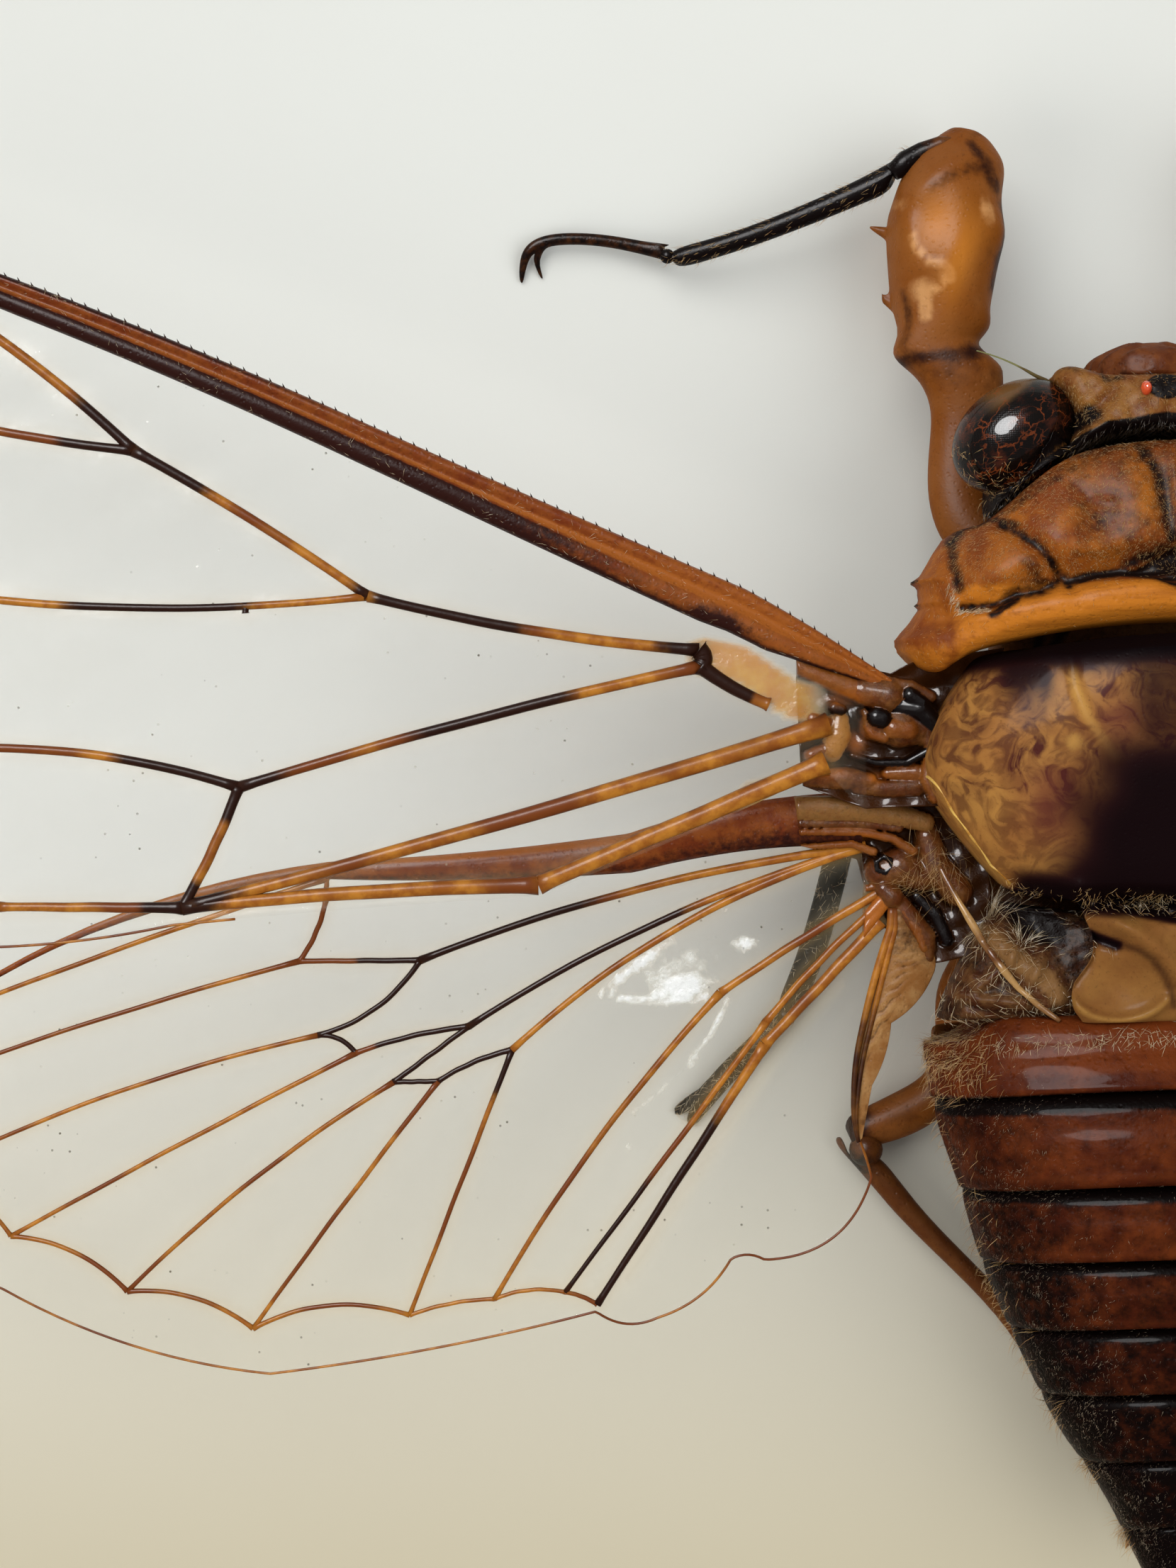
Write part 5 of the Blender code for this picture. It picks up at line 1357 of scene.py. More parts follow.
points[:, 1] += 0.75 * np.exp(-(((x - 4.9) / 1.5) ** 2) - ((z - 12.4) / 1.9) ** 2) * front
move_points(head, points)
knob_shade = np.exp(-((x / 1.2) ** 2) - ((y - 20.6) / 0.8) ** 2)
on_cheek = ease(np.hypot(x - 7.4, y - 17.9), 4.2, 3.2) * (1 - ease(distance_to(x, y, KEEL), 0.0, 0.4))
paint(head, "dark", np.maximum.reduce((
    1 - ease(distance_to(x, y, HEAD_REAR_LINE), 0.45, 0.85), ease(knob_shade, 0.3, 0.6),
    1 - ease(z, 9.6, 11.2),
    0.95 * on_cheek, 0.9 * spot(x, y, (8.4, 15.2), 1.0, 1.0),
    0.55 * ridge(x, y, ((6.2, 21.0), (5.0, 20.6), (4.6, 19.8), (5.6, 18.4)), 0.35),
    0.6 * ridge(x, y, ((3.2, 21.9), (3.0, 21.2), (2.2, 21.2)), 0.3),
    0.3 * ease(y, 21.0, 21.8),
    0.95 * ridge(x, y, ((7.6, 16.3), (6.2, 17.7), (4.9, 18.7), (3.9, 19.3)), 0.65),
    0.5 * spot(x, y, (4.6, 22.0), 1.6, 0.7),
)))
paint(head, "pale", np.maximum(0.45 * spot(x, y, (2.6, 19.6), 1.3, 0.6), 0.7 * ridge(x, y, KEEL, 0.2)))
head_finish = shell_finish(
    "vertex cuticle", (112, 62, 28), (160, 112, 52), (16, 9, 8), gloss=0.5, cloud=700.0, share=0.6,
    relief=0.06,
    coat=0.02,
)
dress(head, head_finish, "vertex", "head")

face = from_solid("postclypeus", "face", 3)
points = points_of(face)
x, y, z = np.abs(points[:, 0]), points[:, 1], points[:, 2]
ribs = np.cos(points[:, 2] * 5.2) * ease(x, 0.4, 1.0)
points[:, 1] += 0.12 * ribs * ease(y, 21.9, 22.6) * (y < 23.9)
points[:, 2] += 0.06 * np.sin(x * 2.6 + 0.8) * ease(z, 12.0, 12.8)
points[:, 0] *= 0.86
points[:, 1] -= 0.7 * (1 - ease(y, 21.9, 22.6))
points[:, 1] -= 0.15 * ease(y, 22.6, 23.6)
move_points(face, points)
paint(face, "dark", 0.35 * ease(ribs, 0.2, 0.9) + 0.25 * (1 - ease(y, 21.4, 22.0)))
paint(face, "pale", 0.25 * spot(x, z, (0, 11.5), 1.0, 1.5))
face_finish = shell_finish("face cuticle", (94, 46, 22), (138, 78, 34), (24, 12, 9), gloss=0.5,
    cloud=900.0, relief=0.05,
                            coat=0.02)
dress(face, face_finish, "face", "postclypeus")

# %% [markdown]
# A compound eye has thousands of six-sided lenses. They are too small to model, so a fine cell pattern
# makes them by bump, and it breaks the lamp's reflection into dots. Under the gloss, an old dry eye has
# rusty cracks on near-black brown, and a clearer, horn-brown crown.

# %% Finish the eyes and ocelli
EYE_SPAN = 8.0
eye_finish, tree, shader = new_material("compound eye")
where = object_place(tree)
over_eye = {"X": layer(tree, "eye_along"), "Y": layer(tree, "eye_across"), "Z": layer(tree, "eye_rise")}
over_eye = node(tree, "ShaderNodeCombineXYZ", over_eye).outputs["Vector"]
over_eye = node(tree, "ShaderNodeVectorMath", {0: over_eye, "Scale": EYE_SPAN},
    operation="SCALE").outputs[0]
bent = node(tree, "ShaderNodeTexNoise", {"Vector": over_eye, "Scale": 1.4, "Detail": 5.0}).outputs["Color"]
bent = node(tree, "ShaderNodeVectorMath", {0: bent, "Scale": 1.5}, operation="SCALE").outputs[0]
bent = node(tree, "ShaderNodeVectorMath", {0: over_eye, 1: bent}, operation="ADD").outputs[0]
cracks = node(tree, "ShaderNodeTexVoronoi", {"Vector": bent, "Scale": 1.3}, feature="DISTANCE_TO_EDGE")
crack = maths(tree, "SUBTRACT", 1.0, smooth_step(tree, cracks.outputs["Distance"], 0.01, 0.07))
crack = maths(tree, "MULTIPLY", crack, smooth_step(tree, noise(tree, 0.6, 4.0, 0.6, over_eye), 0.44, 0.6))
cloudy = smooth_step(tree, noise(tree, 0.75, 5.0, 0.65, over_eye), 0.5, 0.68)
tone = blend_colour(tree, maths(tree, "MULTIPLY", cloudy, 0.6), colour(14, 8, 6), colour(78, 34, 17))
tone = blend_colour(tree, layer(tree, "crown"), tone, colour(112, 78, 42))
tone = blend_colour(tree, maths(tree, "MULTIPLY", crack, 0.6), tone, colour(140, 66, 28))
tree.links.new(tone, shader.inputs["Base Color"])
lenses = node(tree, "ShaderNodeTexVoronoi", {"Vector": where, "Scale": 9000.0, "Randomness": 0.15})
tree.links.new(bump(tree, lenses.outputs["Distance"], 0.02 * MM, 0.6), shader.inputs["Normal"])
set_all(shader, {"Roughness": 0.25, "Specular IOR Level": 0.05, "Coat Weight": 0.24,
    "Coat Roughness": 0.04})
LONG_WAY = np.array((0.83, -0.555))
SHORT_WAY = np.array((0.555, 0.83))
eyes = []
for side in SIDES:
    eye = from_solid("eye_" + side, "fine_eye_" + side, 2)
    points = points_of(eye)
    middle = (points.max(axis=0) + points.min(axis=0)) / 2
    outward = np.array((np.sign(middle[0]), 1.0))
    flat = (points[:, :2] - middle[:2]) * outward
    long, short = flat @ LONG_WAY, flat @ SHORT_WAY
    paint(eye, "eye_along", 0.5 + long / EYE_SPAN)
    paint(eye, "eye_across", 0.5 + short / EYE_SPAN)
    paint(eye, "eye_rise", 0.5 + (points[:, 2] - middle[2]) / EYE_SPAN)
    paint(eye, "crown", 0.85 * ease(short + 0.1 * long, 1.6, 2.1) * (1 - ease(long, -0.3, 1.0)))
    flat = (1.17 * long - 0.35)[:, None] * LONG_WAY + (0.9 * short - 0.05)[:, None] * SHORT_WAY
    points[:, :2] = middle[:2] + flat * outward
    points[:, 2] = np.maximum(middle[2] + (points[:, 2] - middle[2]) * 1.04, 7.9)
    move_points(eye, points)
    eyes.append(dress(eye, eye_finish, "eye", "eye_" + side))

ruby, tree, shader = new_material("ocellus")
where = object_place(tree)
rim = smooth_step(tree, noise(tree, 2600.0, 2.0, 0.5, where), 0.4, 0.7)
tree.links.new(blend_colour(tree, rim, colour(224, 84, 42), colour(186, 48, 22)),
    shader.inputs["Base Color"])
set_all(shader, {"Roughness": 0.1, "Coat Weight": 0.8})
for place_name, shift in (("middle", (0, -0.3, -0.2)), ("left", (0.2, 0.4, -0.1)),
    ("right", (-0.2, 0.4, -0.1))):
    bead = from_solid("ocellus_" + place_name, "ruby_" + place_name, 2)
    points = points_of(bead)
    middle = points.mean(axis=0)
    points = middle + (points - middle) * ((0.75, 1.0, 1.6) if shift[0] else (0.5, 0.5, 0.6)) + shift
    move_points(bead, points)
    dress(bead, ruby, "ocellus", "ocellus_" + place_name)

# %% [markdown]
# The feeler is a stout base and a bristle that tapers to nothing. The solid has to be thick enough to
# be printed, and the drawn one needn't be.

# %% Draw the feelers
feeler_line = rail((((4.9, 21.0), (6.4, 21.8), 0.0), ((6.4, 21.8), (9.4, 23.1), 0.12)))
share = np.linspace(0, 1, 40)
radii = np.interp(share, (0, 0.2, 0.3, 0.42, 0.48, 1), (0.15, 0.14, 0.1, 0.08, 0.055, 0.03))
line = [(-px, py, 11.3 + 0.4 * s) for (px, py), s in zip(feeler_line(share), share)]
feeler = tube_mesh("feeler_left", line, radii)
x, y, z = points_of(feeler).T
paint(feeler, "dark", 0.4 * (1 - ease(-x, 5.6, 6.6)))
paint(feeler, "pale", ease(-x, 6.6, 7.6))
feeler_finish = shell_finish("feeler cuticle", (88, 66, 34), (126, 124, 78), (26, 15, 9), gloss=0.4,
    coat=0.1)
dress_pair(feeler, feeler_finish, "antenna", "antenna")
print("head faces:", len(head.data.polygons))

# %% [markdown]
# ## Legs
# The legs' solids already have the right run, so their copies only need roundness, relief and colour:
# a hollow with pale gleams in the thick front thigh, dark knees, and blackish shins. The solids keep a
# small gap at each joint, and a knuckle fills it: a squat ball set where the two pieces come closest.


# %% Shape knuckles and the front thigh
def knuckle(first, second, radius):
    """A ball where two leg pieces come closest."""
    surface = BVHTree.FromObject(first, bpy.context.evaluated_depsgraph_get())
    closest = (1.0, None, None)
    for vertex in second.data.vertices:
        near, _, _, far = surface.find_nearest(vertex.co)
        if far < closest[0]:
            closest = (far, near, vertex.co.copy())
    middle = (closest[1] + closest[2]) / 2
    bpy.ops.mesh.primitive_uv_sphere_add(segments=20, ring_count=12, radius=radius * MM, location=middle)
    ball = started("knuckle")
    bpy.ops.object.transform_apply(location=True, rotation=True, scale=True)
    ball.data.shade_smooth()
    return ball


THIGH_EDGE = 13.5


def front_thigh(limb):
    """Hollows the front thigh's upper face and paints its gleams, seams, shaded edge and the shade at its
    joint.
    """
    points = points_of(limb)
    side = np.sign(points[:, 0])
    x, y, up = np.abs(points[:, 0]), points[:, 1], upper_share(limb)
    scoop = spot(x, y, (10.9, 30.6), 1.2, 1.7, 15) + 0.7 * spot(x, y, (11.3, 26.6), 0.9, 1.3)
    brow = ridge(x, y, ((12.5, 31.2), (11.8, 28.9), (10.4, 28.3)), 0.5)
    brow = brow + ridge(x, y, ((9.4, 34.4), (12.0, 32.4)), 0.5)
    points[:, 2] += (0.25 * brow - 0.45 * scoop) * up
    points[:, 0] -= side * 0.7 * spot(x, y, (7.6, 34.2), 2.0, 1.5)
    heel = 0.9 * spot(x, y, (12.0, 24.0), 1.1, 1.1) - 0.5 * spot(x, y, (7.8, 30.4), 0.9, 1.2)
    points[:, 0] += side * heel
    points[:, 0] -= side * 0.45 * spot(x, y, (8.4, 25.4), 0.8, 0.9)
    points[:, 0] -= side * 1.3 * (1 - ease(x, 8.6, 11.6)) * (1 - ease(y, 22.8, 24.8))
    reach = np.abs(points[:, 0])
    points[:, 0] = side * np.where((y < 28.5) & (y > 25.0), np.minimum(reach, THIGH_EDGE), reach)
    move_points(limb, points)
    dark = np.maximum.reduce((
        ridge(x, y, ((9.0, 35.1), (8.7, 34.2)), 0.4), spot(x, y, (8.6, 33.8), 0.9, 0.75),
        0.9 * ridge(x, y, ((8.6, 33.8), (7.6, 32.7)), 0.5),
        0.8 * ridge(x, y, ((8.8, 33.8), (9.7, 33.4), (11.0, 32.7)), 0.45),
        # Painted shade along the thigh's edge nearer the midline.
        0.95 * ridge(x, y, ((6.9, 32.2), (7.1, 30.0), (7.5, 27.2)), 0.5),
        0.7 * (1 - ease(x, 6.9, 8.3)) * (1 - ease(y, 32.5, 35.5)),
        0.35 * ridge(x, y, ((8.0, 31.0), (8.6, 27.0), (10.0, 24.5)), 1.0), 0.5 * ease(y, 34.9, 36.0),
        # Painted shade where the thigh meets the coxa.
        0.95 * ridge(x, y, ((8.5, 24.1), (9.9, 23.7), (11.8, 23.5)), 0.6),
        0.55 * ease(24.2 - y, 0.0, 0.6) * ease(y, 20.6, 22.4),
        0.75 * ridge(x, y, ((12.5, 27.1), (12.1, 25.2), (11.6, 23.6)), 0.32),
        0.55 * ridge(x, y, ((8.7, 24.2), (7.9, 22.9)), 0.5), 0.4 * ease(x, 12.6, 13.4),
    ))
    # The pale patches are painted highlights.
    pale = np.maximum.reduce((
        1.3 * spot(x, y, (11.6, 27.2), 0.9, 0.75), 1.3 * ridge(x, y, ((11.5, 27.0), (11.4, 25.8)), 0.5),
        1.2 * ridge(x, y, ((11.4, 26.9), (10.0, 27.8)), 0.42), 0.9 * spot(x, y, (12.5, 32.0), 0.6, 0.7),
        1.2 * ridge(x, y, ((12.1, 30.3), (11.9, 29.4), (11.1, 28.5), (10.3, 28.3)), 0.36),
        1.2 * spot(x, y, (8.2, 31.3), 0.5, 1.0),
    ))
    paint(limb, "amber",
        spot(x, y, (10.7, 30.7), 1.2, 1.7, 15) + 0.8 * spot(x, y, (9.6, 28.6), 0.8, 2.4, 20))
    return 0.72 * dark, 0.55 * pale


# %% Finish the legs
thigh_finish = shell_finish("thigh cuticle", (128, 70, 22), (200, 146, 92), (44, 19, 10), gloss=0.42,
    cloud=300.0,
                            share=0.1, relief=0.03, coat=0.02)
tree = thigh_finish.node_tree
shader = tree.nodes["Principled BSDF"]
plain = shader.inputs["Base Color"].links[0].from_socket
warm = blend_colour(tree, maths(tree, "MULTIPLY", layer(tree, "amber"), 0.75), plain, colour(204, 126, 40))
tree.links.new(warm, shader.inputs["Base Color"])
shin_finish = shell_finish("shin cuticle", (92, 50, 22), (120, 74, 34), (16, 9, 8), gloss=0.34, cloud=700.0,
                           share=0.4, relief=0.05, coat=0.05)
MID_SWELL = 0.22
HIND_SHIFT = 1.3
legs = {}
KNUCKLES = {"fore": (0.85, 0.42), "mid": (0.6, 0.4), "hind": (0.95, 0.45)}
for leg, (knee_size, ankle_size) in KNUCKLES.items():
    for side in SIDES:
        names = [f"{leg}leg_{bone}_{side}" for bone in ("femur", "tibia", "tarsus")]
        thigh, shin, foot = [from_solid(solid, f"fine_{solid}", 2) for solid in names]
        knee, ankle = knuckle(thigh, shin, knee_size), knuckle(shin, foot, ankle_size)
        shin = join(f"fine_{names[1]}", [shin, knee, ankle])
        for limb, solid in zip((thigh, shin, foot), names):
            legs[solid] = limb
            if leg == "hind" and limb is not thigh:
                points = points_of(limb)
                points[:, 0] -= np.sign(points[:, 0]) * HIND_SHIFT * ease(-points[:, 1], 23.0, 31.0)
                move_points(limb, points)
            if leg == "mid" and limb is not thigh:
                modify(limb, "DISPLACE", strength=MID_SWELL * MM, mid_level=0)
                move_points(limb, np.maximum(points_of(limb), (-200, -200, 0)))
            x, y = np.abs(points_of(limb)[:, 0]), points_of(limb)[:, 1]
            dark, pale = 0.65, 0.0
            if leg == "mid":
                dark = 1.0
            elif leg == "hind" and limb is foot:
                dark = 0.25
            elif leg == "hind" and limb is shin:
                dark = 0.15 + 0.6 * spot(x, y, (16.1, -21.0), 1.2)
            elif leg == "fore" and limb is shin:
                dark = 0.9 - 0.6 * ease(12.5 - x, 0.0, 2.0)
            elif leg == "fore" and limb is thigh:
                dark, pale = front_thigh(limb)
            elif limb is thigh:
                dark = 0.3 + 0.6 * ease(x, 14.6, 16.0) * (leg == "hind")
            paint(limb, "dark", dark)
            paint(limb, "pale", pale)
            dress(limb, thigh_finish if limb is thigh else shin_finish, "femur" if limb is thigh
                else "shin", solid)
for side, sign in SIDES.items():
    thigh = legs[f"foreleg_femur_{side}"]
    plan = [(sign * px, py) for px,
        py in ((12.9, 33.9), (12.1, 34.5), (11.2, 35.0), (10.2, 35.35), (9.3, 35.5))]
    lever = tube_mesh("lever", drop_on(thigh, plan[::-1], -0.3)[::-1], (0.62, 0.66, 0.6, 0.45, 0.2), 4)
    modify(lever, "SMOOTH", factor=0.5, iterations=1)
    paint(lever, "dark", ease(np.abs(points_of(lever)[:, 0]), 9.2, 12.4))
    paint(lever, "pale", 0)
    dress(lever, shin_finish, "shin")
    lever.name = f"foreleg_lever_{side}"
print("leg pieces:", len(legs), "and two levers")

# %% [markdown]
# ## Where the wings hinge
# A wing doesn't start from one joint but from a huddle of small hard knobs in a leathery skin. Seen from
# above they are rounded bars and beads pressed into each other. A grid between two rails is laid over
# each hinge, and each knob lifts the points under it as a capsule would, so creases form between them.


# %% Press capsules up through a grid
def capsule(x, y, line, radii, middle):
    """Height of a bar with round sides, through points with their own radii; very low beside it."""
    height = np.full(len(x), -99.0)
    for (x0, y0), (x1, y1), r0, r1 in zip(line, line[1:], radii, radii[1:]):
        dx, dy = x1 - x0, y1 - y0
        along = np.clip(((x - x0) * dx + (y - y0) * dy) / (dx * dx + dy * dy), 0, 1)
        radius = r0 + (r1 - r0) * along
        inside = radius**2 - (x - x0 - dx * along) ** 2 - (y - y0 - dy * along) ** 2
        height = np.maximum(height, np.where(inside > 0, middle + np.sqrt(np.maximum(inside, 0)), -99.0))
    return height


TONES = {
    "black": (1.0, 0.0, 0.0), "brown": (0.45, 0.0, 0.1), "ochre": (0.15, 0.7, 0.1), "tan": (0.35, 0.5, 0.0),
    "amber": (0.15, 0.1, 0.8), "rust": (0.45, 0.0, 0.35), "floor": (0.85, 0.0, 0.1),
    "glow": (0.0, 0.3, 1.0),
}


def hinge_skin(name, front, rear, level, knobs, tints, columns, rows, outer=None):
    """A leathery skin between two rails with knobs of (tone, middle, line, radii), and tinted places."""
    piece, along, across, plan = grid_between(name, rail(front), rail(rear), columns, rows)
    x, y = plan.T
    if outer:
        limit = np.interp(-y, *outer)
        x = np.where(x > 14, 14 + (x - 14) * (limit - 14) / 5.4, x)
    edge = np.minimum(np.minimum(across, 1 - across) * 5, 1)
    floor_height = level - 0.7 * edge + 0.12 * np.sin(3.3 * x + 1.4 * y) * np.sin(2.7 * y - x)
    height = floor_height.copy()
    tone = np.tile(TONES["floor"], (len(x), 1))
    for kind, middle, line, radii in knobs:
        lift = capsule(x, y, line, radii, middle)
        above = lift > height
        tone[above] = TONES[kind]
        height = np.maximum(height, lift)
    for kind, centre, width, length in tints:
        share = spot(x, y, centre, width, length)[:, None]
        tone = tone * (1 - share) + np.array(TONES[kind]) * share
    upper = np.stack((-x, y, height), axis=1)
    border = np.minimum(np.minimum(across, 1 - across), np.minimum(along, 1 - along)) < 0.001
    depth = np.where(border, height, floor_height - 0.9 + 0.25 * np.sin(2.1 * x) * np.cos(1.7 * y))
    under = np.stack((-x, y, depth), axis=1)
    both = closed_shell(piece, upper, under, dict(zip(("dark", "pale", "amber"), tone.T)), 0.002)
    modify(both, "SMOOTH", factor=0.5, iterations=1)
    both.data.shade_smooth()
    return both


FORE_KNOBS = (
    ("rust", 12.4, ((19.6, 6.8), (18.4, 6.25), (16.4, 5.4)), (0.4, 0.5, 0.6)),
    ("black", 12.6, ((18.4, 6.05), (16.4, 5.2), (14.7, 4.6)), (0.22, 0.3, 0.36)),
    ("brown", 12.35, ((15.9, 5.3), (14.6, 5.0)), (0.75, 0.95)),
    ("black", 12.5, ((14.3, 4.5), (13.0, 4.3), (12.2, 3.4)), (0.5, 0.72, 0.5)),
    ("black", 12.9, ((13.5, 5.0), (12.9, 4.6)), (0.42, 0.34)),
    ("rust", 12.8, ((15.4, 5.5), (14.5, 5.35), (13.9, 4.9)), (0.22, 0.3, 0.2)),
    ("brown", 12.5, ((14.6, 5.75), (13.4, 5.4), (12.4, 4.9)), (0.3, 0.42, 0.35)),
    ("floor", 10.3, ((8.6, 6.6), (10.4, 6.1), (12.4, 5.6)), (0.9, 1.1, 0.9)),
    ("tan", 11.2, ((13.9, 6.3), (13.0, 6.4)), (0.45, 0.4)),
    ("brown", 12.0, ((15.4, 3.5), (14.0, 3.4), (12.9, 3.2)), (0.8, 1.15, 0.85)),
    ("rust", 12.75, ((14.4, 3.3), (13.6, 3.2)), (0.55, 0.5)),
    ("brown", 12.4, ((13.2, 3.7), (12.6, 3.0), (12.5, 2.4)), (0.3, 0.4, 0.35)),
    ("black", 12.95, ((15.3, 3.9), (15.0, 3.8)), (0.52, 0.5)),
    ("brown", 12.75, ((15.9, 4.2), (15.7, 3.5), (15.1, 3.2)), (0.2, 0.24, 0.2)),
    ("rust", 12.75, ((15.8, 3.4), (15.5, 3.0), (14.9, 2.8)), (0.2, 0.25, 0.25)),
    ("ochre", 12.3, ((17.2, 3.8), (17.3, 3.0), (17.6, 2.2)), (0.55, 0.75, 0.6)),
    ("black", 12.95, ((17.5, 4.45), (17.1, 4.35)), (0.33, 0.3)),
    ("rust", 12.5, ((18.6, 3.9), (17.9, 3.7)), (0.45, 0.4)),
    ("rust", 12.4, ((18.7, 2.0), (18.0, 2.3)), (0.4, 0.35)),
    ("black", 12.45, ((16.6, 1.95), (15.3, 1.5), (13.7, 1.5), (12.3, 2.2)), (0.16, 0.2, 0.22, 0.28)),
    ("brown", 12.0, ((18.9, 0.85), (16.9, 0.75), (15.7, 0.6)), (0.5, 0.62, 0.45)),
    ("brown", 11.9, ((16.3, 0.3), (14.9, 0.15), (13.2, 0.2)), (0.38, 0.45, 0.5)),
    ("rust", 12.0, ((14.7, 0.95), (13.2, 0.95)), (0.32, 0.5)),
    ("rust", 12.45, ((12.6, 1.6), (12.7, 0.6), (12.3, -0.4)), (0.3, 0.35, 0.3)),
)
fore_root = hinge_skin(
    "forewing_root_left",
    (((8.4, 7.4), (12.6, 6.9), 0.0), ((12.6, 6.9), (14.4, 6.2), 0.1), ((14.4, 6.2), (19.4, 7.4), 0.0)),
    (((9.4, -1.0), (15.9, -0.9), 0.1), ((15.9, -0.9), (19.2, 0.4), 0.0)), 12.1, FORE_KNOBS,
    (("glow", (16.3, 2.6), 0.45, 0.5), ("amber", (17.0, 4.9), 1.0, 0.35), ("amber", (17.8, 1.1), 0.8, 0.3),
     ("glow", (15.3, 0.75), 0.4, 0.25)), 150, 130,
)
HIND_KNOBS = (
    ("tan", 10.75, ((19.4, -0.75), (16.1, -0.85), (14.4, -1.2), (12.6, -1.7)), (0.72, 0.8, 0.7, 0.5)),
    ("brown", 10.9, ((19.4, -1.6), (16.1, -1.65), (14.0, -2.0)), (0.22, 0.25, 0.22)),
    ("rust", 10.85, ((19.4, -2.05), (16.1, -2.1), (14.4, -2.5), (13.3, -3.2)), (0.2, 0.24, 0.26, 0.26)),
    ("rust", 10.75, ((19.2, -2.85), (16.5, -2.75), (15.4, -3.2)), (0.18, 0.22, 0.24)),
    ("brown", 10.1, ((15.0, -4.3), (14.0, -4.1), (12.8, -4.6)), (0.9, 1.1, 0.8)),
    ("black", 10.95, ((15.3, -3.7), (14.95, -3.45), (14.55, -3.65), (14.5, -4.05), (14.85, -4.3),
        (15.25, -4.15),
                      (15.3, -3.7)), (0.14,) * 7),
    ("brown", 10.6, ((14.9, -5.2), (14.5, -5.6)), (0.5, 0.62)),
    ("amber", 10.5, ((14.7, -5.5), (15.7, -6.5), (18.4, -7.9)), (0.42, 0.3, 0.24)),
    ("amber", 10.45, ((14.7, -5.6), (15.9, -7.2), (17.6, -9.2)), (0.42, 0.3, 0.24)),
    ("rust", 10.3, ((14.6, -5.0), (16.4, -5.2), (18.4, -6.0)), (0.3, 0.16, 0.1)),
    ("brown", 10.2, ((12.5, -2.5), (12.1, -4.0), (11.0, -5.4)), (0.7, 0.85, 0.85)),
    ("black", 10.6, ((13.2, -5.6), (12.2, -6.6), (11.6, -8.0)), (0.3, 0.4, 0.35)),
    ("brown", 10.25, ((14.2, -5.8), (13.5, -6.8), (12.7, -7.8), (12.6, -8.9)), (0.5, 0.6, 0.55, 0.35)),
    ("rust", 10.6, ((13.9, -6.4), (13.2, -7.4), (12.9, -8.4)), (0.2, 0.28, 0.2)),
)
hind_root = hinge_skin(
    "hindwing_root_left", (((9.2, -1.4), (15.9, -0.2), 0.05), ((15.9, -0.2), (19.6, -0.1), 0.0)),
    (((9.0, -8.4), (13.4, -9.3), -0.2), ((13.4, -9.3), (15.0, -7.6), 0.2),
        ((15.0, -7.6), (18.6, -8.2), 0.6)),
    10.3, HIND_KNOBS, (("glow", (16.4, -2.4), 0.9, 0.15),), 120, 120,
    ((0.0, 2.8, 3.6, 5.0, 6.6, 9.0), (19.4, 19.4, 16.3, 16.0, 16.2, 16.6)),
)

root_finish, tree, shader = new_material("root cuticle")
root_colours = use_group(tree, cuticle, {
    "Base": colour(84, 38, 17), "Light": colour(164, 116, 60), "Dark": colour(15, 7, 6),
    "Dark patch": layer(tree, "dark"), "Light patch": layer(tree, "pale"), "Cloud scale": 900.0,
    "Cloud share": 0.35,
})
amber_share = maths(tree, "MULTIPLY", layer(tree, "amber"), 0.9)
tone = blend_colour(tree, amber_share, root_colours["Color"], colour(186, 104, 32))
tree.links.new(tone, shader.inputs["Base Color"])
tree.links.new(maths(tree, "ADD", root_colours["Roughness"], 0.2), shader.inputs["Roughness"])
where = object_place(tree)
creases = noise(tree, 1500.0, 6.0, 0.7, where)
tree.links.new(bump(tree, creases, 0.14 * MM), shader.inputs["Normal"])
set_all(shader, {"Coat Weight": 0.2, "Coat Roughness": 0.14, "Specular IOR Level": 0.05})
dress_pair(fore_root, root_finish, "wing_base", "forewing_base")
dress_pair(hind_root, root_finish, "wing_base", "hindwing_base")
print("root faces:", len(fore_root.data.polygons), len(hind_root.data.polygons))

# %% [markdown]
# ## The folded inner leaf
# Beside the abdomen the hindwing ends in a small brown leaf, creased like crepe paper, held by a double
# vein along its outer edge. Its creases are real folds of the grid, so they catch the light, and they are
# also painted darker in their troughs, as painted shade, and paler on their ridges, as painted light.

# %% Crease the inner leaf
LEAF_OUTER = (
    ((14.5, -6.2), (14.6, -7.3), 0.0), ((14.6, -7.3), (16.3, -12.8), 0.1),
    ((16.3, -12.8), (16.8, -16.2), 0.1),
    ((16.8, -16.2), (16.6, -18.6), 0.1),
)
LEAF_INNER = (
    ((13.6, -6.4), (12.4, -8.6), 0.2), ((12.4, -8.6), (12.4, -9.8), -0.15),
    ((12.4, -9.8), (14.7, -12.3), -0.3),
    ((14.7, -12.3), (15.8, -15.6), -0.2), ((15.8, -15.6), (16.4, -18.4), 0.0),
)
leaf, along, across, plan = grid_between("inner_leaf_left", rail(LEAF_OUTER), rail(LEAF_INNER), 220, 40)
x, y = plan.T
fan = np.arctan2(-(y + 8.6), x - 11.2)
phase = 48 * fan + 1.2 * np.sin(2.1 * x + 1.3 * y) + 0.8 * np.sin(5.3 * x - 2.2 * y)
crease = np.sin(phase) * ease(across, 0.04, 0.3) * (0.55 + 0.45 * np.sin(3.1 * x + 1.7 * y))
height = 10.4 + 0.018 * crease + 0.3 * np.sin(np.pi * across) * (1 - along)
move_points(leaf, np.stack((-x, y, height), axis=1))
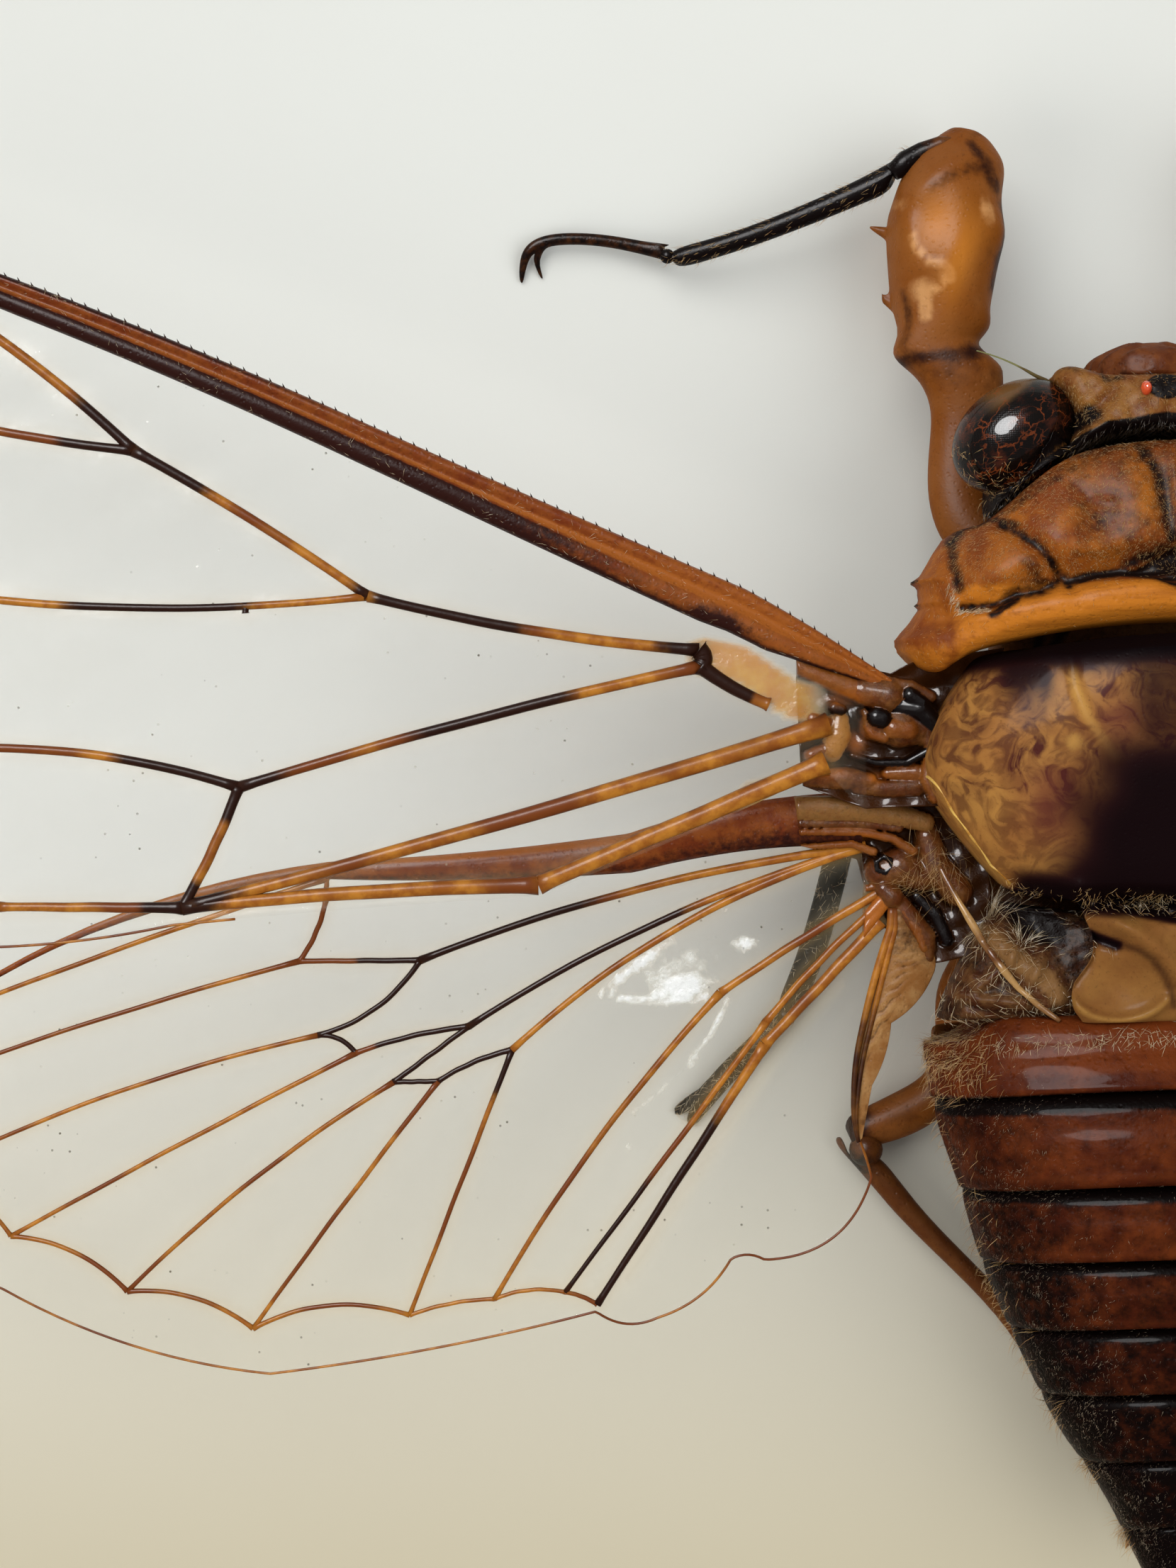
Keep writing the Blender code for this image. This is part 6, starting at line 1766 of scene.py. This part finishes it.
# Painted shade in the troughs of the creases and painted light on their ridges.
paint(leaf, "dark", np.maximum.reduce((
    0.45 * ease(-crease, 0.2, 0.9), 0.85 * (1 - ease(across, 0.0, 0.12)), 0.5 * (1 - ease(along, 0.1, 0.4)),
)))
paint(leaf, "pale", (0.2 + 0.25 * ease(crease, 0.0, 1.0)) * ease(along, 0.1, 0.5))
modify(leaf, "SOLIDIFY", thickness=0.08 * MM, offset=0)
edit(leaf, FACE_OUT)
leaf.data.shade_smooth()
leaf_finish = shell_finish(
    "leaf cuticle", (138, 90, 44), (184, 142, 90), (48, 24, 12), gloss=0.4, cloud=900.0, relief=0.06,
)
leaf_veins = []
for shift, first, last in ((0.0, 0.24, 0.12), (-0.42, 0.2, 0.1)):
    line = rail(LEAF_OUTER)(np.linspace(0, 1, 40))
    spread = shift * np.sin(np.pi * np.linspace(0.1, 1.0, 40))
    line = [(-(px + s), py, 10.55) for (px, py), s in zip(line, spread)]
    leaf_veins.append(tube_mesh("leaf vein", line, np.linspace(first, last, 40)))
leaf_vein = join("inner_leaf_veins_left", leaf_veins)
paint(leaf_vein, "dark", 0.25 + 0.5 * ease(-points_of(leaf_vein)[:, 1], 9.0, 14.0))
dress_pair(leaf, leaf_finish, "wing")
dress_pair(leaf_vein, vein_finish, "wing")

# %% [markdown]
# ## Pegs
# Along the front edge sits a row of tiny dark pegs, and the knot where the cell begins has thorns. Only
# the pegs are drawn, all as one small cone, copied along a line with a lean toward the tip.


# %% Set pegs along the front edge
def cones(name, roots, aims, width, sides=5):
    """Many small cones as one mesh; roots and aims are places and tips in the table's millimetres."""
    points, faces = [], []
    for root, tip in zip(roots, aims):
        root, tip = np.array(root, float), np.array(tip, float)
        course = (tip - root) / np.linalg.norm(tip - root)
        across = np.cross(course, (0, 0, 1) if abs(course[2]) < 0.9 else (1, 0, 0))
        across /= np.linalg.norm(across)
        up = np.cross(across, course)
        first = len(points)
        for step in range(sides):
            turn = 2 * math.pi * step / sides
            points.append(root + width * (math.cos(turn) * across + math.sin(turn) * up))
        points.append(tip)
        faces += [(first + s, first + (s + 1) % sides, first + sides) for s in range(sides)]
        faces.append(tuple(first + s for s in reversed(range(sides))))
    mesh = bpy.data.meshes.new(name)
    mesh.from_pydata([tuple((p + (0, AHEAD, 0)) * MM) for p in points], [], faces)
    piece = bpy.data.objects.new(name, mesh)
    bpy.context.scene.collection.objects.link(piece)
    edit(piece, FACE_OUT)
    return piece


front_line = rail(FORE_HINGE + FORE_FRONT[1:4])(np.linspace(0.03, 0.97, 118))
course = np.gradient(front_line, axis=0)
course /= np.linalg.norm(course, axis=1)[:, None]
outward = np.stack((-course[:, 1], course[:, 0]), axis=1)
outward *= np.sign(outward[:, 1:2])
roots = [(-px, py, float(fore_level(px, py)) + 0.05) for px, py in front_line - 0.04 * outward]
tips = front_line + 0.15 * outward + 0.17 * course
aims = [(-px, py, float(fore_level(px, py)) + 0.12) for px, py in tips]
pegs = cones("forewing_pegs_left", roots, aims, 0.06)
paint(pegs, "dark", 0.9)
dress_pair(pegs, vein_finish, "wing")
print("pegs:", len(roots))

# %% [markdown]
# ## Hair
# Short golden hair covers the shield, the head and the abdomen's flanks, and long pale wisps stand in
# the hollows. Each hair is a thin spike of solid mesh, bent unless it is very short, because
# particle hair isn't exported. Its root is drawn at random, by area, on a coarse unwrapped copy of the
# skin, and moved onto the skin.


# %% Grow hairs on a skin
def coarse_unwrap(skin, faces=5000):
    """A lighter copy of a skin with a UV map unwrapped from its own shape."""
    only(skin)
    bpy.ops.object.duplicate()
    coarse = started("coarse skin")
    if len(coarse.data.polygons) > faces:
        modify(coarse, "DECIMATE", ratio=faces / len(coarse.data.polygons))
    edit(coarse, (bpy.ops.uv.smart_project, {"island_margin": 0.005}))
    return coarse


def hair_shape(roots, courses, lengths, widths, curl, steps):
    """Points of three-sided spikes: a ring of three points for each step, and the tip."""
    helper = np.where(np.abs(courses[:, 2:]) > 0.9, (1.0, 0, 0), (0, 0, 1.0))
    across = np.cross(courses, helper)
    across /= np.linalg.norm(across, axis=1)[:, None]
    upward = np.cross(across, courses)
    rings = []
    for share, thick in steps:
        middle = roots + courses * (lengths * share)[:, None] + curl * (lengths * share**2)[:, None]
        for turn in (0, 2.0944, 4.1888):
            rings.append(middle + (across * math.cos(turn) + upward * math.sin(turn))
                * (widths * thick)[:, None])
    rings.append(roots + courses * lengths[:, None] + curl * lengths[:, None])
    return np.stack(rings, axis=1)


BENT = {
    "steps": ((0.0, 1.0), (0.5, 0.8)),
    "faces": ((0, 2, 1), (0, 1, 4, 3), (1, 2, 5, 4), (2, 0, 3, 5), (3, 4, 6), (4, 5, 6), (5, 3, 6)),
    "patch": ((0, 0), (1, 0), (0.5, 1), (0, 0.4), (1, 0.4), (0.5, 0.9), (0.5, 0.6)),
}
STRAIGHT = {
    "steps": ((0.0, 1.0),),
    "faces": ((0, 2, 1), (0, 1, 3), (1, 2, 3), (2, 0, 3)),
    "patch": ((0, 0), (1, 0), (0.5, 1), (0.5, 0.4)),
}
HAIR_SEED = 7
ROOT_DEPTH = 0.02
LOWEST = 0.02
PATCH_SIZE = 0.003


def grow(name, skin, count, density, length, width, lie, material, slot,
         rise=0.5, ruffle=0.35, bend=0.25, dark=0.0, shape=BENT):
    """
    Grows hairs on a skin. density(x, y, z, normal z) says how thickly, and lie gives the two directions
    that they point in, as numbers or from (x, y). rise, ruffle and bend say how upright, unruly and
    curled they are.
    """
    coarse = coarse_unwrap(skin)
    fine = BVHTree.FromObject(skin, bpy.context.evaluated_depsgraph_get())
    mesh = coarse.data
    mesh.calc_loop_triangles()
    corners = np.empty(len(mesh.loop_triangles) * 3, int)
    loops = np.empty(len(mesh.loop_triangles) * 3, int)
    mesh.loop_triangles.foreach_get("vertices", corners)
    mesh.loop_triangles.foreach_get("loops", loops)
    flat = np.empty(len(mesh.vertices) * 3)
    mesh.vertices.foreach_get("co", flat)
    spread = np.empty(len(mesh.loops) * 2)
    mesh.uv_layers.active.data.foreach_get("uv", spread)
    ends = flat.reshape(-1, 3)[corners].reshape(-1, 3, 3)
    charts = spread.reshape(-1, 2)[loops].reshape(-1, 3, 2)
    normals = np.cross(ends[:, 1] - ends[:, 0], ends[:, 2] - ends[:, 0])
    areas = np.linalg.norm(normals, axis=1) / 2
    middles = ends.mean(axis=1) / MM - (0, AHEAD, 0)
    tilt = normals[:, 2] / np.maximum(2 * areas, 1e-12)
    weight = areas * np.clip(density(np.abs(middles[:, 0]), middles[:, 1], middles[:, 2], tilt), 0, None)
    rng = np.random.default_rng(HAIR_SEED + count)
    chosen = rng.choice(len(weight), count, p=weight / weight.sum())
    a, b = rng.random((2, count))
    a, b = np.where(a + b > 1, 1 - a, a), np.where(a + b > 1, 1 - b, b)
    mix = np.stack((1 - a - b, a, b), axis=1)
    roots = (ends[chosen] * mix[:, :, None]).sum(axis=1)
    marks = (charts[chosen] * mix[:, :, None]).sum(axis=1)
    up = np.empty((count, 3))
    for index in range(count):
        spot_on, facing, _, _ = fine.find_nearest(Vector(roots[index]))
        roots[index] = spot_on
        up[index] = facing
    x, y = roots[:, 0] / MM, roots[:, 1] / MM - AHEAD
    flow = np.zeros((count, 3))
    flow[:, 0], flow[:, 1] = lie(np.abs(x), y) if callable(lie) else lie
    flow[:, 0] *= np.sign(x)
    flow += ruffle * rng.normal(size=(count, 3))
    flow -= up * (flow * up).sum(axis=1)[:, None]
    flow /= np.maximum(np.linalg.norm(flow, axis=1)[:, None], 1e-6)
    courses = flow * (1 - rise) + up * rise
    courses /= np.linalg.norm(courses, axis=1)[:, None]
    lengths = length * (0.6 + 0.8 * rng.random(count)) * MM
    widths = width * (0.8 + 0.4 * rng.random(count)) * MM
    curl = bend * (flow - up) + 0.5 * bend * rng.normal(size=(count, 3))
    corners_each = len(shape["patch"])
    points = hair_shape(roots - up * ROOT_DEPTH * MM, courses, lengths, widths, curl, shape["steps"])
    points[:, :, 2] = np.maximum(points[:, :, 2], LOWEST * MM)
    faces = [tuple(corners_each * hair + corner for corner in face)
             for hair in range(count) for face in shape["faces"]]
    made = bpy.data.meshes.new(name)
    made.from_pydata([tuple(p) for p in points.reshape(-1, 3)], [], faces)
    piece = bpy.data.objects.new(name, made)
    bpy.context.scene.collection.objects.link(piece)
    patch = made.uv_layers.new(name="OFBake")
    offsets = (np.array(shape["patch"]) - 0.5) * PATCH_SIZE
    owners = np.empty(len(made.loops), int)
    made.loops.foreach_get("vertex_index", owners)
    patch.data.foreach_set("uv",
        np.clip(marks[owners // corners_each] + offsets[owners % corners_each], 0, 1).ravel())
    paint(piece, "tone", np.repeat(rng.random(count), corners_each))
    paint(piece, "dark", dark)
    made.shade_smooth()
    bpy.data.objects.remove(coarse)
    return dress(piece, material, slot)


hair_finish, tree, shader = new_material("hair")
tone = blend_colour(tree, layer(tree, "tone"), colour(150, 98, 44), colour(222, 186, 124))
streaks = noise(tree, 1800.0, 2.0, 0.5, object_place(tree))
tone = blend_colour(tree, smooth_step(tree, streaks, 0.5, 0.65), tone, colour(196, 152, 88))
tone = blend_colour(tree, layer(tree, "dark"), tone, colour(26, 16, 12))
tree.links.new(tone, shader.inputs["Base Color"])
set_all(shader, {"Roughness": 0.42, "Specular IOR Level": 0.4})

pale_hair_finish, tree, shader = new_material("pale hair")
tone = blend_colour(tree, layer(tree, "tone"), colour(176, 142, 96), colour(232, 212, 172))
streaks = noise(tree, 1800.0, 2.0, 0.5, object_place(tree))
tone = blend_colour(tree, smooth_step(tree, streaks, 0.55, 0.7), tone, colour(238, 222, 190))
tree.links.new(tone, shader.inputs["Base Color"])
shader.inputs["Roughness"].default_value = 0.35

flank_hair_finish, tree, shader = new_material("flank hair")
tone = blend_colour(tree, layer(tree, "tone"), colour(128, 92, 62), colour(232, 212, 180))
streaks = noise(tree, 700.0, 3.0, 0.6, object_place(tree))
tone = blend_colour(tree, smooth_step(tree, streaks, 0.46, 0.6), colour(74, 44, 28), tone)
tree.links.new(tone, shader.inputs["Base Color"])
shader.inputs["Roughness"].default_value = 0.4

# %% [markdown]
# The lie of the hair follows the animal: backward on the shield, inward on the head, and outward and
# backward on the flanks of the abdomen, where single hairs show against the light.

# %% Grow the coat of each plate
def facing_up(tilt):
    return ease(tilt, 0.05, 0.4)


def off_seams(x, y):
    """0 in the shield's black grooves, which stay bare, and 1 elsewhere."""
    grooves = (ridge(x, y, LOBE_REAR, 0.35), ridge(x, y, FISSURE, 0.3), ridge(x, y, COLLAR_GROOVE, 0.4))
    return 1 - np.clip(np.maximum.reduce(grooves), 0, 1)


def fan_from(x0, y0):
    """A lie that spreads like a fan from a place."""
    return lambda x, y: ((x - x0) * 1.5, (y - y0) * 1.5)


grow("shield_hair", shield, 11000,
     lambda x, y, z, tilt: facing_up(tilt) * off_seams(x, y)
     * (0.04 + ease(y, 10.2 - 0.05 * x, 11.2) * (1 - 0.85 * ease(x, 11.0, 11.8))
                                              + 0.12 * ease(x, 11.2, 12.0)),
     0.22, 0.011, lambda x, y: (0.45 * np.sin(0.9 * x), -1.0), hair_finish, "pronotum", rise=0.45,
     ruffle=0.6,
     shape=STRAIGHT)
grow("lobe_fringe", shield, 380,
     lambda x, y, z, tilt: facing_up(tilt) * ridge(x, y, ((11.4, 10.6), (11.0, 9.3), (9.6, 9.2)), 0.14),
     0.36, 0.012, (0.5, -1.0), pale_hair_finish, "pronotum", rise=0.4, ruffle=0.25)
grow("head_hair", head, 4500,
     lambda x, y, z, tilt: facing_up(tilt) * ease(distance_to(x, y, HEAD_REAR_LINE), 0.6, 1.0)
     * (0.2 + (1 - ease(y, 20.8, 21.6)) * (1 - spot(x, y, (0, 20.5), 1.2, 0.8)))
     * (1 - 0.92 * ridge(x, y, ((7.6, 16.3), (6.2, 17.7), (4.9, 18.7)), 0.9)),
     0.24, 0.011, lambda x, y: (0.5 * np.sin(1.3 * x), -1.0), hair_finish, "vertex", rise=0.45, ruffle=0.6,
     shape=STRAIGHT)
grow("neck_hair", head, 2600,
     lambda x, y, z, tilt: ease(tilt, -0.4, 0.2)
     * (ridge(x, y, HEAD_REAR_LINE, 0.5) + 0.4 * spot(x, y, (0.9, 20.6), 0.5, 0.5)),
     0.55, 0.014, (0.3, -1.0), hair_finish, "vertex", rise=0.5, ruffle=0.35, dark=0.95)
grow("cheek_hair", head, 380,
    lambda x, y, z, tilt: ease(tilt, -0.5, 0.1) * ridge(x, y, ((5.4, 17.8), (8.3, 15.0)), 0.9),
     0.5, 0.013, (0.6, -0.6), hair_finish, "vertex", rise=0.55, ruffle=0.6)
for side, eye in zip(SIDES, eyes):
    grow("eye_hair_" + side, eye, 150,
        lambda x, y, z, tilt: ease(tilt, -0.2, 0.2) * ease(17.2 - y + 0.55 * (x - 7.4), 0.0, 1.4),
         0.4, 0.01, (0.4, -0.6), hair_finish, "eye", rise=0.4, ruffle=0.9, bend=0.6)
grow("dome_hair", dome, 500, lambda x, y, z, tilt: facing_up(tilt) * 3 * ridge(x, y, PIT, 0.5),
     0.5, 0.012, (0.3, -1.0), hair_finish, "mesonotum", rise=0.5, ruffle=0.6)
grow("cross_tuft", dome, 520,
     lambda x, y, z, tilt: spot(x, y, (2.1, -6.2), 0.35, 0.3) + spot(x, y, (1.0, -6.2), 0.25, 0.3)
     + 0.6 * spot(x, y, (4.9, -8.4), 0.9, 0.25),
     0.7, 0.014, (0.4, -0.8), pale_hair_finish, "mesonotum", rise=0.6, ruffle=0.5)
grow("hollow_wisps", hollow, 900,
     lambda x, y, z, tilt: ease(tilt, -0.3, 0.2)
     * (0.1 + 1.2 * ridge(x, y, TENDON, 0.5) + 0.5 * ease(-y, 9.0, 12.0)),
     0.8, 0.012, (-0.5, -0.6), pale_hair_finish, "metanotum", rise=0.45, ruffle=0.8, bend=0.6)
grow("front_tuft", hollow, 170, lambda x, y, z, tilt: spot(x, y, (9.9, -6.4), 0.4, 0.5),
     1.9, 0.011, fan_from(10.9, -6.2), pale_hair_finish, "metanotum", rise=0.4, ruffle=0.3, bend=0.5)
grow("rear_tuft", hollow, 190, lambda x, y, z, tilt: spot(x, y, (8.0, -8.1), 0.5, 0.4),
     1.6, 0.011, fan_from(8.4, -8.6), pale_hair_finish, "metanotum", rise=0.4, ruffle=0.5, bend=0.5)
grow("hinge_hair", hind_root, 170,
     lambda x, y, z, tilt: facing_up(tilt)
     * (spot(x, y, (11.9, -4.0), 1.0, 1.6) + 0.6 * spot(x, y, (13.4, -4.6), 0.8, 0.7)),
     1.1, 0.009, (0.3, -0.8), hair_finish, "wing_base", rise=0.4, ruffle=0.8, bend=0.6)
grow("mound_hair", rings[0], 1500,
     lambda x, y, z, tilt: ease(tilt, -0.6, -0.1) * spot(x, y, (11.6, -14.0), 1.6, 1.3),
     0.6, 0.012, (0.6, -0.8), hair_finish, "abdomen", rise=0.35, ruffle=0.6, bend=0.5)
grow("front_fringe", rings[0], 420,
     lambda x, y, z, tilt: facing_up(tilt) * ridge(x, y, ((9.6, -13.4), (6.0, -13.0), (0.5, -12.9)), 0.3),
     0.5, 0.011, (0.3, -0.8), pale_hair_finish, "abdomen", rise=0.4, ruffle=0.8, bend=0.6)
for side, edge in zip(SIDES, fore_straps):
    grow("edge_hair_" + side, edge, 520, lambda x, y, z, tilt: facing_up(tilt) * (1.2 - ease(x, 60, 90)),
         0.34, 0.009, (1.0, 0.3), pale_hair_finish, "wing", rise=0.25, ruffle=0.9)
RING_HAIRS = (9000, 10500, 11500, 11500, 11000, 9500, 7500, 4000)
for number, ring in enumerate(rings):
    wide = np.abs(points_of(ring)[:, 0]).max()
    on_flank = lambda x, y, z, tilt: ease(tilt, -0.5,
        0.0) * (0.08 + ease(x / wide, 0.4 - 0.06 * number, 0.9))
    grow(f"{ring.name}_hair", ring, RING_HAIRS[number], on_flank,
         0.2, 0.0075, (0.5, -1.0), flank_hair_finish, "abdomen", rise=0.35, ruffle=0.6, bend=0.3,
         shape=STRAIGHT)
    grow(f"{ring.name}_bristles", ring, 130,
        lambda x, y, z, tilt: ease(x / wide, 0.8, 0.95) * ease(tilt, -0.6, -0.2),
         0.9, 0.011, (0.8, -0.7), hair_finish, "abdomen", rise=0.6, ruffle=0.35)
for side in SIDES:
    for bone in ("tibia", "tarsus"):
        grow(f"midleg_{bone}_hair_{side}", legs[f"midleg_{bone}_{side}"], 420,
            lambda x, y, z, tilt: ease(tilt, -0.4, 0.4),
             0.42, 0.012, (0.5, -0.5), pale_hair_finish, "shin", rise=0.35, ruffle=0.9, bend=0.6)
    grow(f"shin_hair_{side}", legs[f"foreleg_tibia_{side}"], 500, lambda x, y, z, tilt: 1 + 0 * tilt,
         0.45, 0.01, (1.0, -0.5), hair_finish, "shin", rise=0.5, ruffle=0.4)
grow("breast_hair", breast, 2500, lambda x, y, z, tilt: ease(-tilt, 0.0, 0.4), 0.5, 0.014,
     (0.3, -1.0), pale_hair_finish, "breast", rise=0.3, ruffle=0.4)
coat = [o for o in bpy.data.objects if o.type == "MESH" and "OFBake" in o.data.uv_layers]
print("coat:", len(coat), "pieces,", sum(len(o.data.polygons) for o in coat), "faces")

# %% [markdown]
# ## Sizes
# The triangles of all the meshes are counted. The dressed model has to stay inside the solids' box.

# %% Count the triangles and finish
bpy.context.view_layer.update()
triangles = sum(len(p.vertices) - 2 for o in bpy.data.objects if o.type == "MESH" for p in o.data.polygons)
print("triangles:", triangles)
